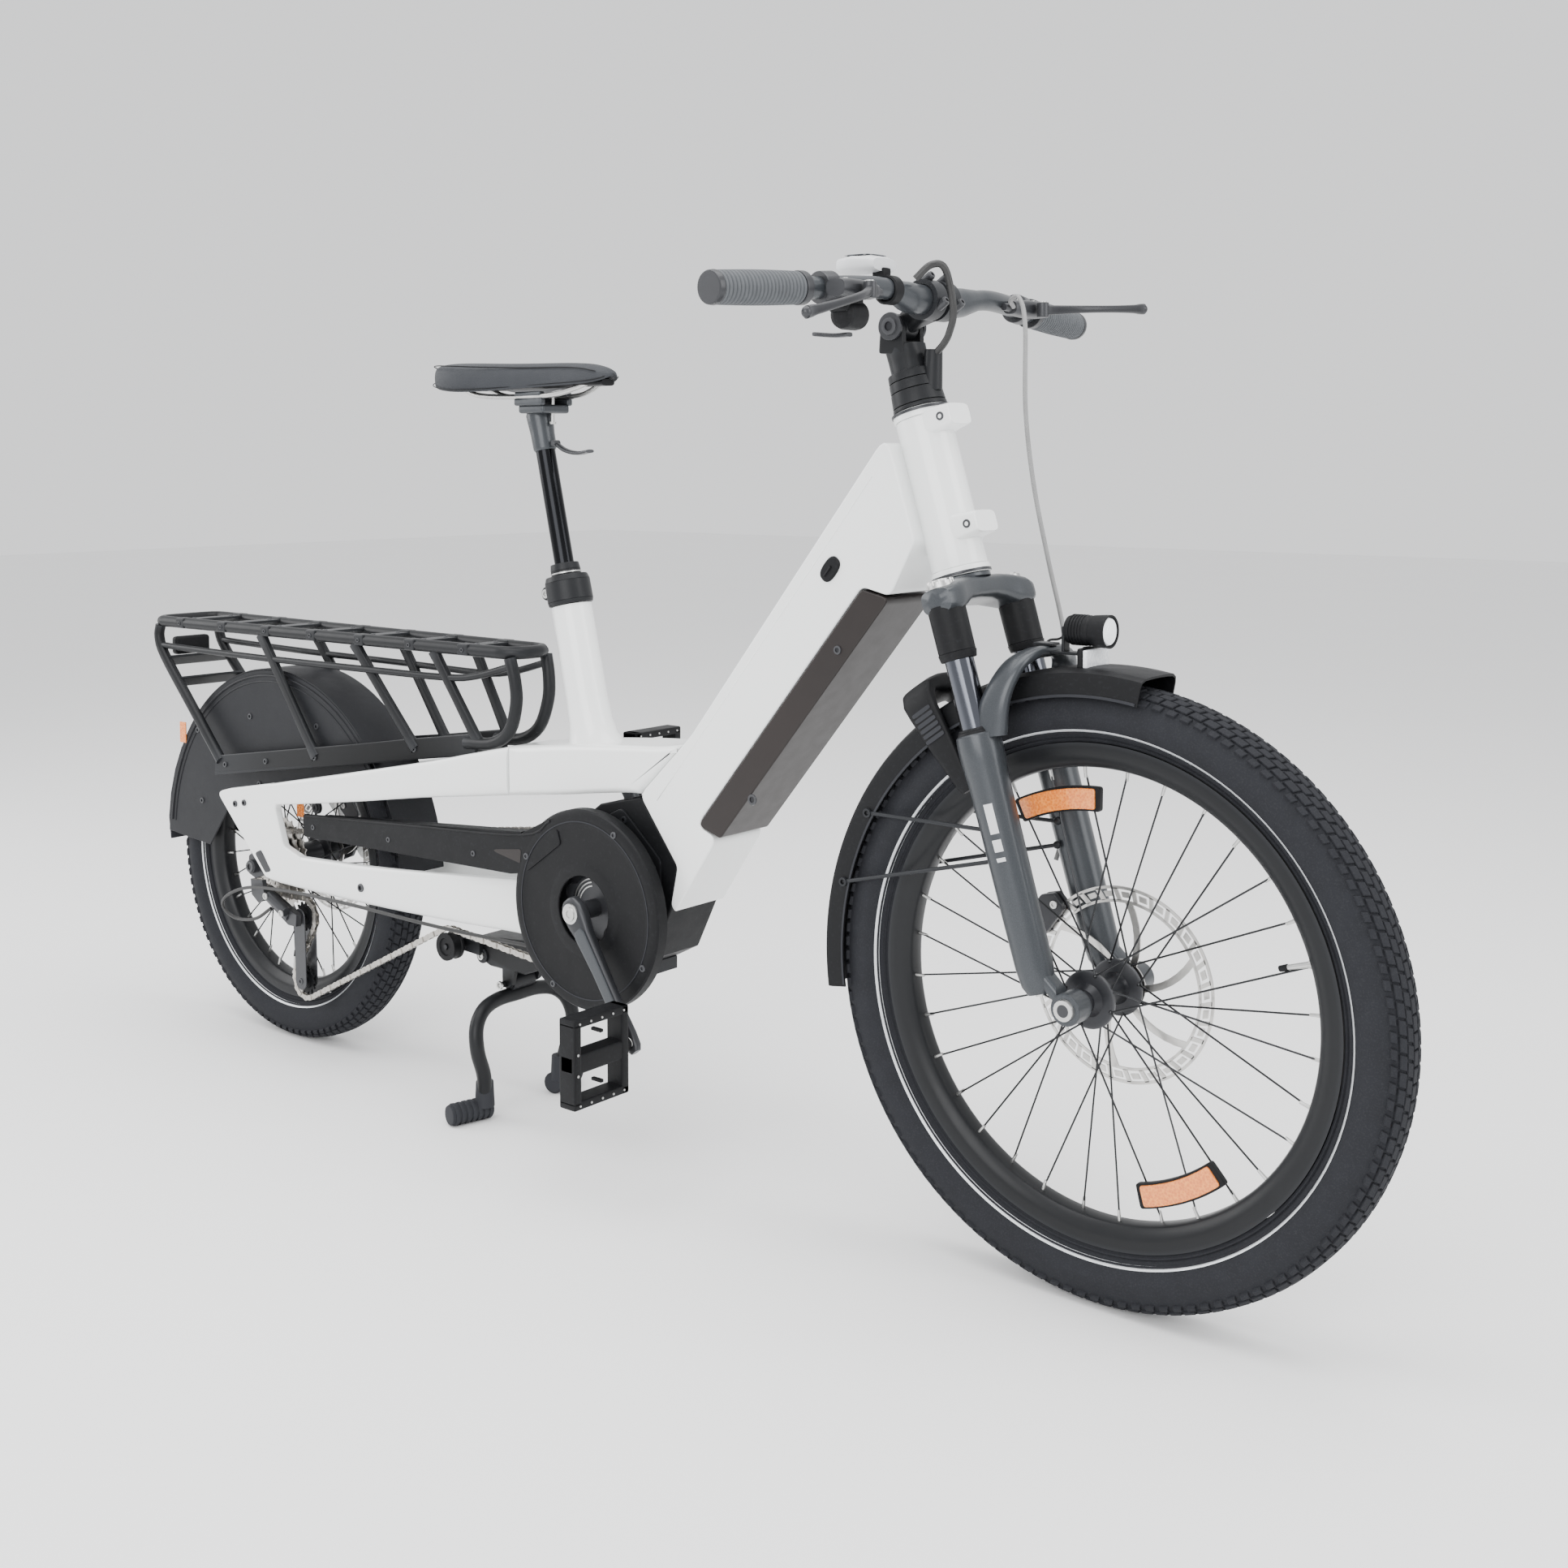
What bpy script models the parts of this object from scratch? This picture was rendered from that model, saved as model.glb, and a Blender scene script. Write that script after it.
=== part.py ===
"""Long-tail cargo bicycle with a mid motor, a suspension fork and a centre stand.

Metres, +Z up.  Every piece is drawn in a drawing frame whose origin is on the ground under the
rear axle, +X forwards and +Y to the rider's left.  The empty "bicycle" moves that frame back by
MID_X, so that the finished bicycle stands with the middle of its footprint on the world origin.
"""

import math

import bmesh
import bpy
from mathutils import Matrix, Vector

# ---- driving dimensions ---------------------------------------------------------------------
WHEELBASE = 1.333
FRONT_R = 0.3135
REAR_R = 0.263
TYRE_H = 0.060
REAR_END = -0.2885
MID_X = (REAR_END + WHEELBASE + FRONT_R) / 2
GAP = 0.0004

HEAD_ANGLE = math.radians(73)
UP = Vector((-math.cos(HEAD_ANGLE), 0, math.sin(HEAD_ANGLE)))
FORE = Vector((math.sin(HEAD_ANGLE), 0, math.cos(HEAD_ANGLE)))
HEAD_LOW = Vector((1.161, 0, 0.722))
HEAD_LENGTH = 0.184
LEG_Y = 0.065
LEG_FORE = 0.0156
LEG_TOP = -0.162

REAR_AXLE = Vector((0, 0, REAR_R))
FRONT_AXLE = Vector((WHEELBASE, 0, FRONT_R))
CRANK_AXLE = Vector((0.668, 0, 0.304))
CRANK_LENGTH = 0.170
CRANK_ANGLE = math.radians(-51)
CHAIN_Y = -0.047
CHAIN_HALF = 0.004
RING_R = 0.089
SPROCKET_R = 0.040
JOCKEY_R = 0.021
ROLLER_R = 0.0185
UPPER_JOCKEY = Vector((0.076, 0, 0.196))
LOWER_JOCKEY = Vector((0.078, 0, 0.104))
ROLLER = Vector((0.392, 0, 0.208))
SEAT_LOW = Vector((0.6175, 0, 0.484))
SEAT_UP = Vector((0.5760, 0, 0.664)) - SEAT_LOW
SEAT_UP.normalize()
STAND_AXLE = Vector((0.470, 0, 0.166))
STEM_PIVOT = Vector((1.083, 0, 0.986))
BAR = Vector((1.122, 0, 1.012))
TUBE_UP = Vector((0.643, 0, 0.766))
TUBE_OUT = Vector((0.766, 0, -0.643))
LIGHT = Vector((1.306, 0, 0.676))

# ---- scene and helpers ----------------------------------------------------------------------


def cleared_scene():
    for thing in list(bpy.data.objects):
        bpy.data.objects.remove(thing, do_unlink=True)
    made = []
    for name in ("cargo_bicycle", "cutters"):
        collection = bpy.data.collections.new(name)
        bpy.context.scene.collection.children.link(collection)
        made.append(collection)
    made[1].hide_render = True
    return made


PARTS, CUTTERS = cleared_scene()


def empty(name, place, parent=None):
    """An empty at a place of the drawing frame.  Bodies hang from it."""
    made = bpy.data.objects.new(name, None)
    made.empty_display_size = 0.05
    PARTS.objects.link(made)
    made.parent = parent
    made.location = Vector(place) - (parent_place(parent) if parent else Vector())
    made["place"] = list(place)
    return made


def parent_place(parent):
    return Vector(parent["place"]) if "place" in parent else Vector()


def finish(name, colour, roughness, metallic=0.0):
    made = bpy.data.materials.new(name)
    made.use_nodes = True
    shader = made.node_tree.nodes["Principled BSDF"]
    shader.inputs["Base Color"].default_value = (*colour, 1)
    shader.inputs["Roughness"].default_value = roughness
    shader.inputs["Metallic"].default_value = metallic
    return made


WHITE = finish("white_paint", (0.80, 0.83, 0.82), 0.25)
BLACK = finish("black_paint", (0.02, 0.022, 0.025), 0.45)
PLASTIC = finish("black_plastic", (0.025, 0.027, 0.032), 0.55)
RUBBER = finish("rubber", (0.03, 0.03, 0.032), 0.8)
GRIP = finish("grip_rubber", (0.17, 0.18, 0.19), 0.7)
GRAPHITE = finish("graphite_paint", (0.12, 0.14, 0.155), 0.35, 0.5)
CHROME = finish("dark_chrome", (0.10, 0.12, 0.17), 0.12, 1.0)
STEEL = finish("steel", (0.55, 0.53, 0.50), 0.3, 1.0)
ALLOY = finish("black_alloy", (0.03, 0.03, 0.035), 0.3, 0.6)
VINYL = finish("saddle_vinyl", (0.05, 0.055, 0.06), 0.6)
COVER = finish("battery_cover", (0.022, 0.015, 0.013), 0.5)
HOUSING = finish("display_housing", (0.62, 0.63, 0.64), 0.4)


def give(thing, name, material, body):
    """Names a finished piece, gives it its material and hangs it on its body."""
    thing.name = name
    thing.data.name = name
    thing.data.materials.clear()
    thing.data.materials.append(material)
    if thing.type == "MESH":
        thing.data.shade_smooth()
        thing.data.set_sharp_from_angle(angle=math.radians(35))
    thing.parent = body
    thing.location = thing.location - parent_place(body)
    return thing


def linked(name, data):
    made = bpy.data.objects.new(name, data)
    PARTS.objects.link(made)
    return made


def mesh_object(shape, name="piece"):
    mesh = bpy.data.meshes.new(name)
    shape.to_mesh(mesh)
    shape.free()
    return linked(name, mesh)


def bevel(thing, width, segments=1, angle=40):
    modifier = thing.modifiers.new("round", "BEVEL")
    modifier.width = width
    modifier.segments = segments
    modifier.limit_method = "ANGLE"
    modifier.angle_limit = math.radians(angle)
    return thing


def box(low, high, width=0.0):
    """A box between two corners, its edges rounded."""
    low, high = Vector(low), Vector(high)
    shape = bmesh.new()
    bmesh.ops.create_cube(shape, size=1)
    bmesh.ops.scale(shape, vec=high - low, verts=shape.verts)
    made = mesh_object(shape)
    made.location = (low + high) / 2
    return bevel(made, width) if width else made


def rod(start, end, radius, end_radius=None, sides=12):
    """A straight round bar or cone from one point to another."""
    start, end = Vector(start), Vector(end)
    along = end - start
    shape = bmesh.new()
    bmesh.ops.create_cone(
        shape,
        cap_ends=True,
        segments=sides,
        radius1=radius,
        radius2=radius if end_radius is None else end_radius,
        depth=along.length,
    )
    turn = Vector((0, 0, 1)).rotation_difference(along).to_matrix().to_4x4()
    bmesh.ops.transform(shape, matrix=turn, verts=shape.verts)
    made = mesh_object(shape)
    made.location = (start + end) / 2
    return made


def cross_rod(centre, low, high, radius, sides=16):
    """A round bar across the bicycle, between two values of y."""
    x, _, z = centre
    return rod((x, low, z), (x, high, z), radius, sides=sides)


def turned(profile, centre, steps):
    """A ring about a crosswise axis.  The profile lists (radius, y) down the outer side, from the
    left of the bicycle to its right, and closes on itself."""
    mesh = bpy.data.meshes.new("profile")
    points = [(radius, 0, side) for radius, side in profile]
    links = [(i, (i + 1) % len(points)) for i in range(len(points))]
    mesh.from_pydata(points, links, [])
    made = linked("ring", mesh)
    screw = made.modifiers.new("turn", "SCREW")
    screw.axis = "Z"
    screw.steps = steps
    screw.render_steps = steps
    screw.use_merge_vertices = True
    screw.merge_threshold = 0.00005
    made.rotation_euler = (math.radians(-90), 0, 0)
    made.location = centre
    return made


def plate(outline, low, high, width=0.0):
    """A flat outline in x and z, as thick as the span of y between low and high."""
    curve = bpy.data.curves.new("outline", "CURVE")
    curve.dimensions = "2D"
    curve.fill_mode = "BOTH"
    curve.extrude = (high - low) / 2
    spline = curve.splines.new("POLY")
    spline.points.add(len(outline) - 1)
    for point, (x, z) in zip(spline.points, outline):
        point.co = (x, z, 0, 1)
    spline.use_cyclic_u = True
    made = linked("plate", curve)
    made.rotation_euler = (math.radians(90), 0, 0)
    made.location = (0, (low + high) / 2, 0)
    made = as_mesh(made)
    return bevel(made, width) if width else made


def tube(points, radius, closed=False, resolution=2):
    """A bent round tube along a list of points."""
    curve = bpy.data.curves.new("tube", "CURVE")
    curve.dimensions = "3D"
    curve.bevel_depth = radius
    curve.bevel_resolution = resolution
    curve.use_fill_caps = True
    spline = curve.splines.new("POLY")
    spline.points.add(len(points) - 1)
    for point, place in zip(spline.points, points):
        point.co = (*place, 1)
    spline.use_cyclic_u = closed
    return as_mesh(linked("tube", curve))


def as_mesh(thing):
    """The mesh that a curve draws, its loose caps welded."""
    bpy.context.view_layer.update()
    graph = bpy.context.evaluated_depsgraph_get()
    mesh = bpy.data.meshes.new_from_object(thing.evaluated_get(graph))
    shape = bmesh.new()
    shape.from_mesh(mesh)
    bmesh.ops.remove_doubles(shape, verts=shape.verts, dist=0.00005)
    bmesh.ops.recalc_face_normals(shape, faces=shape.faces)
    shape.to_mesh(mesh)
    shape.free()
    made = linked(thing.name, mesh)
    made.matrix_world = thing.matrix_world
    bpy.data.objects.remove(thing, do_unlink=True)
    return made


def loft(rings):
    """A closed skin through rings of the same number of points."""
    shape = bmesh.new()
    loops = [[shape.verts.new(point) for point in ring] for ring in rings]
    for one, two in zip(loops, loops[1:]):
        for i in range(len(one)):
            j = (i + 1) % len(one)
            shape.faces.new((one[i], one[j], two[j], two[i]))
    shape.faces.new(reversed(loops[0]))
    shape.faces.new(loops[-1])
    bmesh.ops.recalc_face_normals(shape, faces=shape.faces)
    return mesh_object(shape)


def section(centre, across, upwards, half_width, half_height, corner=0.3):
    """Eight points of a rectangle with cut corners."""
    centre = Vector(centre)
    a, b = Vector(across) * half_width, Vector(upwards) * half_height
    cut = 1 - corner
    signs = [(1, cut), (cut, 1), (-cut, 1), (-1, cut), (-1, -cut), (-cut, -1), (cut, -1), (1, -cut)]
    return [centre + a * s + b * t for s, t in signs]


def set_aside(thing):
    PARTS.objects.unlink(thing)
    CUTTERS.objects.link(thing)
    thing.hide_render = True
    thing.display_type = "WIRE"
    thing.parent = bicycle


def boolean(thing, others, operation):
    """Joins others to a piece, or cuts them from it."""
    for number, other in enumerate(others):
        other.name = f"{operation.lower()}_{number}_for_{thing.name}"
        set_aside(other)
        modifier = thing.modifiers.new(operation.lower(), "BOOLEAN")
        modifier.operation = operation
        modifier.object = other
    return thing


def join(thing, *others):
    return boolean(thing, others, "UNION")


def cut(thing, *others):
    return boolean(thing, others, "DIFFERENCE")


def arc(centre, radius, start, end, steps):
    """Points (x, z) on an arc, angles in degrees from straight ahead, upwards positive."""
    x, z = centre[0], centre[-1]
    found = []
    for i in range(steps + 1):
        angle = math.radians(start + (end - start) * i / steps)
        found.append((x + radius * math.cos(angle), z + radius * math.sin(angle)))
    return found


def smooth(points, per_span=4):
    """Points of a Catmull-Rom curve through a short list of points."""
    points = [Vector(point) for point in points]
    ends = [2 * points[0] - points[1], *points, 2 * points[-1] - points[-2]]
    found = []
    for a, b, c, d in zip(ends, ends[1:], ends[2:], ends[3:]):
        for i in range(per_span):
            t = i / per_span
            found.append(
                0.5 * (2 * b + (c - a) * t + (2 * a - 5 * b + 4 * c - d) * t**2
                       + (3 * b - a - 3 * c + d) * t**3)
            )
    return [*found, points[-1]]


def on_fork(along, fore, y=0.0):
    """A point given along the steering axis from the head tube's foot, and ahead of that axis."""
    return HEAD_LOW + UP * along + FORE * fore + Vector((0, y, 0))


def flip(point):
    return Vector((point[0], -point[1], point[2]))


# ---- bodies ---------------------------------------------------------------------------------
bicycle = bpy.data.objects.new("bicycle", None)
PARTS.objects.link(bicycle)
bicycle.location = (-MID_X, 0, 0)
frame_body = empty("frame_body", (0, 0, 0), bicycle)
steerer_body = empty("steerer_body", HEAD_LOW, frame_body)
bars_body = empty("bars_body", STEM_PIVOT, steerer_body)
lowers_body = empty("lowers_body", on_fork(LEG_TOP, LEG_FORE), steerer_body)
headlight_body = empty("headlight_body", LIGHT, lowers_body)
front_wheel_body = empty("front_wheel_body", FRONT_AXLE, lowers_body)
rear_wheel_body = empty("rear_wheel_body", REAR_AXLE, frame_body)
cassette_body = empty("cassette_body", REAR_AXLE, frame_body)
crank_body = empty("crank_body", CRANK_AXLE, frame_body)
battery_body = empty("battery_body", (0.96, 0, 0.56), frame_body)
seatpost_body = empty("seatpost_body", SEAT_LOW, frame_body)
stand_body = empty("stand_body", STAND_AXLE, frame_body)
cage_body = empty("cage_body", UPPER_JOCKEY, frame_body)
upper_jockey_body = empty("upper_jockey_body", UPPER_JOCKEY, cage_body)
lower_jockey_body = empty("lower_jockey_body", LOWER_JOCKEY, cage_body)
roller_body = empty("roller_body", ROLLER, frame_body)

# ---- frame ----------------------------------------------------------------------------------
FRAME_HALF = 0.043


SLIDE_ROOM = 0.010  # empty length above the cells, which the battery moves into as it slides out


def battery_shapes(grow):
    """The battery's cover, flush in the tube's lower face, and the cell block behind it."""
    corners = [(1.062, 0.709), (1.098, 0.701), (0.859, 0.411), (0.825, 0.423)]
    centre = Vector((0.961, 0.561))
    cover = []
    for x, z in corners:
        away = Vector((x, z)) - centre
        cover.append(tuple(Vector((x, z)) + away.normalized() * grow))
    half = FRAME_HALF + (0.01 if grow else 0)
    inner_low = Vector((0.875, 0, 0.488)) - TUBE_UP * grow
    inner_high = Vector((1.020, 0, 0.661)) + TUBE_UP * (grow + SLIDE_ROOM if grow else 0)
    depth = 0.034 + grow
    block = [inner_low + TUBE_OUT * 0.01, inner_high + TUBE_OUT * 0.01]
    block += [inner_high - TUBE_OUT * depth, inner_low - TUBE_OUT * depth]
    cells = [(point.x, point.z) for point in block]
    return plate(cover, -half, half), plate(cells, -0.031 - grow, 0.031 + grow)


def make_down_tube():
    """Box-section down tube with the head tube, both lugs and the seat for the battery."""
    outline = [(1.093, 0.873), (0.8165, 0.5285), (0.8032, 0.5150), (0.7335, 0.4480), (0.7935, 0.3700),
               (0.7830, 0.3230), (0.7900, 0.3150), (0.8590, 0.4110), (1.0980, 0.7010), (1.1300, 0.7600)]
    tube_box = bevel(plate(outline, -FRAME_HALF, FRAME_HALF), 0.008, 1)
    head = rod(on_fork(0.001, 0), on_fork(HEAD_LENGTH, 0), 0.0315, 0.029, sides=20)
    join(tube_box, head, carrier_lug(0.166), carrier_lug(0.050))
    bore = rod(on_fork(-0.01, 0), on_fork(HEAD_LENGTH + 0.01, 0), 0.0165, sides=20)
    cover, cells = battery_shapes(GAP)
    cut(tube_box, bore, cover, cells)
    return give(tube_box, "down_tube", WHITE, frame_body)


def carrier_lug(along):
    """A lug standing forwards from the head tube, for a front carrier."""
    return loft([section(on_fork(along, fore), (0, 1, 0), UP, 0.020, 0.012) for fore in (0.015, 0.046)])


def make_battery():
    cover, cells = battery_shapes(0.0)
    bevel(cover, 0.004)
    join(cover, cells)
    return give(cover, "battery", COVER, battery_body)


def make_beam():
    """Low beam from the down tube back to the stays, with the seat tube standing on it."""
    outline = [(0.8025, 0.5150), (0.6890, 0.5030), (0.5000, 0.4820), (0.5000, 0.4190), (0.6930, 0.4450),
               (0.7328, 0.4485)]
    beam = plate(outline, -FRAME_HALF, FRAME_HALF)
    post = rod(SEAT_LOW - SEAT_UP * 0.02, SEAT_LOW + SEAT_UP * 0.185, 0.0262, 0.0250, sides=20)
    join(beam, post)
    top = SEAT_LOW + SEAT_UP * 0.20
    cut(beam, rod(SEAT_LOW - SEAT_UP * 0.04, top, 0.0133, sides=20))
    return give(beam, "seat_beam", WHITE, frame_body)


STAY_PLANS = (
    # x, middle of |y|, half width, then bottom and top of the upper stay
    (0.4995, 0.0300, 0.0125, 0.4188, 0.4818),
    (0.3600, 0.0580, 0.0110, 0.4000, 0.4530),
    (0.2200, 0.0800, 0.0080, 0.3810, 0.4240),
    (0.0750, 0.0835, 0.0065, 0.3620, 0.3940),
    (-0.0300, 0.0835, 0.0065, 0.3480, 0.3720),
)


def make_stays(side, name):
    """One side of the rear triangle: upper and lower stay joined by the slanting end plate."""
    across, upwards = Vector((0, side, 0)), Vector((0, 0, 1))
    rings = []
    for x, middle, half, low, high in STAY_PLANS:
        rings.append(section((x, side * middle, (low + high) / 2), across, upwards, half, (high - low) / 2))
    upper = loft(rings)
    rings = []
    for x, middle, half, low, high in (
        (0.5720, 0.0400, 0.0090, 0.2440, 0.3230),
        (0.5200, 0.0450, 0.0090, 0.2450, 0.3200),
        (0.4000, 0.0650, 0.0090, 0.2470, 0.3110),
        (0.2640, 0.0800, 0.0080, 0.2510, 0.3010),
        (0.0800, 0.0835, 0.0065, 0.2540, 0.2900),
        (0.0350, 0.0835, 0.0065, 0.2620, 0.2880),
    ):
        rings.append(section((x, side * middle, (low + high) / 2), across, upwards, half, (high - low) / 2))
    lower = loft(rings)
    end = [(-0.070, 0.364), (-0.040, 0.3725), (0.055, 0.3900), (0.060, 0.3600), (0.092, 0.2880),
           (0.085, 0.2545), (0.045, 0.2540)]
    plate_end = plate(end, min(side * 0.077, side * 0.090), max(side * 0.077, side * 0.090))
    join(upper, lower, plate_end)
    return give(upper, name, WHITE, frame_body)


def make_rear_axle():
    """Through axle with both dropout plates, which bolt to the inner faces of the end plates."""
    axle = cross_rod(REAR_AXLE, -0.0850, 0.0850, 0.0060, 12)
    tab = [(-0.018, 0.250), (0.000, 0.244), (0.030, 0.256), (0.060, 0.300), (0.045, 0.320), (0.000, 0.285),
           (-0.016, 0.276)]
    plates = [plate(tab, low, high) for low, high in ((-0.0766, -0.0706), (0.0706, 0.0766))]
    join(axle, *plates)
    return give(axle, "rear_axle", ALLOY, frame_body)


def make_motor():
    """Motor block under the beam, its axle across the bottom bracket."""
    outline = [(0.5730, 0.3220), (0.598, 0.3320), (0.622, 0.400), (0.660, 0.4275), (0.7290, 0.4440), (0.7890, 0.3690),
               (0.7770, 0.3150), (0.7450, 0.2500), (0.6950, 0.2240), (0.6350, 0.2330), (0.5730, 0.2460)]
    body = plate(outline, -0.0365, 0.0500, 0.006)
    cut(body, cross_rod(CRANK_AXLE, -0.06, 0.07, 0.0125, 16))
    return give(body, "motor", PLASTIC, frame_body)


# ---- drive ----------------------------------------------------------------------------------


def make_chain_guard():
    """Flat disc over the chainring with a straight arm over the upper chain run."""
    disc = turned(
        [(0.1225, -0.0560), (0.1225, -0.0700), (0.1150, -0.0745), (0.0420, -0.0745), (0.0420, -0.0715),
         (0.1120, -0.0715), (0.1185, -0.0680), (0.1185, -0.0560)],
        CRANK_AXLE,
        32,
    )
    arm = plate([(0.112, 0.320), (0.112, 0.352), (0.560, 0.3830), (0.640, 0.4200), (0.700, 0.4000), (0.600, 0.3240),
                 (0.540, 0.3300)], -0.0740, -0.0700)
    top = plate([(0.150, 0.351), (0.150, 0.354), (0.560, 0.386), (0.560, 0.380)], -0.0740, -0.0560)
    cut(arm, cross_rod(CRANK_AXLE, -0.09, -0.05, 0.1140, 32))
    disc = join(disc, arm, top)
    return give(disc, "chain_guard", PLASTIC, frame_body)


def belt(wheels, offset):
    """A belt's line in x and z at a distance outside its middle line.

    Each wheel is (centre, radius, side), side +1 where the belt runs round the wheel's outside and
    -1 where the wheel pushes on the belt from outside the loop."""
    normals = []
    for (one, r1, s1), (two, r2, s2) in zip(wheels, [*wheels[1:], wheels[0]]):
        ahead = math.atan2(two.z - one.z, two.x - one.x)
        apart = math.hypot(two.x - one.x, two.z - one.z)
        normals.append(ahead - math.acos((s1 * r1 - s2 * r2) / apart))
    points = []
    for i, (centre, radius, side) in enumerate(wheels):
        turn = (normals[i] - normals[i - 1]) % math.tau
        if side < 0:
            turn -= math.tau
        steps = max(2, round(abs(turn) / 0.20))
        for k in range(steps + 1):
            angle = normals[i - 1] + turn * k / steps
            reach = side * radius + offset
            points.append((centre.x + reach * math.cos(angle), centre.z + reach * math.sin(angle)))
    return points


def make_chain():
    """The chain as one closed band, its two sides a chain's height apart."""
    half = 0.0040
    clear = half + 0.0010
    wheels = [(CRANK_AXLE, RING_R + clear, 1), (REAR_AXLE, SPROCKET_R + clear, 1),
              (UPPER_JOCKEY, JOCKEY_R + clear, -1), (LOWER_JOCKEY, JOCKEY_R + clear, 1),
              (ROLLER, ROLLER_R + clear, -1)]
    outer, inner = belt(wheels, half), belt(wheels, -half)
    shape = bmesh.new()
    loops = []
    for path, y in ((outer, CHAIN_Y - CHAIN_HALF), (outer, CHAIN_Y + CHAIN_HALF),
                    (inner, CHAIN_Y + CHAIN_HALF), (inner, CHAIN_Y - CHAIN_HALF)):
        loops.append([shape.verts.new((x, y, z)) for x, z in path])
    for one, two in zip(loops, [*loops[1:], loops[0]]):
        for i in range(len(one)):
            j = (i + 1) % len(one)
            shape.faces.new((one[i], one[j], two[j], two[i]))
    bmesh.ops.recalc_face_normals(shape, faces=shape.faces)
    return give(mesh_object(shape), "chain", STEEL, frame_body)


def disc(radius, bore, low, high, centre, sides):
    """A flat round wheel with a round bore."""
    return turned([(radius, high), (radius, low), (bore, low), (bore, high)], centre, sides)


def make_crankset():
    """Chainring on its spindle, and the two cranks clamped to the spindle's ends."""
    spindle = cross_rod(CRANK_AXLE, -0.0960, 0.0960, 0.0110, 16)
    ring = cross_rod(CRANK_AXLE, CHAIN_Y - 0.003, CHAIN_Y + 0.003, RING_R, 40)
    join(ring, spindle)
    give(ring, "chainring", ALLOY, crank_body)
    for side, name, turn in ((-1, "crank_right", 0.0), (1, "crank_left", math.pi)):
        angle = CRANK_ANGLE + turn
        along = Vector((math.cos(angle), 0, math.sin(angle)))
        square = Vector((-along.z, 0, along.x))
        eye = CRANK_AXLE + Vector((0, side * 0.0865, 0))
        tip = CRANK_AXLE + along * CRANK_LENGTH + Vector((0, side * 0.1010, 0))
        rings = []
        for part, width, depth in ((-0.10, 0.013, 0.008), (0.02, 0.018, 0.009), (0.18, 0.013, 0.008),
                                   (0.90, 0.010, 0.006), (1.08, 0.009, 0.006)):
            rings.append(section(eye.lerp(tip, part), (0, 1, 0), square, depth, width, 0.4))
        crank = loft(rings)
        cut(crank, cross_rod(CRANK_AXLE, side * 0.086 - 0.02, side * 0.086 + 0.02, 0.0114, 16))
        give(crank, name, GRAPHITE, crank_body)


def make_pedal(side, body, name):
    """Platform pedal: a caged frame round its axle, hanging on edge."""
    centre = Vector(body["place"])
    low, high = sorted((side * 0.1180, side * 0.2060))
    outer = [(0.013, -0.052), (0.013, 0.052), (-0.013, 0.052), (-0.013, -0.052)]
    outline = [(centre.x + x, centre.z + z) for x, z in outer]
    cage = plate(outline, low, high, 0.003)
    holes = []
    for z in (-0.028, 0.028):
        first = Vector((centre.x - 0.03, min(low, high) + 0.014, centre.z + z - 0.016))
        holes.append(box(first, first + Vector((0.06, 0.060, 0.032))))
    cut(cage, *holes)
    inner = side * 0.1085
    stub = cross_rod(centre, min(inner, side * 0.125), max(inner, side * 0.125), 0.0075, 12)
    join(cage, stub)
    return give(cage, name, PLASTIC, body)


def make_cassette():
    """Stack of sprockets, largest inboard, as one stepped ring."""
    steps = [(0.070, -0.0330), (0.070, -0.0360), (0.056, -0.0362), (0.056, -0.0400), (0.046, -0.0402),
             (0.046, -0.0425), (SPROCKET_R, -0.0427), (SPROCKET_R, -0.0513), (0.028, -0.0515), (0.028, -0.0600),
             (0.0175, -0.0600), (0.0175, -0.0330)]
    return give(turned(steps, REAR_AXLE, 24), "cassette", STEEL, cassette_body)


def make_derailleur():
    """Fixed part of the derailleur, from the hanger to the upper jockey's pivot."""
    knuckle = cross_rod((0.008, 0, 0.222), -0.0700, -0.0560, 0.0110, 12)
    arm = plate([(-0.004, 0.222), (0.008, 0.232), (0.020, 0.228), (0.086, 0.203), (0.084, 0.186), (0.066, 0.186)],
                -0.0690, -0.0600)
    hanger = plate([(-0.012, 0.2425), (0.0, 0.2425), (0.016, 0.2440), (0.022, 0.220), (0.006, 0.210), (-0.010, 0.220)],
                   -0.0766, -0.0695)
    join(knuckle, arm, hanger)
    return give(knuckle, "derailleur", ALLOY, frame_body)


def make_cage():
    """Two cheeks joined by the pivot pins of both jockey wheels."""
    ux, uz, lx, lz = UPPER_JOCKEY.x, UPPER_JOCKEY.z, LOWER_JOCKEY.x, LOWER_JOCKEY.z
    cheek = [(ux - 0.011, uz + 0.006), (ux, uz + 0.013), (ux + 0.011, uz + 0.006), (lx + 0.011, lz - 0.006),
             (lx, lz - 0.013), (lx - 0.011, lz - 0.006)]
    outer = plate(cheek, CHAIN_Y - 0.0105, CHAIN_Y - 0.0080)
    inner = plate(cheek, CHAIN_Y + 0.0080, CHAIN_Y + 0.0100)
    pins = [cross_rod(place, CHAIN_Y - 0.0100, CHAIN_Y + 0.0095, 0.0030, 8) for place in (UPPER_JOCKEY, LOWER_JOCKEY)]
    join(outer, inner, *pins)
    give(outer, "derailleur_cage", ALLOY, cage_body)
    for name, place, body in (("jockey_upper", UPPER_JOCKEY, upper_jockey_body),
                              ("jockey_lower", LOWER_JOCKEY, lower_jockey_body)):
        wheel = disc(JOCKEY_R, 0.0035, CHAIN_Y - 0.003, CHAIN_Y + 0.003, place, 20)
        give(wheel, name, PLASTIC, body)


# ---- rack and rear guards -------------------------------------------------------------------
RACK_TOP = 0.600
DECK_REAR, DECK_FRONT = -0.2800, 0.5050


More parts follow.
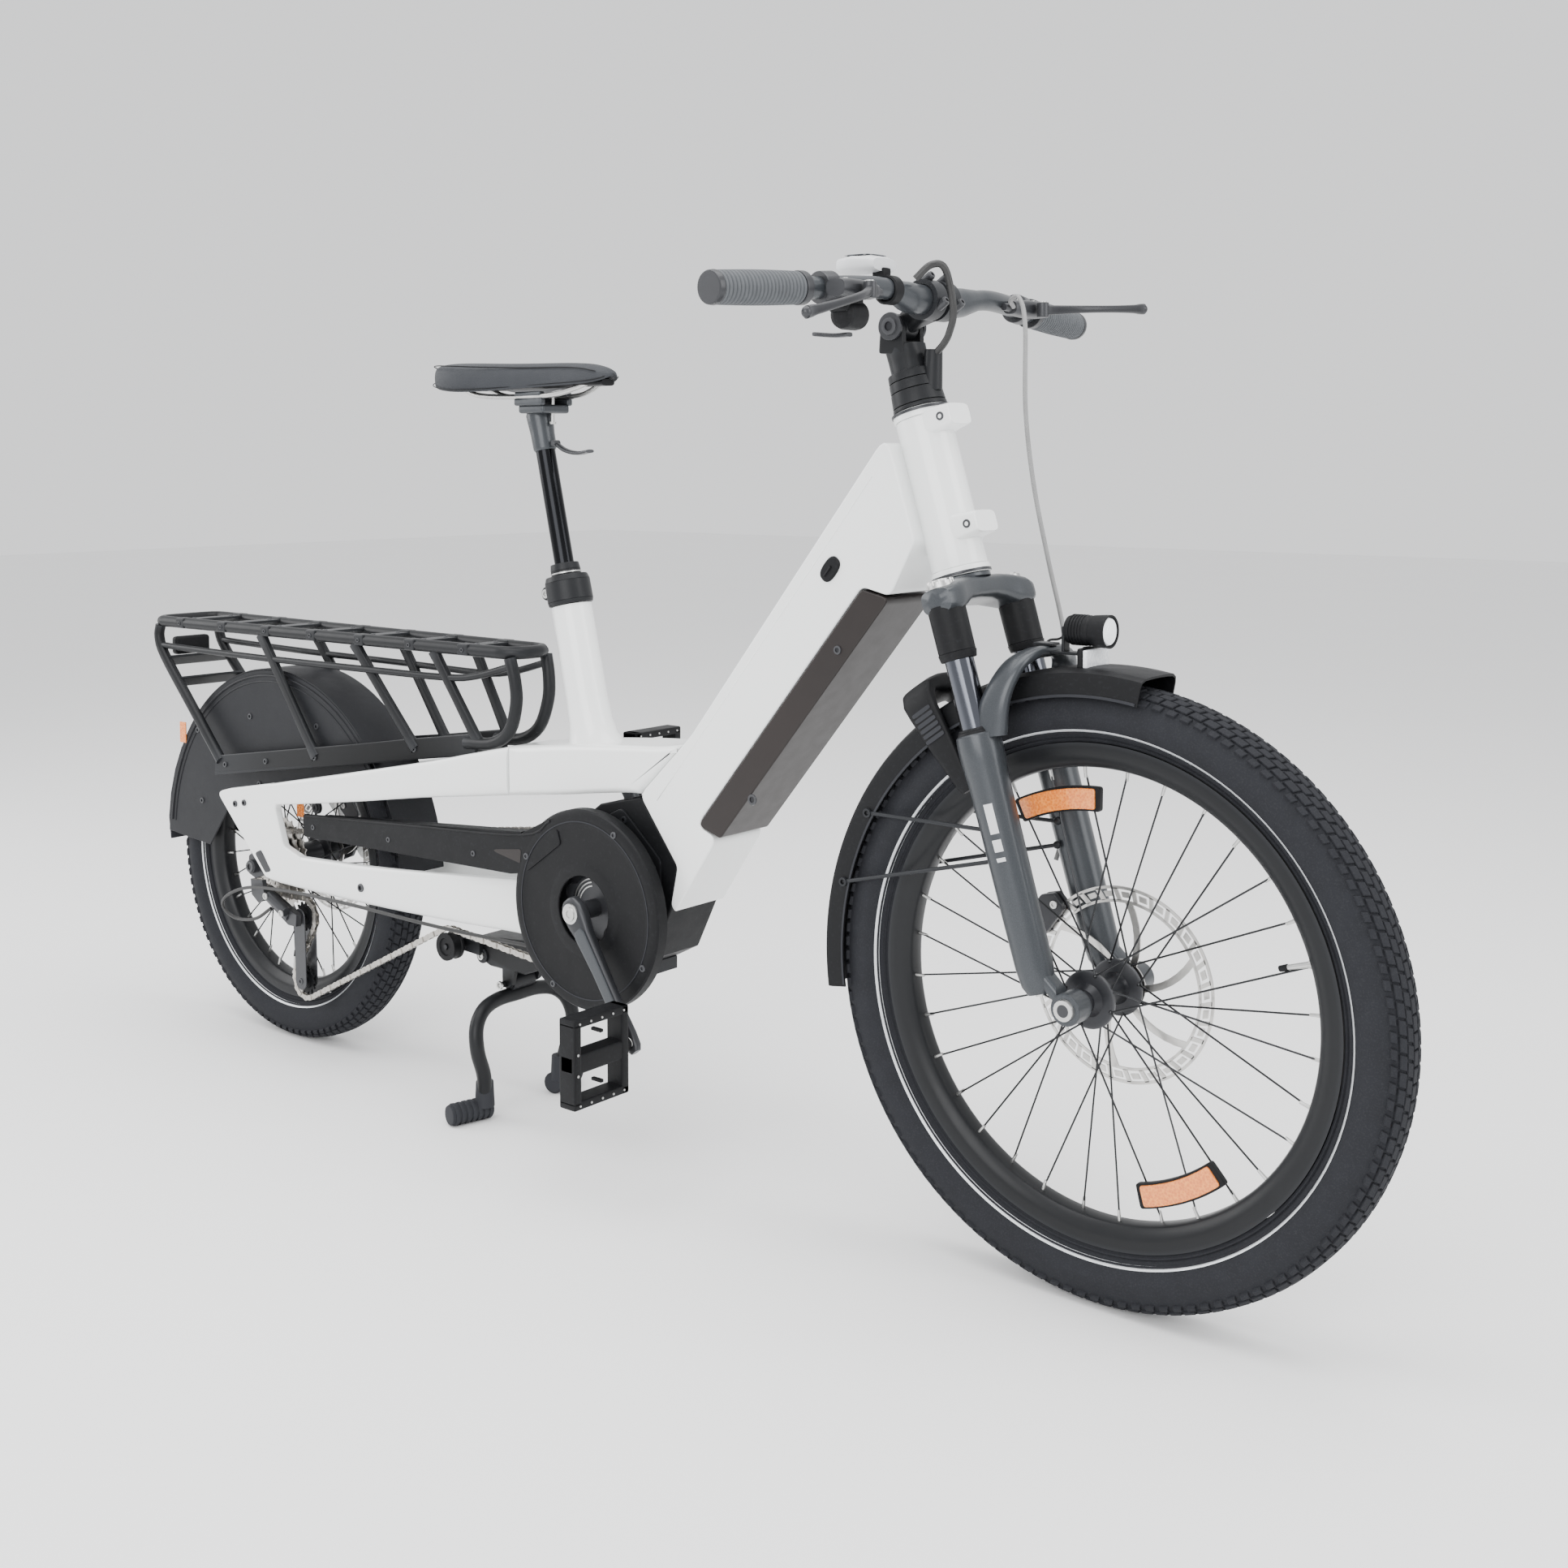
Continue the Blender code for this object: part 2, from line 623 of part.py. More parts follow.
def rack_half(x):
    """Half the rack's width, which narrows towards the seat tube."""
    return 0.0516 - 0.020 * (x - DECK_REAR) / (DECK_FRONT - DECK_REAR)


def make_rack_deck():
    """Closed top rail with seven flat cross brackets."""
    rail = [(DECK_REAR, 0.030), (DECK_REAR + 0.02, rack_half(DECK_REAR)), (0.485, rack_half(0.485)),
            (DECK_FRONT, 0.018)]
    loop = [(x, y, RACK_TOP) for x, y in rail] + [(x, -y, RACK_TOP) for x, y in reversed(rail)]
    top = tube(loop, 0.0085, closed=True)
    brackets = []
    for i in range(7):
        x = -0.211 + 0.1045 * i
        half = rack_half(x)
        brackets.append(box((x - 0.012, -half, RACK_TOP + 0.001), (x + 0.012, half, RACK_TOP + 0.006)))
    join(top, *brackets)
    return give(top, "rack_deck", BLACK, frame_body)


def make_rack_side(side, name):
    """Side loop hanging from the deck: rear post, foot rail, front bend, struts and hand rail."""

    def at(x, z, extra=0.0):
        spread = 0.012 * (RACK_TOP - z) / 0.2 if x < 0.3 else -0.006 * (RACK_TOP - z) / 0.1
        return Vector((x, side * (rack_half(x) + spread + extra), z))

    def low_line(x):
        return 0.3930 + (x + 0.10) * 0.150

    under = RACK_TOP - 0.0130
    post = tube([at(-0.268, under), at(-0.268, 0.560), at(-0.106, 0.402)], 0.0080, resolution=1)
    foot = loft([section(at(x, low_line(x) + 0.004), (0, 1, 0), (0, 0, 1), 0.0050, 0.0115, 0.2)
                 for x in (-0.116, 0.16, 0.420)])
    bend = tube([at(0.405, 0.4760), at(0.470, 0.4870), at(0.498, 0.5150), at(0.503, 0.5500), at(0.492, under)],
                0.0085, resolution=1)
    struts = []
    for top_x, low_x in ((-0.020, 0.115), (0.190, 0.304), (0.352, 0.430)):
        struts.append(tube([at(top_x, under), at(low_x, low_line(low_x) + 0.004)], 0.0072, resolution=1))
    rail = tube([at(-0.262, 0.563), at(-0.018, 0.560), at(0.369, 0.560), at(0.430, 0.566), at(0.496, 0.583)],
                0.0048, resolution=1)
    join(foot, post, bend, rail, *struts)
    return give(foot, name, BLACK, frame_body)


def make_wheel_guard(side, name):
    """Flat half disc beside the rear wheel.  The right one carries the band over the tread."""
    outline = arc(REAR_AXLE, 0.2795, 38, 178, 18)
    outline += [(-0.170, 0.2640), (-0.110, 0.3400), (-0.020, 0.3560), (0.200, 0.3900)]
    low, high = sorted((side * 0.0365, side * 0.0395))
    guard = plate(outline, low, high)
    if side < 0:
        strip = arc(REAR_AXLE, 0.2815, 4, 178, 24) + arc(REAR_AXLE, 0.2792, 178, 4, 24)
        join(guard, plate(strip, -0.0385, 0.0360))
    return give(guard, name, PLASTIC, frame_body)


def band(centre, inner, outer, half, start, end, steps):
    """A mudguard: a curved strip between two radii, angles in degrees."""
    shape = arc(centre, outer, start, end, steps) + arc(centre, inner, end, start, steps)
    return plate(shape, -half, half)


# ---- stand ----------------------------------------------------------------------------------


def make_stand_bracket():
    """Bracket under the motor's tail, with the lug of the chain roller."""
    outline = [(0.395, 0.2000), (0.420, 0.2210), (0.520, 0.2300), (0.560, 0.2390), (0.592, 0.2390), (0.560, 0.2060),
               (0.506, 0.1840), (0.440, 0.1840), (0.415, 0.1930)]
    body = plate(outline, -0.0220, 0.0300, 0.002)
    pin = cross_rod(ROLLER, -0.0560, -0.0150, 0.0035, 10)
    arm = plate([(0.383, 0.200), (0.383, 0.216), (0.402, 0.216), (0.430, 0.214), (0.430, 0.198)], -0.0300, -0.0200)
    axle = cross_rod(STAND_AXLE, -0.0300, 0.0380, 0.0040, 10)
    cheeks = []
    for low, high in ((-0.0220, -0.0160), (0.0240, 0.0300)):
        cheek = [(0.465, 0.190), (0.490, 0.190), (0.483, 0.166), (0.476, 0.1612), (0.465, 0.1612)]
        cheeks.append(plate(cheek, low, high))
    join(body, pin, arm, axle, *cheeks)
    return give(body, "stand_bracket", BLACK, frame_body)


def make_stand():
    """Two-legged centre stand, bent from one tube, with a rubber foot across each leg's end."""
    half = [(0.470, 0.000, 0.1490), (0.470, 0.034, 0.1485), (0.474, 0.062, 0.1420), (0.480, 0.080, 0.1240),
            (0.486, 0.084, 0.0950), (0.484, 0.072, 0.0600), (0.478, 0.066, 0.0220)]
    left = [Vector(point) for point in half]
    path = [flip(point) for point in reversed(left[1:])] + left
    legs = tube(smooth(path, 2), 0.0095, resolution=1)
    hub = cross_rod(STAND_AXLE, -0.0150, 0.0230, 0.0110, 12)
    feet = []
    for side in (-1, 1):
        foot = rod((0.476, side * 0.055, 0.0141), (0.462, side * 0.112, 0.0141), 0.0145, sides=12)
        feet.append(foot)
    join(legs, hub, *feet)
    cut(legs, cross_rod(STAND_AXLE, -0.03, 0.04, 0.0046, 10))
    return give(legs, "stand", BLACK, stand_body)


# ---- seat -----------------------------------------------------------------------------------


def on_post(along, fore=0.0, y=0.0):
    ahead = Vector((SEAT_UP.z, 0, -SEAT_UP.x))
    return SEAT_LOW + SEAT_UP * along + ahead * fore + Vector((0, y, 0))


def make_seat():
    collar = rod(on_post(0.1855), on_post(0.222), 0.0290, 0.0280, sides=20)
    ring = rod(on_post(0.221), on_post(0.238), 0.0190, sides=20)
    clamp = rod(on_post(0.204, -0.018, -0.02), on_post(0.204, -0.018, 0.02), 0.0110, sides=10)
    join(collar, ring, clamp)
    cut(collar, rod(on_post(0.17), on_post(0.26), 0.0133, sides=20))
    give(collar, "seat_clamp", BLACK, frame_body)

    post = rod(on_post(0.085), on_post(0.400), 0.0125, sides=20)
    head = rod(on_post(0.385), on_post(0.430), 0.0150, 0.0175, sides=16)
    yoke = box((0.500, -0.0260, 0.9020), (0.556, 0.0260, 0.9230), 0.004)
    join(post, head, yoke)
    give(post, "seatpost", CHROME, seatpost_body)

    rings = []
    for x, half, top, under in ((0.374, 0.030, 0.962, 0.940), (0.386, 0.064, 0.9690, 0.930),
                                (0.430, 0.074, 0.9715, 0.9270), (0.480, 0.056, 0.9690, 0.9290),
                                (0.530, 0.031, 0.9680, 0.9340), (0.610, 0.022, 0.9650, 0.9360),
                                (0.645, 0.016, 0.9580, 0.9380), (0.652, 0.008, 0.9530, 0.9450)):
        rings.append(section((x, 0, (top + under) / 2), (0, 1, 0), (0, 0, 1), half, (top - under) / 2, 0.45))
    saddle = loft(rings)
    rails = [tube([(0.405, side * 0.022, 0.935), (0.470, side * 0.022, 0.9270), (0.565, side * 0.022, 0.9270),
                   (0.615, side * 0.010, 0.942)], 0.0035) for side in (-1, 1)]
    join(saddle, *rails)
    give(saddle, "saddle", VINYL, seatpost_body)

    lever_body = empty("dropper_lever_body", on_post(0.388, 0.020), seatpost_body)
    start = on_post(0.388, 0.020)
    blade = tube([start, start + Vector((0.020, 0, -0.010)), start + Vector((0.050, 0, -0.013)),
                  start + Vector((0.062, 0, -0.010))], 0.0035)
    give(blade, "dropper_lever", ALLOY, lever_body)


# ---- fork, headset and stem -----------------------------------------------------------------


def make_crown():
    """Steerer, crown and both stanchions, pressed together for good."""
    steerer = rod(on_fork(-0.02, 0), on_fork(0.2555, 0), 0.0150, sides=20)
    rings = []
    for y, low, high, fore, half in ((-0.084, -0.036, -0.014, LEG_FORE, 0.016),
                                     (-0.066, -0.040, -0.008, LEG_FORE, 0.022),
                                     (-0.032, -0.030, -0.0012, 0.006, 0.026),
                                     (0.032, -0.030, -0.0012, 0.006, 0.026),
                                     (0.066, -0.040, -0.008, LEG_FORE, 0.022),
                                     (0.084, -0.036, -0.014, LEG_FORE, 0.016)):
        rings.append(section(on_fork((low + high) / 2, fore, y), FORE, UP, half, (high - low) / 2, 0.35))
    crown = loft(rings)
    legs = [rod(on_fork(-0.030, LEG_FORE, side * LEG_Y), on_fork(-0.255, LEG_FORE, side * LEG_Y), 0.0150, sides=16)
            for side in (-1, 1)]
    join(crown, steerer, *legs)
    return give(crown, "fork_crown", CHROME, steerer_body)


def make_stem():
    """Spacers with the cable ports, the column, and the hinged head that clamps the bar."""
    base = rod(on_fork(HEAD_LENGTH + 0.0006, 0), on_fork(0.226, 0), 0.0285, 0.0260, sides=20)
    column = rod(on_fork(0.220, 0), on_fork(0.272, 0), 0.0215, 0.0200, sides=20)
    cheeks = [box((STEM_PIVOT.x - 0.016, low, STEM_PIVOT.z - 0.030), (STEM_PIVOT.x + 0.014, high, STEM_PIVOT.z + 0.004))
              for low, high in ((-0.0200, -0.0125), (0.0125, 0.0200))]
    ports = rod(on_fork(0.200, 0.020), on_fork(0.240, 0.034), 0.0110, 0.0100, sides=12)
    pin = cross_rod(STEM_PIVOT, -0.0205, 0.0205, 0.0045, 12)
    caps = [cross_rod(STEM_PIVOT, low, high, 0.0150, 16) for low, high in ((-0.0260, -0.0125), (0.0125, 0.0260))]
    join(base, column, ports, *cheeks, *caps, pin)
    cut(base, rod(on_fork(0.10, 0), on_fork(0.2560, 0), 0.0153, sides=20),
        box((STEM_PIVOT.x - 0.030, -0.0125, STEM_PIVOT.z - 0.0155), (STEM_PIVOT.x + 0.04, 0.0125, STEM_PIVOT.z + 0.03)))
    join(base, cross_rod(STEM_PIVOT, -0.0200, 0.0200, 0.0042, 12))
    give(base, "stem_column", BLACK, steerer_body)

    head = cross_rod(STEM_PIVOT, -0.0118, 0.0118, 0.0140, 16)
    reach = BAR - STEM_PIVOT
    along = reach.normalized()
    square = Vector((-along.z, 0, along.x))
    neck = loft([section(STEM_PIVOT + reach * part, (0, 1, 0), square, half, high, 0.3)
                 for part, half, high in ((0.0, 0.0112, 0.012), (0.45, 0.0116, 0.013), (0.75, 0.020, 0.016))])
    clamp = cross_rod(BAR, -0.0220, 0.0220, 0.0215, 20)
    join(head, neck, clamp)
    cut(head, cross_rod(STEM_PIVOT, -0.03, 0.03, 0.0048, 12), cross_rod(BAR, -0.03, 0.03, 0.0164, 20))
    return give(head, "stem_head", BLACK, bars_body)


BAR_HALF = (
    (1.122, 0.000, 1.0120), (1.122, 0.040, 1.0120), (1.126, 0.090, 1.0180), (1.121, 0.140, 1.0170),
    (1.112, 0.200, 1.0120), (1.101, 0.318, 1.0050),
)


def bar_point(y):
    """The bar's middle line at a distance from the bicycle's plane."""
    for one, two in zip(BAR_HALF, BAR_HALF[1:]):
        if one[1] <= abs(y) <= two[1]:
            part = (abs(y) - one[1]) / (two[1] - one[1])
            place = Vector(one).lerp(Vector(two), part)
            return Vector((place.x, y, place.z))
    return Vector((BAR_HALF[-1][0], y, BAR_HALF[-1][2]))


def make_bar():
    half = [Vector(point) for point in BAR_HALF]
    path = [flip(point) for point in reversed(half[1:])] + half
    fat = rod((1.122, -0.040, 1.012), (1.122, 0.040, 1.012), 0.0159, sides=20)
    join(fat, tube(path, 0.0111, resolution=3))
    give(fat, "handlebar", BLACK, bars_body)
    for side, name in ((-1, "grip_right"), (1, "grip_left")):
        inner, outer = bar_point(side * 0.206), bar_point(side * 0.318)
        along = (outer - inner).normalized()
        grip = rod(inner, outer + along * 0.012, 0.0170, sides=20)
        cut(grip, rod(inner - along * 0.01, outer + along * 0.001, 0.0122, sides=16))
        give(grip, name, GRIP, bars_body)


def make_controls():
    """Brake lever clamps with their master cylinders, blades, gear shifter and display."""
    for side, hand, drop, reach in ((-1, "right", -0.030, 0.052), (1, "left", 0.006, 0.085)):
        at = bar_point(side * 0.176)
        along = (bar_point(side * 0.19) - bar_point(side * 0.15)).normalized()
        ring = rod(at - along * 0.010, at + along * 0.010, 0.0165, sides=16)
        pivot = at + Vector((0.043, -side * 0.016, -0.004))
        cylinder = loft([section(at + Vector((0.022, -side * y, -0.002)), (1, 0, 0), (0, 0, 1), 0.013, 0.010, 0.3)
                         for y in (-0.012, 0.010, 0.048)])
        parts = [cylinder]
        if side < 0:
            shifter = cross_rod(at + Vector((0.004, 0, -0.026)), at.y + 0.020, at.y + 0.052, 0.0150, 16)
            parts.append(shifter)
            parts.append(box(at + Vector((-0.010, 0.014, -0.024)), at + Vector((0.016, 0.046, 0.0))))
        join(ring, *parts)
        cut(ring, rod(at - along * 0.06, at + along * 0.06, 0.0120, sides=16))
        give(ring, f"lever_clamp_{hand}", ALLOY, bars_body)

        lever_body = empty(f"brake_lever_{hand}_body", pivot, bars_body)
        tip = Vector((pivot.x + reach - 0.030, side * 0.286, pivot.z + drop))
        knee = pivot.lerp(tip, 0.3) + Vector((0.012, 0, 0))
        blade = tube(smooth([pivot + Vector((0.003, 0, 0)), knee, pivot.lerp(tip, 0.7) + Vector((0.008, 0, 0)), tip], 2),
                     0.0055)
        give(blade, f"brake_lever_{hand}", ALLOY, lever_body)

    at = bar_point(-0.128)
    thumb_pivot = at + Vector((-0.010, -0.008, -0.034))
    thumb_body = empty("shift_lever_body", thumb_pivot, bars_body)
    blade = loft([section(thumb_pivot + Vector((x, y, z)), (0, 1, 0), (0, 0, 1), 0.006, 0.0025, 0.3)
                  for x, y, z in ((0.0035, 0.0, -0.0130), (-0.012, -0.004, -0.0135), (-0.030, -0.012, -0.0120))])
    give(blade, "shift_lever", ALLOY, thumb_body)

    shell = loft([section((x, -0.083, z), (0, 1, 0), (0, 0, 1), half, 0.009, 0.4)
                  for x, z, half in ((1.070, 1.044, 0.020), (1.092, 1.045, 0.026), (1.122, 1.043, 0.022))])
    give(shell, "display", HOUSING, bars_body)


# ---- fork lowers and what is bolted to them -------------------------------------------------


def make_lowers():
    """Both lower legs with the arch in front of the crown and the bracket of the headlight."""
    legs, bores = [], []
    for side in (-1, 1):
        y = side * LEG_Y
        rings = []
        for along, radius in ((LEG_TOP, 0.0225), (-0.185, 0.0235), (-0.235, 0.0205), (-0.400, 0.0190),
                              (-0.424, 0.0150)):
            centre = on_fork(along, LEG_FORE, y)
            rings.append([centre + (FORE * math.cos(a) + Vector((0, 1, 0)) * math.sin(a)) * radius
                          for a in (math.tau * i / 12 for i in range(12))])
        legs.append(loft(rings))
        low, high = sorted((side * 0.0510, side * 0.0770))
        boss = cross_rod(FRONT_AXLE, low, high, 0.0165, 16)
        web = plate([(WHEELBASE - 0.004, FRONT_R + 0.014), (WHEELBASE - 0.045, FRONT_R + 0.036),
                     (WHEELBASE - 0.045, FRONT_R + 0.004), (WHEELBASE - 0.006, FRONT_R - 0.012)],
                    *sorted((side * 0.0530, side * 0.0750)))
        legs += [boss, web]
        bores.append(rod(on_fork(-0.090, LEG_FORE, y), on_fork(-0.325, LEG_FORE, y), 0.0156, sides=16))
        bores.append(cross_rod(FRONT_AXLE, *sorted((side * 0.04, side * 0.09)), 0.0074, 16))
    half = [(1.2620, 0.000, 0.6520), (1.2600, 0.026, 0.6505), (1.2540, 0.050, 0.6390), (1.2440, 0.064, 0.6080),
            (1.2380, 0.067, 0.5700)]
    right = [flip(point) for point in reversed(half[1:])]
    widths = [0.011, 0.012, 0.010, 0.0095, 0.009, 0.0095, 0.010, 0.012, 0.011]
    path = [*right, *[Vector(point) for point in half]]
    rings = []
    for i, place in enumerate(path):
        ahead = path[min(i + 1, len(path) - 1)] - path[max(i - 1, 0)]
        across = Vector((1, 0, 0.0))
        upwards = ahead.cross(across).normalized()
        rings.append(section(place, across, upwards, widths[i], 0.0068, 0.4))
    arch = loft(rings)
    arm = loft([section(place, (0, 1, 0), (0, 0, 1), 0.0085, 0.0030, 0.2)
                for place in ((1.262, 0, 0.6530), (1.290, 0, 0.6530), (1.3120, 0, 0.6530))])
    post = box((1.3080, -0.0085, 0.6505), (1.3120, 0.0085, 0.6800))
    join(legs[0], *legs[1:], arch, arm, post)
    cut(legs[0], *bores, box((LIGHT.x - 0.0176, -0.020, 0.6583), (LIGHT.x + 0.05, 0.020, 0.70)))
    join(legs[0], box((LIGHT.x - 0.0220, -0.0060, 0.6520), (LIGHT.x - 0.0180, 0.0060, 0.6800)))
    give(legs[0], "fork_lowers", GRAPHITE, lowers_body)
    give(cross_rod(FRONT_AXLE, -0.0810, 0.0810, 0.0070, 16), "front_axle", ALLOY, lowers_body)

    lamp = rod((LIGHT.x - 0.0170, 0, LIGHT.z), (LIGHT.x + 0.0300, 0, LIGHT.z), 0.0150, 0.0168, sides=20)
    return give(lamp, "headlight", PLASTIC, headlight_body)


def make_front_mudguard():
    """Curved guard with turned-down sides and two pairs of wire stays to the legs."""
    guard = band(FRONT_AXLE, 0.3000, 0.3285, 0.0365, 80, 188, 18)
    hollow = band(FRONT_AXLE, 0.2900, 0.3262, 0.0345, 78, 190, 18)
    cut(guard, hollow)
    stays = []
    for angle, foot_z in ((150, 0.4700), (166, 0.4450)):
        ray = Vector((math.cos(math.radians(angle)), 0, math.sin(math.radians(angle))))
        for side in (-1, 1):
            foot = Vector((1.2520, side * 0.0420, foot_z))
            start = FRONT_AXLE + ray * 0.3080 + Vector((0, side * 0.0360, 0))
            stays.append(tube([start, foot], 0.0024, resolution=1))
    join(guard, *stays)
    give(guard, "front_mudguard", PLASTIC, lowers_body)


def make_ring_lock():
    """Horseshoe-shaped wheel lock astride the mudguard behind the legs."""
    facing = Vector((math.cos(math.radians(125)), 0, math.sin(math.radians(125))))
    square = Vector((-facing.z, 0, facing.x))
    rings = []
    stations = ((0.236, 0.0425, 0.0040, 0.008), (0.280, 0.0430, 0.0045, 0.014), (0.330, 0.0440, 0.0050, 0.019),
                (0.352, 0.0360, 0.0095, 0.022), (0.3535, 0.0110, 0.0120, 0.023))
    path = [(r, -y, thick, wide) for r, y, thick, wide in stations]
    path += [(r, y, thick, wide) for r, y, thick, wide in reversed(stations)]
    places = [FRONT_AXLE + facing * r + Vector((0, y, 0)) for r, y, _, _ in path]
    for i, (_, _, thick, wide) in enumerate(path):
        ahead = (places[min(i + 1, len(path) - 1)] - places[max(i - 1, 0)]).normalized()
        rings.append(section(places[i], square, ahead.cross(square).normalized(), wide, thick, 0.3))
    give(loft(rings), "ring_lock", PLASTIC, lowers_body)


def make_caliper(name, place, turn, low, high, body):
    """Disc brake caliper: two halves astride the rotor, open towards the axle."""
    shape = [(-0.020, -0.013), (0.020, -0.013), (0.024, 0.006), (0.012, 0.016), (-0.012, 0.016), (-0.024, 0.006)]
    c, s = math.cos(turn), math.sin(turn)
    outline = [(place[0] + x * c - z * s, place[2] + x * s + z * c) for x, z in shape]
    block = plate(outline, low, high, 0.003)
    disc_y = place[1]
    slot = [(-0.040, -0.030), (0.040, -0.030), (0.040, 0.005), (-0.040, 0.005)]
    opening = [(place[0] + x * c - z * s, place[2] + x * s + z * c) for x, z in slot]
    cut(block, plate(opening, disc_y - 0.0022, disc_y + 0.0022))
    return give(block, name, ALLOY, body)


# ---- wheels ---------------------------------------------------------------------------------
TYRE_SIDE = ((0.0597, 0.0150), (0.0520, 0.0190), (0.0400, 0.0284), (0.0280, 0.0300), (0.0090, 0.0225),
             (0.0000, 0.0070))


def make_tyre(name, radius, centre, body, steps):
    left = [(radius - depth, y) for depth, y in TYRE_SIDE]
    right = [(r, -y) for r, y in reversed(left)]
    return give(turned(left + right, centre, steps), name, RUBBER, body)


def make_rim(name, radius, centre, body, steps, depth):
    seat = radius - TYRE_H - 0.0004
    profile = [(seat, 0.0172), (seat, -0.0172), (seat - 0.010, -0.0180), (seat - depth, -0.0085),
               (seat - depth, 0.0085), (seat - 0.010, 0.0180)]
    return give(turned(profile, centre, steps), name, BLACK, body)


def make_hub(name, centre, body, profile, flanges, rim_radius, bore, count=9):
    """Hub shell with two crowns of spokes, each spoke a thin square bar leaning off the radius."""
    shell = turned(profile + [(bore, profile[-1][1]), (bore, profile[0][1])], centre, 16)
    for flange_y, flange_r, lean in flanges:
        for i in range(count):
            angle = math.tau * (i + (0.5 if lean < 0 else 0)) / count
            start = Vector((math.cos(angle + lean), 0, math.sin(angle + lean))) * flange_r
            end = Vector((math.cos(angle), 0, math.sin(angle))) * rim_radius
            start.y, end.y = flange_y, flange_y * 0.12
            join(shell, rod(centre + start, centre + end, 0.0012, sides=3))
    return give(shell, name, ALLOY, body)


def make_rotor(name, centre, y, radius, body):
    """Brake disc: a ring on five arms."""
    ring = disc(radius, radius - 0.016, y - 0.0010, y + 0.0010, centre, 32)
    middle = disc(0.0260, 0.0200, y - 0.0010, y + 0.0010, centre, 20)
    arms = []
    for i in range(5):
        angle = math.tau * i / 5
        ray = Vector((math.cos(angle), 0, math.sin(angle)))
        lean = Vector((math.cos(angle + 0.30), 0, math.sin(angle + 0.30)))
        a = centre + ray * 0.023
        b = centre + lean * (radius - 0.013)
        side = Vector((-(b - a).z, 0, (b - a).x)).normalized() * 0.004
        outline = [(p.x, p.z) for p in (a - side, b - side, b + side, a + side)]
        arms.append(plate(outline, y - 0.0008, y + 0.0008))
    join(middle, ring, *arms)
    return give(middle, name, STEEL, body)


def make_wheels():
    make_tyre("front_tyre", FRONT_R, FRONT_AXLE, front_wheel_body, 40)
    make_rim("front_rim", FRONT_R, FRONT_AXLE, front_wheel_body, 40, 0.0255)
    profile = [(0.0120, 0.0490), (0.0120, 0.0390), (0.0190, 0.0390), (0.0190, 0.0285), (0.0290, 0.0285),
               (0.0290, 0.0250), (0.0150, 0.0220), (0.0150, -0.0250), (0.0290, -0.0280), (0.0290, -0.0315),
               (0.0170, -0.0330), (0.0120, -0.0400), (0.0120, -0.0490)]
    make_hub("front_hub", FRONT_AXLE, front_wheel_body, profile,
             ((0.0268, 0.0262, 0.55), (-0.0297, 0.0262, -0.55)), FRONT_R - TYRE_H - 0.0275, 0.0078)
    make_rotor("front_rotor", FRONT_AXLE, 0.0375, 0.1015, front_wheel_body)
    make_caliper("front_caliper", (1.2480, 0.0375, 0.3750), math.radians(54), 0.0270, 0.0455, lowers_body)

    make_tyre("rear_tyre", REAR_R, REAR_AXLE, rear_wheel_body, 36)
    make_rim("rear_rim", REAR_R, REAR_AXLE, rear_wheel_body, 36, 0.0255)
    profile = [(0.0120, 0.0700), (0.0120, 0.0580), (0.0190, 0.0575), (0.0190, 0.0375), (0.0300, 0.0370),
               (0.0300, 0.0330), (0.0190, 0.0300), (0.0190, -0.0200), (0.0300, -0.0230), (0.0300, -0.0270),
               (0.0160, -0.0290), (0.0160, -0.0615), (0.0120, -0.0620), (0.0120, -0.0700)]
    make_hub("rear_hub", REAR_AXLE, rear_wheel_body, profile,
             ((0.0350, 0.0272, 0.55), (-0.0250, 0.0272, -0.55)), REAR_R - TYRE_H - 0.0275, 0.0068)
    make_rotor("rear_rotor", REAR_AXLE, 0.0600, 0.0900, rear_wheel_body)
    make_caliper("rear_caliper", (0.0560, 0.0600, 0.3290), math.radians(-40), 0.0480, 0.0740, frame_body)


# ---- cables ---------------------------------------------------------------------------------


def make_cables():
    """Front brake hose down to the caliper, and the bundle of cables into the headset."""
    hose = [(1.143, 0.1240, 1.012), (1.147, 0.112, 1.018), (1.162, 0.105, 1.020), (1.173, 0.100, 0.990),
            (1.178, 0.094, 0.900), (1.190, 0.092, 0.820), (1.205, 0.098, 0.740), (1.222, 0.104, 0.660),
            (1.232, 0.104, 0.580), (1.240, 0.092, 0.480), (1.2350, 0.070, 0.422)]
    give(tube(smooth(hose, 3), 0.0025, resolution=1), "front_brake_hose", RUBBER, steerer_body)
    bundle = [(1.136, -0.052, 1.030), (1.150, -0.044, 1.044), (1.158, -0.030, 1.040), (1.160, -0.018, 1.000),
              (1.152, -0.010, 0.968), (1.146, -0.006, 0.9500)]
    give(tube(smooth(bundle, 3), 0.0040, resolution=1), "cable_bundle", RUBBER, steerer_body)


make_down_tube()
make_battery()
make_beam()
make_stays(-1, "rear_stays_right")
make_stays(1, "rear_stays_left")
make_rear_axle()
make_motor()
make_chain_guard()
make_chain()
make_crankset()
for pedal_side, pedal_name, half_turn in ((-1, "pedal_right", 0.0), (1, "pedal_left", math.pi)):
    direction = CRANK_ANGLE + half_turn
    end_of_crank = CRANK_AXLE + Vector((math.cos(direction), 0, math.sin(direction))) * CRANK_LENGTH
    make_pedal(pedal_side, empty(f"{pedal_name}_body", end_of_crank, crank_body), pedal_name)
make_cassette()
make_derailleur()
make_cage()
give(disc(ROLLER_R, 0.0042, CHAIN_Y - 0.009, CHAIN_Y + 0.009, ROLLER, 20), "chain_roller", PLASTIC, roller_body)
make_rack_deck()
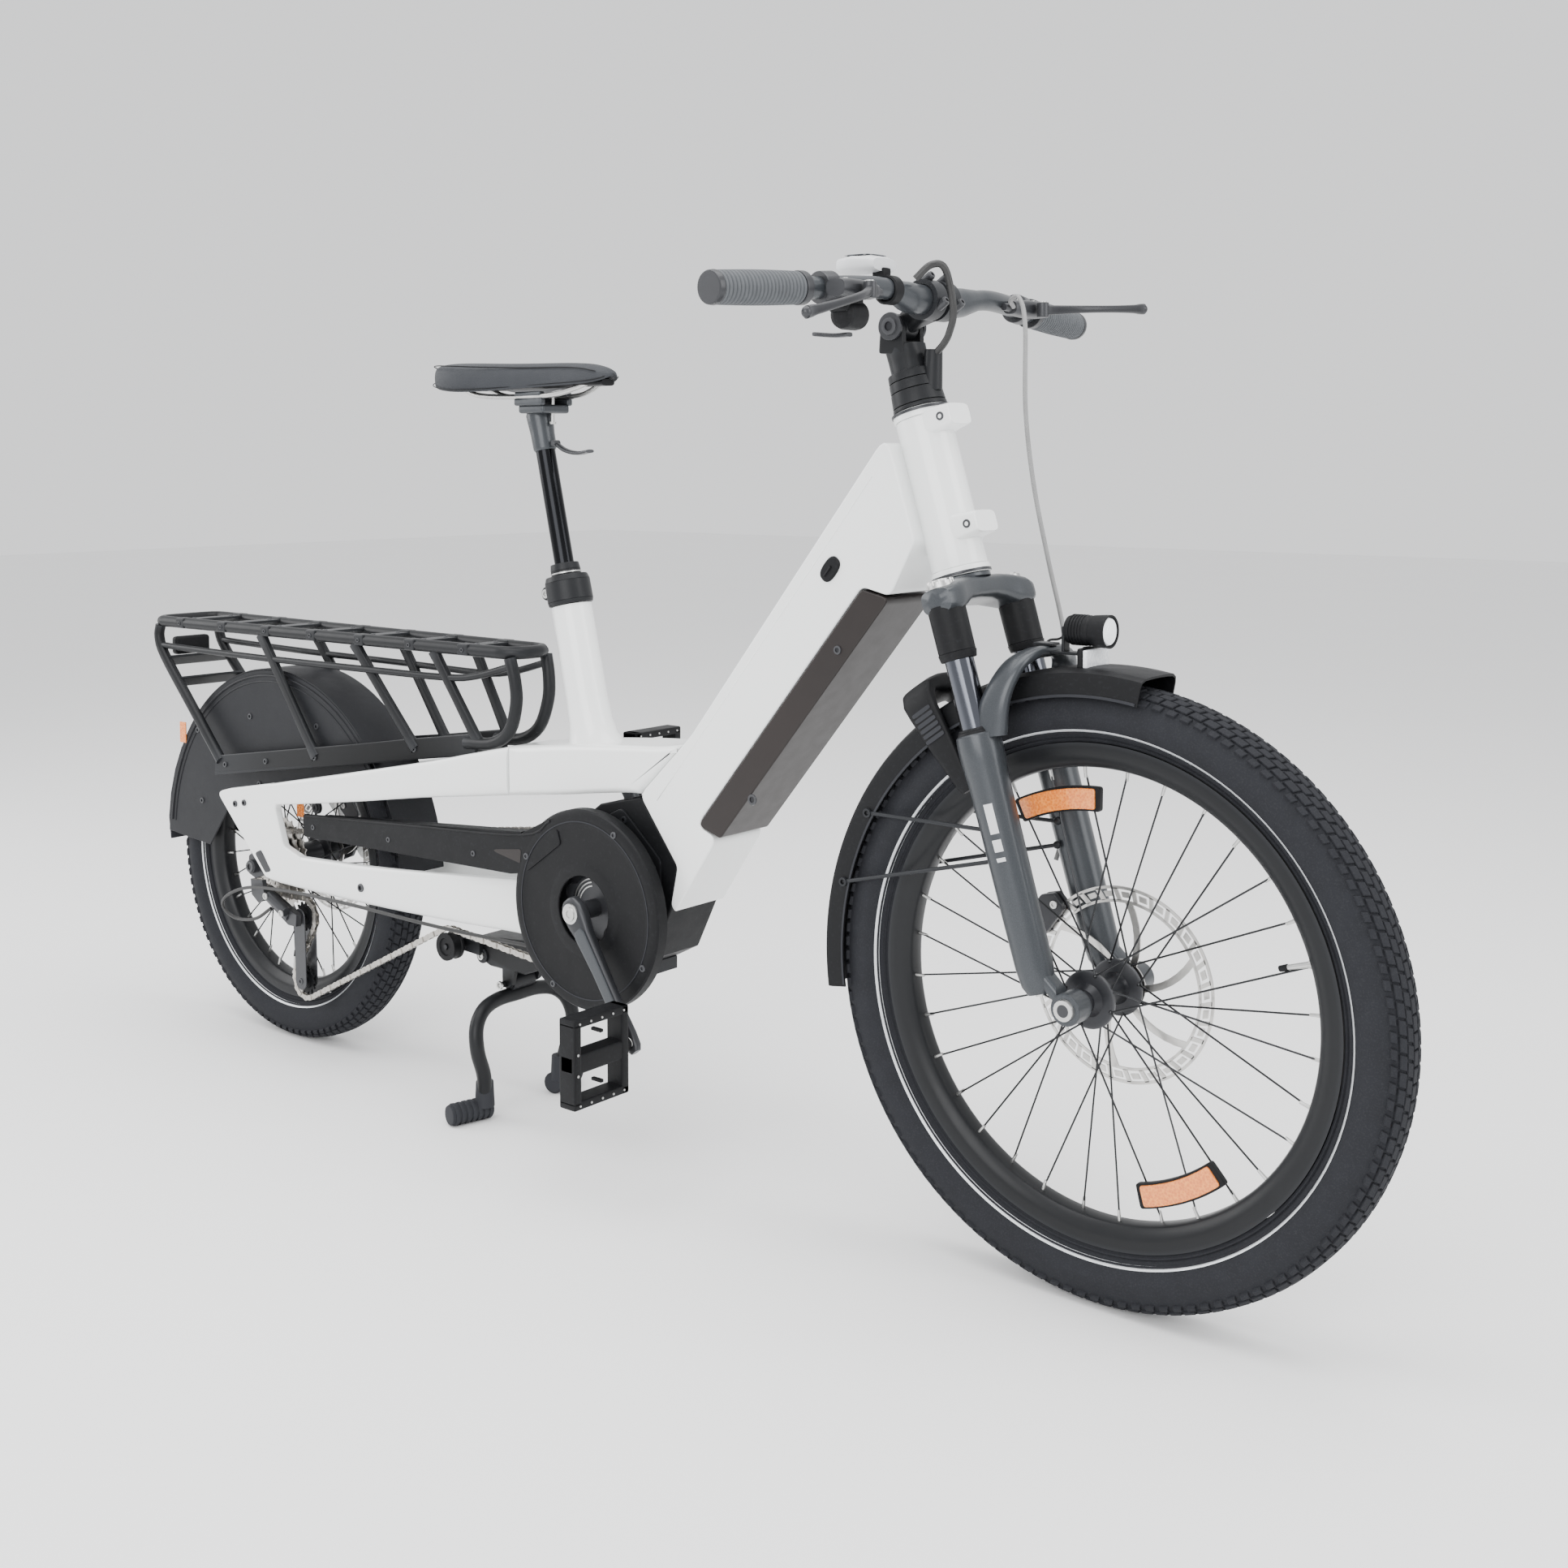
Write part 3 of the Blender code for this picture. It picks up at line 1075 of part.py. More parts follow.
make_rack_side(-1, "rack_side_right")
make_rack_side(1, "rack_side_left")
make_wheel_guard(-1, "wheel_guard_right")
make_wheel_guard(1, "wheel_guard_left")
make_stand_bracket()
make_stand()
make_seat()
make_crown()
make_stem()
make_bar()
make_controls()
make_lowers()
make_front_mudguard()
make_ring_lock()
make_wheels()
make_cables()
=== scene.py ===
"""Looks of the long-tail cargo bicycle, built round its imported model.

Lengths are metres.  Pieces are drawn from the rear axle's foot on the ground (x forwards, y to the
rider's left, z up) and moved to the model's own frame as each one is finished.
"""

import math

import bmesh
import bpy
from mathutils import Matrix, Vector


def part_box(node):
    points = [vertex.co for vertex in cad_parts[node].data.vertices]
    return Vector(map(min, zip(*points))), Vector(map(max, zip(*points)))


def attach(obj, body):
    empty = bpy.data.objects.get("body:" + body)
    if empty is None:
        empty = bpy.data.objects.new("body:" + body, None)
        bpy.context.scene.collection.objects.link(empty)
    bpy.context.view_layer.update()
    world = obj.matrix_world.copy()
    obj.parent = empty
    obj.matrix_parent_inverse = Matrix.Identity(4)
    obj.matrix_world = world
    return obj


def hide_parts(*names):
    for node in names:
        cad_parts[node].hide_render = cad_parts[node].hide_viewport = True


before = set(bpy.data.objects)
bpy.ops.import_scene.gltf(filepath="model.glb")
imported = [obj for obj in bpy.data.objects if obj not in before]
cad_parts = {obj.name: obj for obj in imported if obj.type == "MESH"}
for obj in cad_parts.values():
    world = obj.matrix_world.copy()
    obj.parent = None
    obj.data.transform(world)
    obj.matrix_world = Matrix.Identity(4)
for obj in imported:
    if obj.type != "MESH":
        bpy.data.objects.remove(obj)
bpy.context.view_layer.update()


def centre_of(node):
    low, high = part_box(node)
    return (low + high) / 2


# ---- driving places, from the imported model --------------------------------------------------
HOME = Vector((centre_of("rear_tyre").x, 0, 0))
REAR = centre_of("rear_rim") - HOME
FRONT = centre_of("front_rim") - HOME
REAR.y = FRONT.y = 0
REAR_R = REAR.z
FRONT_R = FRONT.z
CRANK = centre_of("chainring") - HOME
CRANK.y = 0
ROLLER = centre_of("chain_roller") - HOME
GUIDE = centre_of("jockey_upper") - HOME
TENSION = centre_of("jockey_lower") - HOME
LAMP = Vector((1.306, 0, 0.676))
STEM_PIVOT = Vector((1.083, 0, 0.986))
BAR = Vector((1.122, 0, 1.012))
HEAD_LOW = Vector((1.161, 0, 0.722))
HEAD_ANGLE = math.radians(73)
UP = Vector((-math.cos(HEAD_ANGLE), 0, math.sin(HEAD_ANGLE)))
FORE = Vector((math.sin(HEAD_ANGLE), 0, math.cos(HEAD_ANGLE)))
ACROSS = Vector((0, 1, 0))
LEG_Y = 0.065
LEG_FORE = 0.0156
CHAIN_Y = -0.047
RING_R = 0.089
SPROCKET_R = 0.040
GUIDE_R = 0.021
ROLLER_R = 0.0185
CRANK_LENGTH = 0.170
CRANK_ANGLE = math.radians(-51)
SEAT_LOW = Vector((0.6175, 0, 0.484))
SEAT_UP = (Vector((0.5760, 0, 0.664)) - SEAT_LOW).normalized()
SEAT_AHEAD = Vector((SEAT_UP.z, 0, -SEAT_UP.x))
TUBE_UP = Vector((0.643, 0, 0.766))
TUBE_OUT = Vector((0.766, 0, -0.643))


def on_fork(along, fore, y=0.0):
    return HEAD_LOW + UP * along + FORE * fore + ACROSS * y


def on_post(along, fore=0.0, y=0.0):
    return SEAT_LOW + SEAT_UP * along + SEAT_AHEAD * fore + ACROSS * y


def polar(centre, radius, degrees, y=0.0):
    angle = math.radians(degrees)
    return Vector((centre.x + radius * math.cos(angle), y, centre.z + radius * math.sin(angle)))


# ---- shader maths ---------------------------------------------------------------------------


class Level:
    """A number that varies over a surface, as the socket that carries it."""

    def __init__(self, finish, socket):
        self.finish = finish
        self.socket = socket

    def maths(self, operation, *values):
        return self.finish.node("ShaderNodeMath", {"operation": operation}, dict(enumerate(values)))

    def __add__(self, other):
        return self.maths("ADD", self, other)

    def __sub__(self, other):
        return self.maths("SUBTRACT", self, other)

    def __rsub__(self, other):
        return self.maths("SUBTRACT", other, self)

    def __mul__(self, other):
        return self.maths("MULTIPLY", self, other)

    def __truediv__(self, other):
        return self.maths("DIVIDE", self, other)

    def __pow__(self, other):
        return self.maths("POWER", self, other)

    def __gt__(self, other):
        return self.maths("GREATER_THAN", self, other)

    def __lt__(self, other):
        return self.maths("LESS_THAN", self, other)

    __radd__ = __add__
    __rmul__ = __mul__

    def sine(self):
        return self.maths("SINE", self)

    def fraction(self):
        return self.maths("FRACT", self)

    def absolute(self):
        return self.maths("ABSOLUTE", self)

    def clamped(self):
        return self.finish.node("ShaderNodeClamp", {}, {0: self})


class Finish:
    """A material, with one method that adds any node to it."""

    def __init__(self, name, colour, roughness, metallic=0.0, coat=0.0, coat_roughness=0.1, **constants):
        self.material = bpy.data.materials.new(name)
        self.material.use_nodes = True
        self.tree = self.material.node_tree
        self.shader = self.tree.nodes["Principled BSDF"]
        self.set("Base Color", (*colour, 1))
        self.set("Roughness", roughness)
        self.set("Metallic", metallic)
        self.set("Coat Weight", coat)
        self.set("Coat Roughness", coat_roughness)
        for name, value in constants.items():
            self.set(name.replace("_", " ").title().replace("Ior", "IOR"), value)
        self.height = None

    def node(self, kind, settings, values, out=0):
        made = self.tree.nodes.new(kind)
        for name, value in settings.items():
            if name == "stops":
                ramp = made.color_ramp.elements
                while len(ramp) < len(value):
                    ramp.new(0.5)
                for stop, (place, shade) in zip(ramp, value):
                    stop.position = place
                    stop.color = (*shade, 1) if hasattr(shade, "__len__") else (shade, shade, shade, 1)
            else:
                setattr(made, name, value)
        for key, value in values.items():
            if isinstance(value, Level):
                self.tree.links.new(value.socket, made.inputs[key])
            elif isinstance(value, bpy.types.NodeSocket):
                self.tree.links.new(value, made.inputs[key])
            else:
                made.inputs[key].default_value = value
        return Level(self, made.outputs[out])

    def set(self, name, value):
        socket = self.shader.inputs[name]
        if isinstance(value, Level):
            self.tree.links.new(value.socket, socket)
        else:
            socket.default_value = value

    def place(self, scale=(1, 1, 1), shift=(0, 0, 0), turn=(0, 0, 0)):
        """Where a point is on the piece, stretched by a scale."""
        held = self.node("ShaderNodeTexCoord", {}, {}, out=3)
        return self.node("ShaderNodeMapping", {}, {0: held, 1: shift, 2: turn, 3: scale})

    def along(self, scale=(1, 1, 1), shift=(0, 0, 0), turn=(0, 0, 0), axis=0):
        return self.node("ShaderNodeSeparateXYZ", {}, {0: self.place(scale, shift, turn)}, out=axis)

    def noise(self, size, detail=3.0, scale=(1, 1, 1), roughness=0.55, shift=(0, 0, 0)):
        """Soft noise, its features about one size across."""
        values = {"Vector": self.place(scale, shift), "Scale": 1 / size, "Detail": detail, "Roughness": roughness}
        return self.node("ShaderNodeTexNoise", {}, values)

    def cells(self, size, feature="F1", scale=(1, 1, 1), shift=(0, 0, 0)):
        values = {"Vector": self.place(scale, shift), "Scale": 1 / size}
        return self.node("ShaderNodeTexVoronoi", {"feature": feature}, values)

    def between(self, factor, one, two):
        """A colour between two colours."""
        return self.node(
            "ShaderNodeMix",
            {"data_type": "RGBA"},
            {0: factor, 6: one if isinstance(one, Level) else (*one, 1), 7: two if isinstance(two, Level) else (*two, 1)},
            out=2,
        )

    def band(self, value, low, high):
        """1 between two values of a level, with soft ends."""
        soft = (high - low) * 0.08
        up = self.node("ShaderNodeMapRange", {}, {0: value, 1: low - soft, 2: low + soft})
        down = self.node("ShaderNodeMapRange", {}, {0: value, 1: high - soft, 2: high + soft})
        return up - down

    def step(self, value, low, high):
        return self.node("ShaderNodeMapRange", {}, {0: value, 1: low, 2: high})

    def relief(self, height, depth, strength=0.6):
        bump = self.node("ShaderNodeBump", {}, {"Strength": strength, "Distance": depth, "Height": height})
        self.set("Normal", bump)

    def radius_from(self, centre):
        """Distance from a crosswise axle."""
        spot = centre + HOME
        x = self.along(shift=(-spot.x, 0, 0), axis=0)
        z = self.along(shift=(0, 0, -spot.z), axis=2)
        return (x * x + z * z) ** 0.5

    def edge_wear(self):
        """Near 1 on convex edges."""
        held = self.node("ShaderNodeNewGeometry", {}, {}, out=7)
        return self.step(held, 0.50, 0.60)


def white_paint():
    made = Finish("white_paint", (0.85, 0.87, 0.86), 0.3, coat=0.7, coat_roughness=0.08)
    cloud = made.noise(0.22, 2)
    made.set("Base Color", made.between(cloud, (0.83, 0.85, 0.845), (0.88, 0.89, 0.88)))
    made.set("Roughness", 0.26 + 0.10 * made.noise(0.03, 3))
    made.relief(made.noise(0.0022, 2), 0.00006, 0.35)
    return made


def satin_black(name="satin_black", shade=0.0050, rough=0.38):
    made = Finish(name, (shade, shade, shade * 1.1), rough, specular_ior_level=0.2)
    worn = made.edge_wear()
    cloud = made.noise(0.05, 3)
    base = made.between(cloud, (shade * 0.8, shade * 0.85, shade * 0.95), (shade * 1.3, shade * 1.35, shade * 1.5))
    made.set("Base Color", made.between(worn * 0.35, base, (0.045, 0.048, 0.054)))
    made.set("Roughness", rough - 0.06 + 0.14 * made.noise(0.012, 4))
    made.relief(made.noise(0.0009, 2), 0.00008, 0.35)
    return made


def moulded_black(name="moulded_black", shade=0.0050, rough=0.50):
    made = Finish(name, (shade, shade, shade * 1.15), rough, specular_ior_level=0.17)
    cloud = made.noise(0.06, 3)
    dust = made.noise(0.004, 5)
    base = made.between(cloud, (shade * 0.8, shade * 0.84, shade), (shade * 1.35, shade * 1.4, shade * 1.6))
    made.set("Base Color", made.between(made.step(dust, 0.55, 0.8) * 0.25, base, (0.030, 0.032, 0.037)))
    made.set("Roughness", rough - 0.08 + 0.18 * made.noise(0.02, 3))
    made.relief(made.cells(0.0011), 0.00010, 0.4)
    return made


def tyre_rubber():
    made = Finish("tyre_rubber", (0.013, 0.0135, 0.016), 0.72, specular_ior_level=0.18)
    dust = made.noise(0.018, 5)
    fine = made.noise(0.0016, 3)
    base = made.between(dust, (0.0095, 0.010, 0.0125), (0.020, 0.021, 0.025))
    made.set("Base Color", made.between(made.step(fine, 0.5, 0.75) * 0.3, base, (0.040, 0.041, 0.045)))
    made.set("Roughness", 0.66 + 0.22 * dust)
    made.relief(fine, 0.00025, 0.5)
    return made


def stripe_film():
    made = Finish("stripe_film", (0.62, 0.64, 0.66), 0.35, metallic=0.35)
    grain = made.cells(0.0009)
    made.set("Base Color", made.between(grain, (0.52, 0.54, 0.56), (0.74, 0.76, 0.78)))
    made.set("Roughness", 0.28 + 0.2 * made.noise(0.01, 3))
    made.relief(grain, 0.00004, 0.4)
    return made


def grip_rubber():
    made = Finish("grip_rubber", (0.17, 0.18, 0.19), 0.7)
    made.set("Base Color", made.between(made.noise(0.01, 4), (0.055, 0.060, 0.066), (0.095, 0.102, 0.111)))
    made.set("Roughness", 0.62 + 0.16 * made.noise(0.006, 3))
    made.relief(made.cells(0.0012), 0.0002, 0.5)
    return made


def graphite_paint():
    made = Finish("graphite_paint", (0.035, 0.039, 0.044), 0.36, metallic=0.35, coat=0.2, coat_roughness=0.18,
                  specular_ior_level=0.4)
    flake = made.cells(0.0006)
    made.set("Base Color", made.between(flake, (0.026, 0.030, 0.034), (0.050, 0.055, 0.062)))
    made.set("Roughness", 0.28 + 0.12 * made.noise(0.03, 3))
    made.relief(made.noise(0.002, 2), 0.00004, 0.3)
    return made


def dark_chrome(name="dark_chrome", shade=(0.085, 0.090, 0.105), rough=0.10):
    made = Finish(name, shade, rough, metallic=1.0)
    made.set("Base Color", made.between(made.noise(0.05, 2), shade, tuple(c * 1.25 for c in shade)))
    made.set("Roughness", rough + 0.07 * made.noise(0.008, 4))
    made.relief(made.noise(0.0006, 2, scale=(1, 1, 12)), 0.00001, 0.25)
    return made


def bare_steel(name="bare_steel", shade=(0.55, 0.55, 0.54), rough=0.26):
    made = Finish(name, shade, rough, metallic=1.0)
    stain = made.noise(0.02, 4)
    made.set("Base Color", made.between(stain, tuple(c * 0.82 for c in shade), tuple(c * 1.12 for c in shade)))
    made.set("Roughness", rough + 0.16 * made.noise(0.006, 4))
    made.relief(made.noise(0.0007, 3), 0.00004, 0.4)
    return made


def turned_steel(name, centre, shade=(0.56, 0.55, 0.53), rough=0.24):
    """Steel turned on a lathe: fine rings round an axle."""
    made = Finish(name, shade, rough, metallic=1.0)
    rings = (made.radius_from(centre) * 5200).sine()
    made.set("Base Color", made.between(made.noise(0.03, 3), tuple(c * 0.8 for c in shade), tuple(c * 1.15 for c in shade)))
    made.set("Roughness", rough + 0.10 * made.noise(0.012, 3))
    made.relief(rings, 0.00003, 0.5)
    return made


def black_alloy():
    made = Finish("black_alloy", (0.012, 0.0125, 0.015), 0.32, metallic=0.3, specular_ior_level=0.4)
    worn = made.edge_wear()
    cloud = made.noise(0.03, 3)
    base = made.between(cloud, (0.0095, 0.010, 0.012), (0.020, 0.021, 0.025))
    made.set("Base Color", made.between(worn * 0.5, base, (0.10, 0.102, 0.108)))
    made.set("Roughness", 0.26 + 0.14 * made.noise(0.008, 4))
    made.relief(made.noise(0.0005, 2), 0.00003, 0.4)
    return made


def saddle_vinyl():
    made = Finish("saddle_vinyl", (0.022, 0.024, 0.028), 0.5, specular_ior_level=0.3)
    grain = made.cells(0.0017, feature="DISTANCE_TO_EDGE")
    cloud = made.noise(0.05, 3)
    made.set("Base Color", made.between(cloud, (0.018, 0.020, 0.024), (0.034, 0.037, 0.043)))
    made.set("Roughness", 0.44 + 0.16 * made.noise(0.01, 3))
    made.relief(made.step(grain, 0.0, 0.12), 0.00030, 0.55)
    return made


def battery_black():
    made = Finish("battery_black", (0.010, 0.007, 0.006), 0.36, coat=0.1, coat_roughness=0.2,
                  specular_ior_level=0.3)
    made.set("Base Color", made.between(made.noise(0.08, 3), (0.0080, 0.0055, 0.0050), (0.0150, 0.0100, 0.0090)))
    made.set("Roughness", 0.34 + 0.16 * made.noise(0.02, 4))
    made.relief(made.cells(0.0010), 0.00005, 0.35)
    return made


def pale_plastic():
    made = Finish("pale_plastic", (0.60, 0.61, 0.62), 0.4)
    made.set("Base Color", made.between(made.noise(0.03, 3), (0.55, 0.56, 0.575), (0.66, 0.67, 0.68)))
    made.set("Roughness", 0.36 + 0.12 * made.noise(0.008, 3))
    made.relief(made.cells(0.0008), 0.00005, 0.35)
    return made


def screen_glass():
    made = Finish("screen_glass", (0.02, 0.024, 0.03), 0.08, coat=1.0, coat_roughness=0.03)
    made.set("Base Color", made.between(made.noise(0.02, 2), (0.015, 0.018, 0.024), (0.035, 0.042, 0.052)))
    made.set("Roughness", 0.07 + 0.06 * made.noise(0.01, 3))
    return made


def orange_lens():
    made = Finish("orange_lens", (0.85, 0.20, 0.02), 0.22, coat=0.8, coat_roughness=0.05)
    prism = made.cells(0.0026)
    made.set("Base Color", made.between(prism, (0.62, 0.11, 0.010), (0.98, 0.33, 0.05)))
    made.set("Roughness", 0.18 + 0.15 * prism)
    made.relief(prism, 0.0004, 0.7)
    return made


def red_lens():
    made = Finish("red_lens", (0.5, 0.02, 0.02), 0.2, coat=0.8, coat_roughness=0.05)
    prism = made.cells(0.0028)
    made.set("Base Color", made.between(prism, (0.30, 0.008, 0.010), (0.62, 0.035, 0.03)))
    made.set("Roughness", 0.18 + 0.12 * prism)
    made.relief(prism, 0.0004, 0.7)
    return made


def clear_lens():
    made = Finish("clear_lens", (0.86, 0.89, 0.92), 0.12, coat=1.0, coat_roughness=0.03)
    prism = made.cells(0.0030)
    made.set("Base Color", made.between(prism, (0.68, 0.72, 0.77), (0.97, 0.98, 1.0)))
    made.set("Roughness", 0.08 + 0.14 * prism)
    made.relief(prism, 0.0003, 0.6)
    return made


def lamp_glass():
    made = Finish("lamp_glass", (0.90, 0.92, 0.95), 0.12, coat=1.0, coat_roughness=0.03)
    made.set("Base Color", made.between(made.cells(0.0022), (0.78, 0.81, 0.86), (0.98, 0.99, 1.0)))
    made.set("Emission Color", (0.95, 0.97, 1.0, 1))
    made.set("Emission Strength", 0.45)
    return made


def cable_sheath(name="cable_sheath", shade=0.015, rough=0.42):
    made = Finish(name, (shade, shade, shade * 1.05), rough)
    made.set("Base Color", made.between(made.noise(0.02, 3), (shade * 0.8,) * 3, (shade * 1.3,) * 3))
    made.set("Roughness", rough - 0.05 + 0.14 * made.noise(0.006, 3))
    made.relief(made.noise(0.0008, 2), 0.00005, 0.4)
    return made


def pale_floor():
    made = Finish("pale_floor", (0.86, 0.86, 0.86), 0.7)
    made.set("Base Color", made.between(made.noise(0.6, 2), (0.90, 0.90, 0.90), (0.92, 0.92, 0.92)))
    return made


WHITE = white_paint()
BLACK = satin_black()
RIM_BLACK = satin_black("rim_black", 0.0065, 0.32)
MOULDED = moulded_black()
GUARD_BLUE = moulded_black("guard_blue_black", 0.0120, 0.44)
FLAP_GREY = moulded_black("flap_grey", 0.024, 0.62)
TYRE = tyre_rubber()
STRIPE = stripe_film()
GRIP = grip_rubber()
GRAPHITE = graphite_paint()
CHROME = dark_chrome()
POST_BLACK = dark_chrome("post_black", (0.014, 0.0145, 0.016), 0.14)
STEEL = bare_steel()
SPOKE = bare_steel("spoke_dark", (0.035, 0.036, 0.038), 0.30)
CHAIN_STEEL = bare_steel("chain_steel", (0.48, 0.46, 0.43), 0.30)
ALLOY = black_alloy()
VINYL = saddle_vinyl()
BATTERY = battery_black()
PALE = pale_plastic()
GLASS = screen_glass()
ORANGE = orange_lens()
RED = red_lens()
CLEAR = clear_lens()
LAMP_GLASS = lamp_glass()
SHEATH = cable_sheath()
GREY_SHEATH = cable_sheath("grey_sheath", 0.22, 0.4)

# ---- shapes ---------------------------------------------------------------------------------


class Shape:
    """One mesh that pieces are added to.  Every add method draws from the rear axle's foot."""

    def __init__(self):
        self.mesh = bmesh.new()

    def take(self, other):
        """Adds another bmesh and frees it."""
        held = bpy.data.meshes.new("held")
        other.to_mesh(held)
        other.free()
        self.mesh.from_mesh(held)
        bpy.data.meshes.remove(held)
        return self

    def ring(self, profile, centre, steps=96, sweep=360.0, start=0.0):
        """A profile of (radius, y), closed on itself, turned about a crosswise axle."""
        made = bmesh.new()
        first = math.radians(start)
        points = [
            made.verts.new((centre.x + r * math.cos(first), y, centre.z + r * math.sin(first))) for r, y in profile
        ]
        edges = [made.edges.new((points[i], points[(i + 1) % len(points)])) for i in range(len(points))]
        whole = sweep >= 360
        if not whole:
            made.faces.new(points)
        turned = bmesh.ops.spin(
            made,
            geom=edges,
            cent=(centre.x, 0, centre.z),
            axis=(0, -1, 0),
            angle=math.radians(sweep),
            steps=steps,
            use_merge=whole,
        )
        if not whole:
            ends = [g for g in turned["geom_last"] if isinstance(g, bmesh.types.BMEdge)]
            bmesh.ops.contextual_create(made, geom=ends)
        bmesh.ops.recalc_face_normals(made, faces=made.faces)
        return self.take(made)

    def rod(self, start, end, radius, end_radius=None, sides=24, round_ends=0.0):
        start, end = Vector(start), Vector(end)
        along = end - start
        made = bmesh.new()
        turn = Vector((0, 0, 1)).rotation_difference(along).to_matrix().to_4x4()
        bmesh.ops.create_cone(
            made,
            cap_ends=True,
            segments=sides,
            radius1=radius,
            radius2=radius if end_radius is None else end_radius,
            depth=along.length,
            matrix=Matrix.Translation((start + end) / 2) @ turn,
        )
        if round_ends:
            rims = [e for e in made.edges if any(len(f.verts) > 4 for f in e.link_faces)]
            bmesh.ops.bevel(
                made, geom=rims, offset=round_ends, segments=2, profile=0.5, affect="EDGES", material=-1
            )
        return self.take(made)

    def crosswise(self, centre, low, high, radius, sides=32, round_ends=0.0):
        return self.rod((centre[0], low, centre[2]), (centre[0], high, centre[2]), radius, None, sides, round_ends)

    def block(self, low, high, soft=0.0, segments=2, turn=None):
        low, high = Vector(low), Vector(high)
        made = bmesh.new()
        size = high - low
        bmesh.ops.create_cube(made, size=1)
        bmesh.ops.scale(made, vec=size, verts=made.verts)
        if soft:
            bmesh.ops.bevel(
                made, geom=made.edges[:], offset=soft, segments=segments, profile=0.5, affect="EDGES", material=-1
            )
        place = Matrix.Translation((low + high) / 2)
        bmesh.ops.transform(made, matrix=place @ turn.to_4x4() if turn else place, verts=made.verts)
        return self.take(made)

    def plate(self, outline, low, high, soft=0.0, segments=2):
        """A flat outline in x and z, between two values of y, its rims rounded inwards."""
        flat = [Vector(point) for point in outline]
        area = sum(p.x * q.y - q.x * p.y for p, q in zip(flat, flat[1:] + flat[:1]))
        inwards = []
        for before, here, after in zip(flat[-1:] + flat[:-1], flat, flat[1:] + flat[:1]):
            one, two = (here - before).normalized(), (after - here).normalized()
            one, two = Vector((-one.y, one.x)), Vector((-two.y, two.x))
            middle = (one + two).normalized() * math.copysign(1, area)
            inwards.append(middle / max(0.5, abs(middle.dot(one))))
        steps = []
        for k in range(segments + 1 if soft else 1):
            turn = math.pi / 2 * k / segments if soft else math.pi / 2
            steps.append((soft * (1 - math.sin(turn)), soft * (1 - math.cos(turn)) if soft else 0.0))
        levels = [(inset, low + rise) for inset, rise in steps]
        levels += [(inset, high - rise) for inset, rise in reversed(steps)]
        rings = []
        for inset, y in levels:
            rings.append([Vector((p.x + n.x * inset, y, p.y + n.y * inset)) for p, n in zip(flat, inwards)])
        return self.loft(rings)

    def loft(self, rings, cap=True):
        """A skin of quads through rings of points, each ring with the same number of them."""
        made = bmesh.new()
        loops = [[made.verts.new(point) for point in ring] for ring in rings]
        count = len(loops[0])
        for one, two in zip(loops, loops[1:]):
            for k in range(count):
                following = (k + 1) % count
                made.faces.new((one[k], one[following], two[following], two[k]))
        if cap:
            ends = [made.faces.new(loops[0]), made.faces.new(loops[-1])]
            for end in ends:
                end.normal_update()
            bmesh.ops.triangulate(made, faces=ends)
        bmesh.ops.recalc_face_normals(made, faces=made.faces)
        return self.take(made)

    def tube(self, points, radius, sides=12, closed=False, taper=None):
        """A round bar bent along points."""
        points = [Vector(p) for p in points]
        last = len(points) - 1
        rings = []
        side = None
        for i, point in enumerate(points):
            if closed:
                ahead = points[(i + 1) % len(points)] - points[i - 1]
            else:
                ahead = points[min(i + 1, last)] - points[max(i - 1, 0)]
            ahead.normalize()
            if side is None:
                side = ahead.cross(Vector((0, 0, 1)) if abs(ahead.z) < 0.9 else Vector((1, 0, 0)))
            side = (side - ahead * side.dot(ahead)).normalized()
            other = ahead.cross(side)
            size = radius * (taper(i / last) if taper else 1)
            rings.append([point + side * (size * math.cos(a)) + other * (size * math.sin(a))
                          for a in (math.tau * k / sides for k in range(sides))])
        if closed:
            rings.append(rings[0])
            made = bmesh.new()
            loops = [[made.verts.new(p) for p in ring] for ring in rings]
            edges = [[made.edges.new((loop[k], loop[(k + 1) % sides])) for k in range(sides)] for loop in loops]
            for one, two in zip(edges, edges[1:]):
                bmesh.ops.bridge_loops(made, edges=one + two)
            bmesh.ops.remove_doubles(made, verts=made.verts, dist=1e-6)
            bmesh.ops.recalc_face_normals(made, faces=made.faces)
            return self.take(made)
        return self.loft(rings)

    def ball(self, centre, radius, squash=(1, 1, 1), sides=20):
        made = bmesh.new()
        bmesh.ops.create_uvsphere(made, u_segments=sides, v_segments=sides // 2, radius=radius)
        bmesh.ops.scale(made, vec=squash, verts=made.verts)
        bmesh.ops.translate(made, vec=centre, verts=made.verts)
        return self.take(made)

    def bolt(self, at, facing, radius=0.0035, height=0.0022):
        """A socket-head bolt with a hexagon recess."""
        at, facing = Vector(at), Vector(facing).normalized()
        made = bmesh.new()
        turn = Vector((0, 0, 1)).rotation_difference(facing).to_matrix().to_4x4()
        bmesh.ops.create_cone(made, cap_ends=True, segments=18, radius1=radius, radius2=radius * 0.93, depth=height)
        top = max(made.faces, key=lambda f: f.calc_center_median().z)
        bmesh.ops.inset_region(made, faces=[top], thickness=radius * 0.42, depth=0)
        bmesh.ops.inset_region(made, faces=[top], thickness=radius * 0.05, depth=-height * 0.7)
        bmesh.ops.transform(made, matrix=Matrix.Translation(at + facing * height / 2) @ turn, verts=made.verts)
        return self.take(made)

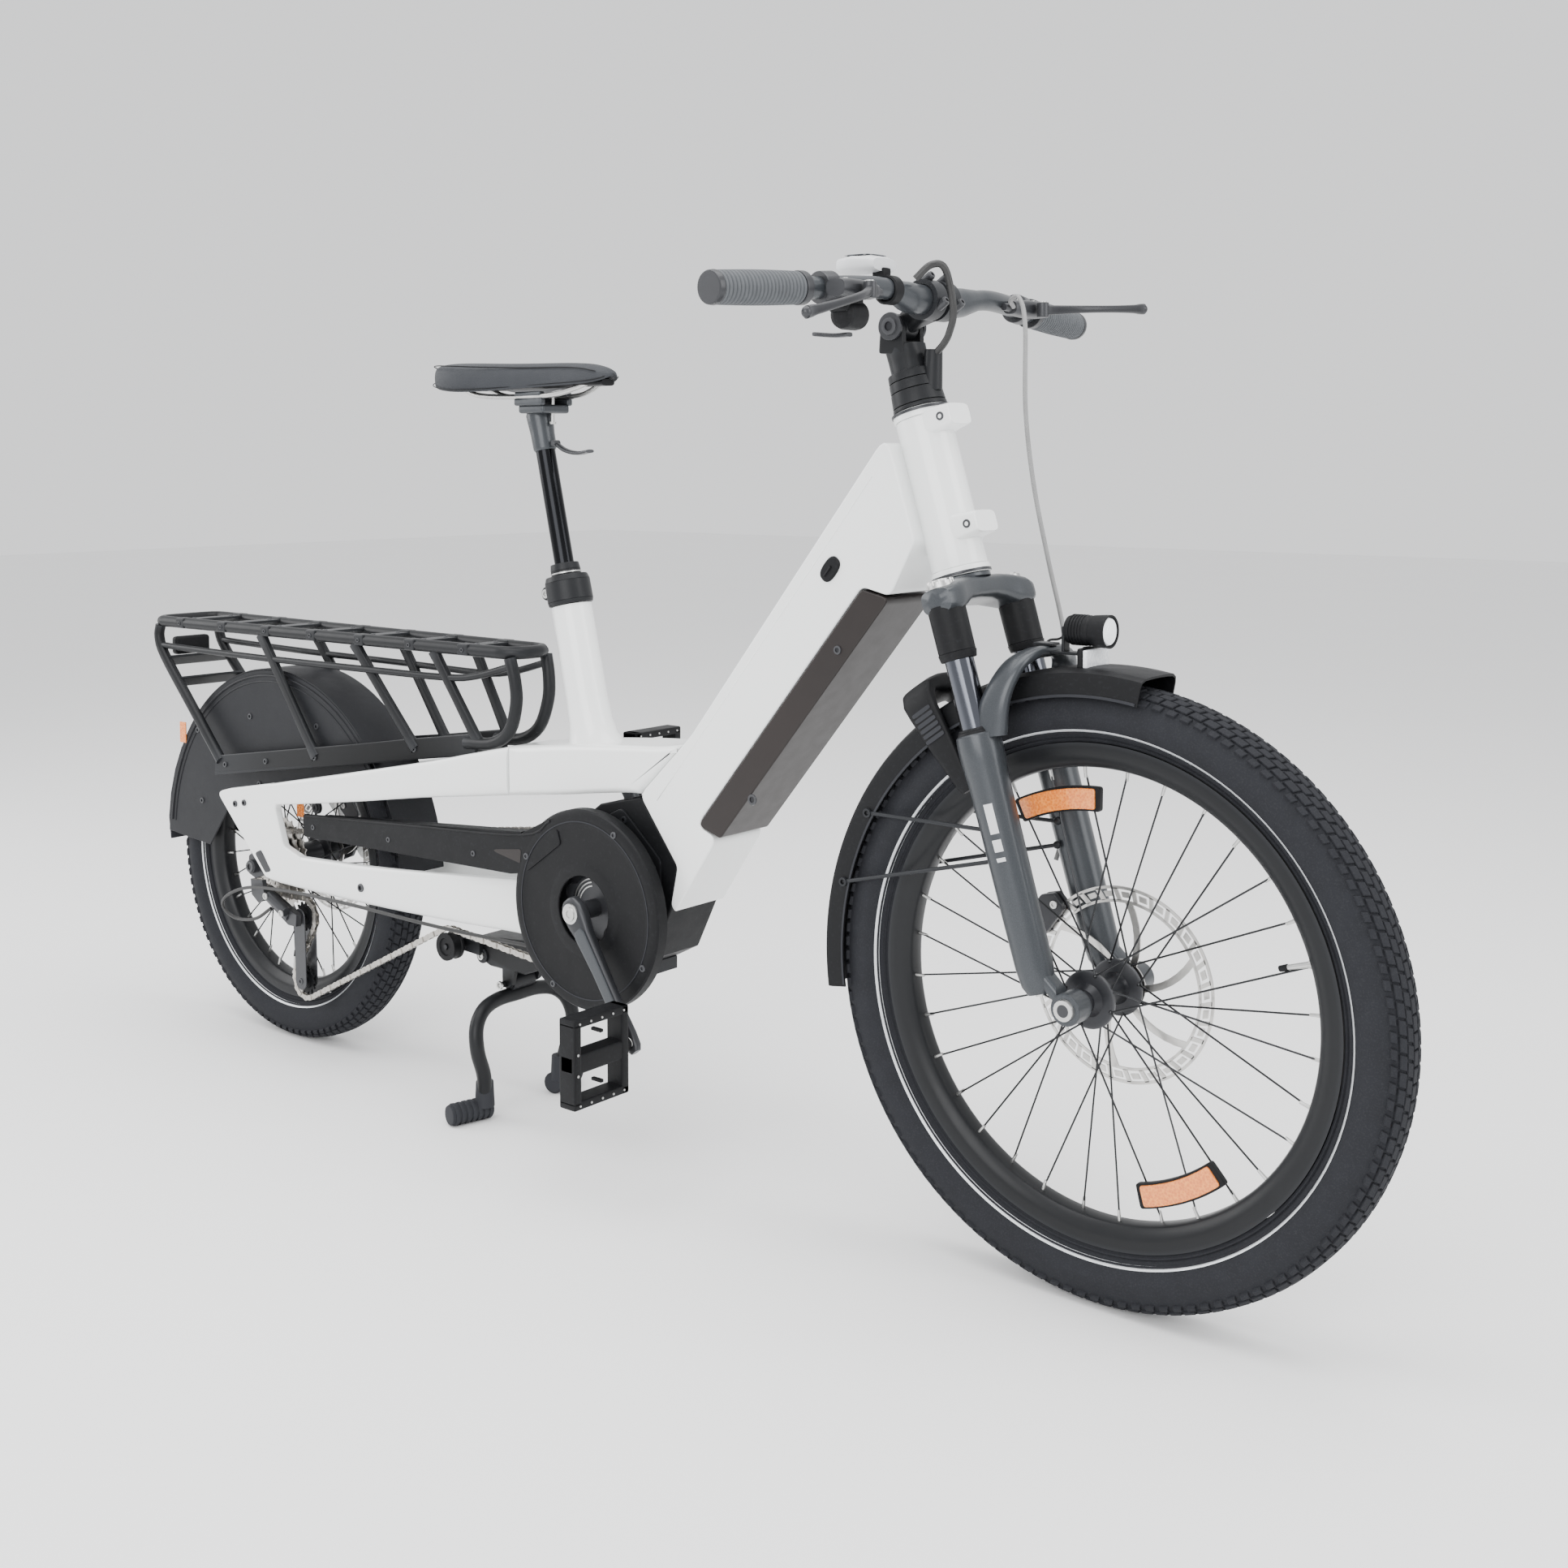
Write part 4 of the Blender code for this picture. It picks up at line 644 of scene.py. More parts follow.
    def cad(self, node, soft=0.0, segments=2, angle=25):
        """A copy of a CAD node, its triangles merged and its edges rounded."""
        made = bmesh.new()
        made.from_mesh(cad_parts[node].data)
        bmesh.ops.remove_doubles(made, verts=made.verts, dist=1e-5)
        bmesh.ops.dissolve_limit(made, angle_limit=math.radians(1.0), verts=made.verts, edges=made.edges)
        bmesh.ops.translate(made, vec=-HOME, verts=made.verts)
        if soft:
            sharp = [e for e in made.edges if e.is_manifold and e.calc_face_angle(0) > math.radians(angle)]
            bmesh.ops.bevel(
                made, geom=sharp, offset=soft, offset_type="OFFSET", segments=segments, profile=0.5,
                affect="EDGES", material=-1, clamp_overlap=True,
            )
        return self.take(made)

    def mirrored(self):
        """Adds the mirror image across the bicycle's plane."""
        copy = self.mesh.copy()
        bmesh.ops.scale(copy, vec=(1, -1, 1), verts=copy.verts)
        bmesh.ops.reverse_faces(copy, faces=copy.faces)
        return self.take(copy)

    def turned(self, centre, degrees, axis="Y"):
        turn = Matrix.Rotation(math.radians(degrees), 3, axis)
        bmesh.ops.rotate(self.mesh, cent=centre, matrix=turn, verts=self.mesh.verts)
        return self

    def done(self, name, finish, body, replaces=(), slot=None, smooth=35, levels=0):
        """The finished piece, on its body."""
        bmesh.ops.translate(self.mesh, vec=HOME, verts=self.mesh.verts)
        mesh = bpy.data.meshes.new(name)
        self.mesh.to_mesh(mesh)
        self.mesh.free()
        made = bpy.data.objects.new(name, mesh)
        bpy.context.scene.collection.objects.link(made)
        mesh.materials.append(finish.material)
        mesh.shade_smooth()
        if smooth < 180:
            mesh.set_sharp_from_angle(angle=math.radians(smooth))
            even = made.modifiers.new("even_shading", "WEIGHTED_NORMAL")
            even.keep_sharp = True
            even.weight = 100
        if levels:
            rounder = made.modifiers.new("rounder", "SUBSURF")
            rounder.levels = levels
            rounder.render_levels = levels
        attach(made, body)
        if replaces:
            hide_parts(*replaces)
        return made


def smoothed(points, per_span=6):
    """Points of a smooth curve through a short list of points."""
    points = [Vector(p) for p in points]
    ends = [2 * points[0] - points[1], *points, 2 * points[-1] - points[-2]]
    found = []
    for a, b, c, d in zip(ends, ends[1:], ends[2:], ends[3:]):
        for i in range(per_span):
            t = i / per_span
            found.append(0.5 * (2 * b + (c - a) * t + (2 * a - 5 * b + 4 * c - d) * t**2
                                + (3 * b - a - 3 * c + d) * t**3))
    return [*found, points[-1]]


def arc(centre, radius, start, end, steps):
    found = []
    for i in range(steps + 1):
        point = polar(centre, radius, start + (end - start) * i / steps)
        found.append((point.x, point.z))
    return found


def oval(centre, across, upwards, half_width, half_height, sides=24, square=2.0):
    """Points of an ellipse, or with a higher power of a rounded rectangle."""
    centre, across, upwards = Vector(centre), Vector(across), Vector(upwards)
    found = []
    for k in range(sides):
        a = math.tau * k / sides
        c, s = math.cos(a), math.sin(a)
        found.append(centre + across * (half_width * math.copysign(abs(c) ** (2 / square), c))
                     + upwards * (half_height * math.copysign(abs(s) ** (2 / square), s)))
    return found


def flip(point):
    return Vector((point[0], -point[1], point[2]))


def rounded(outline, radius, steps=5):
    """An outline of (x, z) with its corners rounded."""
    found = []
    count = len(outline)
    for i, (x, z) in enumerate(outline):
        here = Vector((x, z))
        before = Vector(outline[i - 1]) - here
        after = Vector(outline[(i + 1) % count]) - here
        angle = before.angle(after)
        reach = min(radius / math.tan(angle / 2), before.length * 0.45, after.length * 0.45)
        a, b = here + before.normalized() * reach, here + after.normalized() * reach
        for k in range(steps + 1):
            t = k / steps
            point = a * (1 - t) ** 2 + here * (2 * t * (1 - t)) + b * t**2
            found.append((point.x, point.y))
    return found

# ---- frame ----------------------------------------------------------------------------------
FRAME_HALF = 0.043


def draw_down_tube():
    """Broad box tube, cut away below for the battery, with the head tube and two carrier lugs."""
    outline = [(1.093, 0.873), (0.8165, 0.5285), (0.8032, 0.5150), (0.7335, 0.4480), (0.7935, 0.3700),
               (0.7830, 0.3230), (0.7900, 0.3150), (0.8560, 0.4120), (0.8240, 0.4225), (1.0612, 0.7105),
               (1.0990, 0.7020), (1.1300, 0.7600)]
    tube = Shape().plate(rounded(outline, 0.012, 5), -FRAME_HALF, FRAME_HALF, 0.0022, 3)
    tube.done("down_tube_shell", WHITE, "frame", ["down_tube"], "white_paint", smooth=40)

    head = Shape()
    for low, high, radius in ((0.0008, 0.010, 0.0318), (0.010, 0.174, 0.0300), (0.174, 0.1838, 0.0312)):
        head.rod(on_fork(low, 0), on_fork(high, 0), radius, radius * 0.985, 48, 0.0012)
    for along in (0.166, 0.050):
        rings = [oval(on_fork(along, fore), ACROSS, UP, wide, tall, 28, 5)
                 for fore, wide, tall in ((0.012, 0.026, 0.018), (0.030, 0.021, 0.0135), (0.0445, 0.0200, 0.0120),
                                          (0.0460, 0.0190, 0.0110))]
        head.loft(rings)
    head.done("head_tube", WHITE, "frame", slot="white_paint")

    crease = Shape()
    for side in (-1, 1):
        y = side * (FRAME_HALF - 0.0004)
        crease.tube([(0.762, y, 0.4450), (0.800, y, 0.4905), (1.075, y, 0.8280)], 0.0008, 12)
    crease.done("down_tube_crease", WHITE, "frame", slot="white_paint", smooth=180)

    trim = Shape()
    for along in (0.166, 0.050):
        for side in (-1, 1):
            trim.bolt(on_fork(along, 0.0345, side * 0.0198), ACROSS * side, 0.0048, 0.0014)
    for along in (0.003, 0.1815):
        trim.rod(on_fork(along - 0.0016, 0), on_fork(along + 0.0016, 0), 0.0321, None, 48, 0.0006)
    trim.done("head_tube_trim", ALLOY, "frame", slot="black_alloy")

    flap = Shape()
    at = Vector((1.020, -FRAME_HALF - 0.0006, 0.728))
    flap.loft([oval(at + ACROSS * shift, TUBE_UP, TUBE_OUT, 0.0155 * size, 0.0095 * size, 24, 2.6)
               for shift, size in ((0.001, 1.0), (-0.0008, 1.0), (-0.0022, 0.86))])
    flap.tube([at + TUBE_UP * -0.010 + ACROSS * -0.0024, at + TUBE_UP * 0.004 + ACROSS * -0.0026], 0.0013, 8)
    flap.done("key_flap", MOULDED, "frame", slot="black_plastic")


def draw_battery():
    outline = [(1.0605, 0.7078), (1.0975, 0.6995), (0.8600, 0.4122), (0.8262, 0.4236)]
    cover = Shape().plate(rounded(outline, 0.006, 4), -FRAME_HALF + 0.0004, FRAME_HALF - 0.0004, 0.0018, 3)
    cover.done("battery_cover", BATTERY, "battery_pack", ["battery"], "cover", smooth=40)
    latch = Shape()
    for along, size in ((0.80, 0.0065), (0.20, 0.0050)):
        at = Vector((1.0605, -FRAME_HALF + 0.0002, 0.7078)).lerp(Vector((0.8600, -FRAME_HALF + 0.0002, 0.4122)), along)
        at += TUBE_OUT * 0.012
        latch.bolt(at, (0, -1, 0), size, 0.0012)
    latch.done("battery_latches", ALLOY, "battery_pack", slot="black_alloy")


def draw_seat_beam():
    """Low swooping beam with the seat tube standing on it."""
    top = smoothed([(0.8025, 0, 0.5150), (0.7600, 0, 0.5085), (0.6890, 0, 0.5030), (0.5900, 0, 0.4935),
                    (0.5000, 0, 0.4820)], 4)
    low = smoothed([(0.5000, 0, 0.4190), (0.6000, 0, 0.4315), (0.6930, 0, 0.4450), (0.7320, 0, 0.4485)], 4)
    outline = [(p.x, p.z) for p in [*top, *low]]
    beam = Shape().plate(outline, -FRAME_HALF, FRAME_HALF, 0.0085, 4)
    beam.done("beam_shell", WHITE, "frame", ["seat_beam"], "white_paint", smooth=40)
    post = Shape()
    rings = []
    for along, wide, deep in ((0.000, 0.0345, 0.046), (0.018, 0.0290, 0.034), (0.038, 0.0268, 0.0285),
                              (0.070, 0.0260, 0.0262), (0.150, 0.0255, 0.0255), (0.1845, 0.0252, 0.0252)):
        rings.append(oval(on_post(along), SEAT_AHEAD, ACROSS, deep, wide, 40))
    post.loft(rings)
    post.done("seat_tube", WHITE, "frame", slot="white_paint")


def draw_stays():
    """Upper and lower stay of each side, meeting in a slanting end plate."""
    for side, hand in ((-1, "right"), (1, "left")):
        made = Shape()
        upper = smoothed([(0.4995, 0.0300, 0.4503), (0.4300, 0.0455, 0.4385), (0.3600, 0.0580, 0.4265),
                          (0.2200, 0.0800, 0.4025), (0.0750, 0.0835, 0.3780), (-0.0300, 0.0835, 0.3600)], 4)
        rings = []
        for i, p in enumerate(upper):
            share = i / (len(upper) - 1)
            tall = 0.0315 - 0.0195 * share
            wide = 0.0125 - 0.0060 * min(1, share * 1.25)
            rings.append(oval((p.x, side * p.y, p.z), ACROSS, (0, 0, 1), wide, tall, 28, 4.5))
        made.loft(rings)
        lower = smoothed([(0.5720, 0.0400, 0.2835), (0.5200, 0.0450, 0.2825), (0.4000, 0.0650, 0.2790),
                          (0.2640, 0.0800, 0.2760), (0.0800, 0.0835, 0.2720), (0.0400, 0.0835, 0.2730)], 4)
        rings = []
        for i, p in enumerate(lower):
            share = i / (len(lower) - 1)
            tall = 0.0395 - 0.0230 * share
            wide = 0.0090 - 0.0025 * share
            rings.append(oval((p.x, side * p.y, p.z), ACROSS, (0, 0, 1), wide, tall, 28, 4.5))
        made.loft(rings)
        end = [(-0.0745, 0.3640), (-0.040, 0.3728), (0.055, 0.3903), (0.085, 0.3870), (0.068, 0.3560),
               (0.086, 0.3060), (0.130, 0.2935), (0.120, 0.2570), (0.085, 0.2545), (0.043, 0.2540)]
        low, high = sorted((side * 0.0772, side * 0.0898))
        made.plate(rounded(end, 0.008, 4), low, high, 0.0030, 3)
        made.done(f"stays_{hand}", WHITE, "frame", [f"rear_stays_{hand}"], "white_paint", smooth=40)

        bits = Shape()
        facing = Vector((0, side, 0))
        for x, z, size in ((-0.026, 0.352, 0.0048), (-0.004, 0.356, 0.0048), (0.258, 0.2720, 0.0060)):
            bits.bolt((x, side * 0.0896 if x < 0.1 else side * 0.0872, z), facing, size, 0.0022)
        bits.plate(rounded([(0.020, 0.2870), (0.045, 0.2620), (0.060, 0.2660), (0.034, 0.2930)], 0.004),
                   *sorted((side * 0.0885, side * 0.0912)), 0.0008)
        bits.done(f"stay_bolts_{hand}", ALLOY, "frame", slot="black_alloy")

        hanger = Shape().plate(
            rounded([(-0.018, 0.250), (0.000, 0.2442), (0.030, 0.256), (0.058, 0.300), (0.045, 0.320), (0.000, 0.285),
                     (-0.016, 0.276)], 0.004), *sorted((side * 0.0708, side * 0.0764)), 0.0010)
        hanger.crosswise(REAR, *sorted((side * 0.0700, side * 0.0850)), 0.0100, 32, 0.0015)
        hanger.bolt((REAR.x, side * 0.0850, REAR.z), facing, 0.0085, 0.0020)
        if side < 0:
            hanger.crosswise(REAR, -0.070, 0.070, 0.0060, 24)
            hanger.done("dropout_right", ALLOY, "frame", ["rear_axle"], "black_alloy")
        else:
            hanger.done("dropout_left", ALLOY, "frame", slot="black_alloy")


def draw_motor():
    made = Shape().cad("motor", 0.0016, 2, 30)
    made.done("motor_shell", MOULDED, "frame", ["motor"], "black_plastic", smooth=40)
    plates = Shape()
    for low, high in ((-0.0392, -0.0360), (0.0495, 0.0525)):
        outline = [(0.628, 0.335), (0.640, 0.398), (0.700, 0.428), (0.764, 0.372), (0.762, 0.320), (0.728, 0.258),
                   (0.690, 0.242), (0.645, 0.250)]
        plates.plate(rounded(outline, 0.010), low, high, 0.0010)
        for x, z in ((0.644, 0.386), (0.704, 0.414), (0.752, 0.362), (0.722, 0.268), (0.648, 0.262)):
            plates.bolt((x, low if low < 0 else high, z), (0, -1 if low < 0 else 1, 0), 0.0045, 0.0018)
    for k in range(6):
        x = 0.6500 + 0.012 * k
        plates.block((x, -0.030, 0.2170), (x + 0.004, 0.044, 0.2330), 0.0010)
    plates.done("motor_plates", BLACK, "frame", slot="black_paint")


# ---- rack -----------------------------------------------------------------------------------
RACK_TOP = 0.600
DECK_REAR, DECK_FRONT = -0.2800, 0.5050


def rack_half(x):
    return 0.0516 - 0.020 * (x - DECK_REAR) / (DECK_FRONT - DECK_REAR)


def draw_rack():
    """Closed top rail, flat brackets with box clips, and a hanging loop on each side."""
    deck = Shape()
    corner = 0.020
    half = [(DECK_REAR, 0.0), (DECK_REAR, rack_half(DECK_REAR) - corner)]
    half += [(DECK_REAR + corner * (1 - math.cos(math.radians(a))),
              rack_half(DECK_REAR) - corner * (1 - math.sin(math.radians(a)))) for a in (30, 60, 90)]
    half += [(x, rack_half(x)) for x in (-0.1, 0.1, 0.3, 0.475)]
    half += [(0.4750 + 0.030 * math.sin(math.radians(a)), rack_half(0.48) - 0.024 * (1 - math.cos(math.radians(a))))
             for a in (30, 60, 90)]
    loop = [(x, y, RACK_TOP) for x, y in half] + [(x, -y, RACK_TOP) for x, y in reversed(half[1:])]
    deck.tube(loop, 0.0084, 16, closed=True)
    for i in range(7):
        x = -0.211 + 0.1045 * i
        wide = rack_half(x)
        deck.block((x - 0.012, -wide, RACK_TOP + 0.0012), (x + 0.012, wide, RACK_TOP + 0.0058), 0.0012)
        for side in (-1, 1):
            low = Vector((x - 0.0105, side * wide - 0.0085, RACK_TOP - 0.0075))
            deck.block(low, low + Vector((0.021, 0.017, 0.0155)), 0.0022)
    deck.done("rack_deck_rails", BLACK, "frame", ["rack_deck"], "black_paint")
    screws = Shape()
    for i in range(7):
        x = -0.211 + 0.1045 * i
        for side in (-1, 1):
            screws.bolt((x, side * (rack_half(x) - 0.018), RACK_TOP + 0.0056), (0, 0, 1), 0.0032, 0.0014)
            screws.bolt((x, side * (rack_half(x) + 0.0082), RACK_TOP), (0, side, 0), 0.0030, 0.0014)
    screws.done("rack_screws", ALLOY, "frame", slot="black_alloy")

    for side, hand in ((-1, "right"), (1, "left")):

        def at(x, z, extra=0.0):
            spread = 0.012 * (RACK_TOP - z) / 0.2 if x < 0.3 else -0.006 * (RACK_TOP - z) / 0.1
            return Vector((x, side * (rack_half(x) + spread + extra), z))

        def low_line(x):
            return 0.3930 + (x + 0.10) * 0.150

        made = Shape()
        under = RACK_TOP - 0.006
        made.tube(smoothed([at(-0.272, under), at(-0.274, 0.575), at(-0.256, 0.546), at(-0.180, 0.473),
                            at(-0.106, 0.402)], 4), 0.0078, 14)
        rings = []
        for x in (-0.118, 0.0, 0.10, 0.20, 0.30, 0.380, 0.424):
            rings.append(oval(at(x, low_line(x) + 0.004), ACROSS, (0, 0, 1), 0.0024, 0.0145, 20, 8))
        made.loft(rings)
        rings = []
        for x in (-0.118, 0.10, 0.30, 0.424):
            rings.append(oval(at(x, low_line(x) - 0.0082, -0.0045), ACROSS, (0, 0, 1), 0.0068, 0.0020, 20, 8))
        made.loft(rings)
        made.tube(smoothed([at(0.405, 0.4760), at(0.455, 0.4800), at(0.488, 0.4990), at(0.503, 0.5350),
                            at(0.503, 0.5650), at(0.496, under)], 4), 0.0082, 14)
        for top_x, low_x in ((-0.020, 0.115), (0.190, 0.304), (0.352, 0.430)):
            foot = at(low_x, low_line(low_x) + 0.004)
            top = at(top_x, under)
            square = (top - foot).cross(ACROSS).normalized()
            made.loft([oval(foot.lerp(top, t), ACROSS, square, 0.0052, wide, 16, 3)
                       for t, wide in ((0, 0.0095), (0.12, 0.0078), (0.5, 0.0070), (0.88, 0.0078), (1, 0.0095))])
        made.tube(smoothed([at(-0.268, 0.5635), at(-0.200, 0.562), at(-0.018, 0.560), at(0.200, 0.560),
                            at(0.369, 0.560), at(0.430, 0.5660), at(0.496, 0.583)], 4), 0.0047, 12)
        made.done(f"rack_loop_{hand}", BLACK, "frame", [f"rack_side_{hand}"], "black_paint")
        bolts = Shape()
        for x in (-0.092, 0.004, 0.115, 0.304, 0.408):
            bolts.bolt(at(x, low_line(x) + 0.004, 0.0024), (0, side, 0), 0.0042, 0.0020)
        bolts.done(f"rack_bolts_{hand}", ALLOY, "frame", slot="black_alloy")

    rear = Shape()
    for x, z in ((-0.252, 0.5400), (-0.222, 0.5100)):
        wide = rack_half(x) + 0.004
        rear.loft([oval((x, y, z), (0.707, 0, -0.707), (0.707, 0, 0.707), 0.0022, 0.0105, 16, 6)
                   for y in (-wide, -wide * 0.5, 0, wide * 0.5, wide)])
    for z in (0.556, 0.541):
        rear.block((-0.2715, -0.020, z - 0.0012), (-0.2660, 0.020, z + 0.0012), 0.0006)
    rear.done("rack_tail", BLACK, "frame", slot="black_paint")
    lamp = Shape()
    lamp.block((-0.2790, -0.030, 0.546), (-0.2640, 0.030, 0.574), 0.0050, 3)
    lamp.done("tail_lamp_body", MOULDED, "frame", slot="black_plastic")
    Shape().block((-0.2820, -0.026, 0.5490), (-0.2770, 0.026, 0.5710), 0.0030, 3).done(
        "tail_lamp_lens", RED, "frame", slot="black_plastic")


def draw_rear_guards():
    """Half discs beside the rear wheel, the band over the tread, and the mud flap."""
    for side, hand in ((-1, "right"), (1, "left")):
        made = Shape()
        low, high = sorted((side * 0.0366, side * 0.0392))
        outline = arc(REAR, 0.2790, 38, 178, 48)
        outline += [(-0.170, 0.2645), (-0.110, 0.3400), (-0.020, 0.3560), (0.200, 0.3900)]
        made.plate(outline, low, high, 0.0006, 1)
        path = [polar(REAR, 0.2715, a, side * 0.0394) for a in range(30, 178, 4)]
        made.tube(path, 0.0018, 10)
        path = [polar(REAR, 0.2630, a, side * 0.0392) for a in range(30, 177, 4)]
        made.tube(path, 0.0011, 8)
        if side < 0:
            made.ring([(0.2812, 0.0372), (0.2812, -0.0384), (0.2794, -0.0384), (0.2794, 0.0372)], REAR, 60, 174, 4)
        made.done(f"rear_guard_{hand}", GUARD_BLUE, "frame", [f"wheel_guard_{hand}"], "black_plastic")
        bolts = Shape()
        for x, z in ((-0.196, 0.437), (-0.188, 0.330), (-0.040, 0.372), (-0.060, 0.470), (0.100, 0.470)):
            bolts.bolt((x, side * 0.0390, z), (0, side, 0), 0.0045, 0.0018)
        bolts.done(f"guard_bolts_{hand}", ALLOY, "frame", slot="black_alloy")
    flap = Shape()
    rings = []
    for degrees, half in ((150, 0.036), (158, 0.037), (166, 0.0375), (174, 0.0375), (181, 0.034)):
        at = polar(REAR, 0.2845, degrees)
        out = (at - Vector((REAR.x, 0, REAR.z))).normalized()
        rings.append(oval(at, ACROSS, out, half, 0.0014, 20, 10))
    flap.loft(rings)
    flap.done("mud_flap", FLAP_GREY, "frame", slot="black_plastic")


# ---- drive ----------------------------------------------------------------------------------


def belt(wheels, offset):
    """Points along a belt round wheels of (centre, radius, side)."""
    normals = []
    for (one, r1, s1), (two, r2, s2) in zip(wheels, [*wheels[1:], wheels[0]]):
        ahead = math.atan2(two.z - one.z, two.x - one.x)
        apart = math.hypot(two.x - one.x, two.z - one.z)
        normals.append(ahead - math.acos((s1 * r1 - s2 * r2) / apart))
    points = []
    for i, (centre, radius, side) in enumerate(wheels):
        turn = (normals[i] - normals[i - 1]) % math.tau
        if side < 0:
            turn -= math.tau
        steps = max(6, round(abs(turn) / 0.04))
        for k in range(steps + 1):
            angle = normals[i - 1] + turn * k / steps
            reach = side * radius + offset
            points.append(Vector((centre.x + reach * math.cos(angle), 0, centre.z + reach * math.sin(angle))))
    return points


CHAIN_PATH = [(CRANK, RING_R + 0.005, 1), (REAR, SPROCKET_R + 0.005, 1), (GUIDE, GUIDE_R + 0.005, -1),
              (TENSION, GUIDE_R + 0.005, 1), (ROLLER, ROLLER_R + 0.005, -1)]


def draw_chain():
    """Roller chain: plates in pairs, every other pair outside, on pins half an inch apart."""
    line = belt(CHAIN_PATH, 0.0)
    line.append(line[0])
    lengths = [0.0]
    for a, b in zip(line, line[1:]):
        lengths.append(lengths[-1] + (b - a).length)
    links = 2 * round(lengths[-1] / 0.0254)
    pins = []
    span = 0
    for k in range(links):
        want = lengths[-1] * k / links
        while lengths[span + 1] < want:
            span += 1
        part = (want - lengths[span]) / (lengths[span + 1] - lengths[span])
        pins.append(line[span].lerp(line[span + 1], part))
    made = Shape()
    for k, pin in enumerate(pins):
        after = pins[(k + 1) % links]
        ahead = (after - pin).normalized()
        square = Vector((-ahead.z, 0, ahead.x))
        outer = k % 2
        gap = 0.0030 if outer else 0.0020
        for side in (-1, 1):
            y = CHAIN_Y + side * gap
            outline = []
            for t, wide in ((-0.36, 0.0018), (-0.24, 0.0035), (0.12, 0.0038), (0.5, 0.0029), (0.88, 0.0038),
                            (1.24, 0.0035), (1.36, 0.0018)):
                outline.append(pin.lerp(after, t * 0.78 + 0.11) + square * wide)
            back = [p - square * (2 * (p - pin).dot(square)) for p in reversed(outline)]
            made.plate([(p.x, p.z) for p in [*outline, *back]], y - 0.0005, y + 0.0005)
        made.crosswise(pin, CHAIN_Y - 0.0038, CHAIN_Y + 0.0038, 0.0018, 8)
    made.done("chain_links", CHAIN_STEEL, "frame", ["chain"], "steel", smooth=50)


def toothed(centre, teeth, root, tip, low, high, phase=0.0):
    """A sprocket's outline with rounded-off teeth."""
    outline = []
    for k in range(teeth):
        for share, radius in ((-0.30, root), (-0.16, (root + tip) / 2), (-0.07, tip), (0.07, tip),
                              (0.16, (root + tip) / 2), (0.30, root)):
            angle = math.degrees(math.tau * (k + share) / teeth) + phase
            point = polar(centre, radius, angle)
            outline.append((point.x, point.z))
    return Shape().plate(outline, low, high, 0.0004, 1).mesh


def draw_crankset():
    ring = Shape()
    ring.take(toothed(CRANK, 44, RING_R - 0.0035, RING_R + 0.0005, CHAIN_Y - 0.0014, CHAIN_Y + 0.0014))
    ring.crosswise(CRANK, -0.0800, 0.0800, 0.0110, 40, 0.0010)
    for k in range(5):
        at = polar(CRANK, 0.040, 72 * k + 20)
        ring.rod((at.x, CHAIN_Y - 0.006, at.z), (at.x, CHAIN_Y, at.z), 0.0120, 0.0140, 24, 0.0012)
    ring.crosswise(CRANK, CHAIN_Y - 0.0060, CHAIN_Y + 0.0030, 0.0400, 56, 0.0015)
    ring.done("chainring_toothed", ALLOY, "cranks", ["chainring"], "black_alloy")
    marks = Shape()
    for k in range(3):
        marks.ring([(0.0360 - 0.0045 * k, CHAIN_Y - 0.0060), (0.0360 - 0.0045 * k, CHAIN_Y - 0.0066),
                    (0.0345 - 0.0045 * k, CHAIN_Y - 0.0066), (0.0345 - 0.0045 * k, CHAIN_Y - 0.0060)],
                   CRANK, 30, 110, 100)
    marks.done("chainring_arcs", STEEL, "cranks", slot="black_alloy")

    for side, hand, turn in ((-1, "right", 0.0), (1, "left", math.pi)):
        angle = CRANK_ANGLE + turn
        along = Vector((math.cos(angle), 0, math.sin(angle)))
        square = Vector((-along.z, 0, along.x))
        eye = CRANK + ACROSS * side * 0.0865
        tip = CRANK + along * CRANK_LENGTH + ACROSS * side * 0.1010
        arm, face = Shape(), Shape()
        rings = []
        for part, wide, deep in ((-0.105, 0.008, 0.0070), (-0.085, 0.0130, 0.0080), (-0.02, 0.0175, 0.0088),
                                 (0.06, 0.0172, 0.0088), (0.18, 0.0130, 0.0080), (0.45, 0.0110, 0.0066),
                                 (0.80, 0.0100, 0.0060), (0.95, 0.0108, 0.0062), (1.04, 0.0096, 0.0060),
                                 (1.075, 0.0060, 0.0050)):
            rings.append(oval(eye.lerp(tip, part), ACROSS, square, deep, wide, 28, 3.2))
        arm.loft(rings)
        arm.done(f"crank_arm_{hand}", ALLOY, "cranks", [f"crank_{hand}"], "graphite")
        rings = []
        for part, wide in ((0.13, 0.0060), (0.17, 0.0095), (0.45, 0.0078), (0.82, 0.0072), (0.90, 0.0040)):
            lift = 0.0080 if part < 0.2 else 0.0064
            rings.append(oval(eye.lerp(tip, part) + ACROSS * side * lift, ACROSS, square, 0.0012, wide, 20, 4))
        face.loft(rings)
        face.done(f"crank_face_{hand}", GRAPHITE, "cranks", slot="graphite")
        caps = Shape()
        caps.crosswise(CRANK, *sorted((side * 0.0930, side * 0.0965)), 0.0125, 32, 0.0010)
        caps.bolt((CRANK.x, side * 0.0962, CRANK.z), (0, side, 0), 0.0090, 0.0018)
        caps.bolt(eye.lerp(tip, 1.0) + ACROSS * side * 0.0060, (0, side, 0), 0.0070, 0.0012)
        caps.done(f"crank_caps_{hand}", STEEL, "cranks", slot="graphite")
        draw_pedal(side, hand, CRANK + along * CRANK_LENGTH)


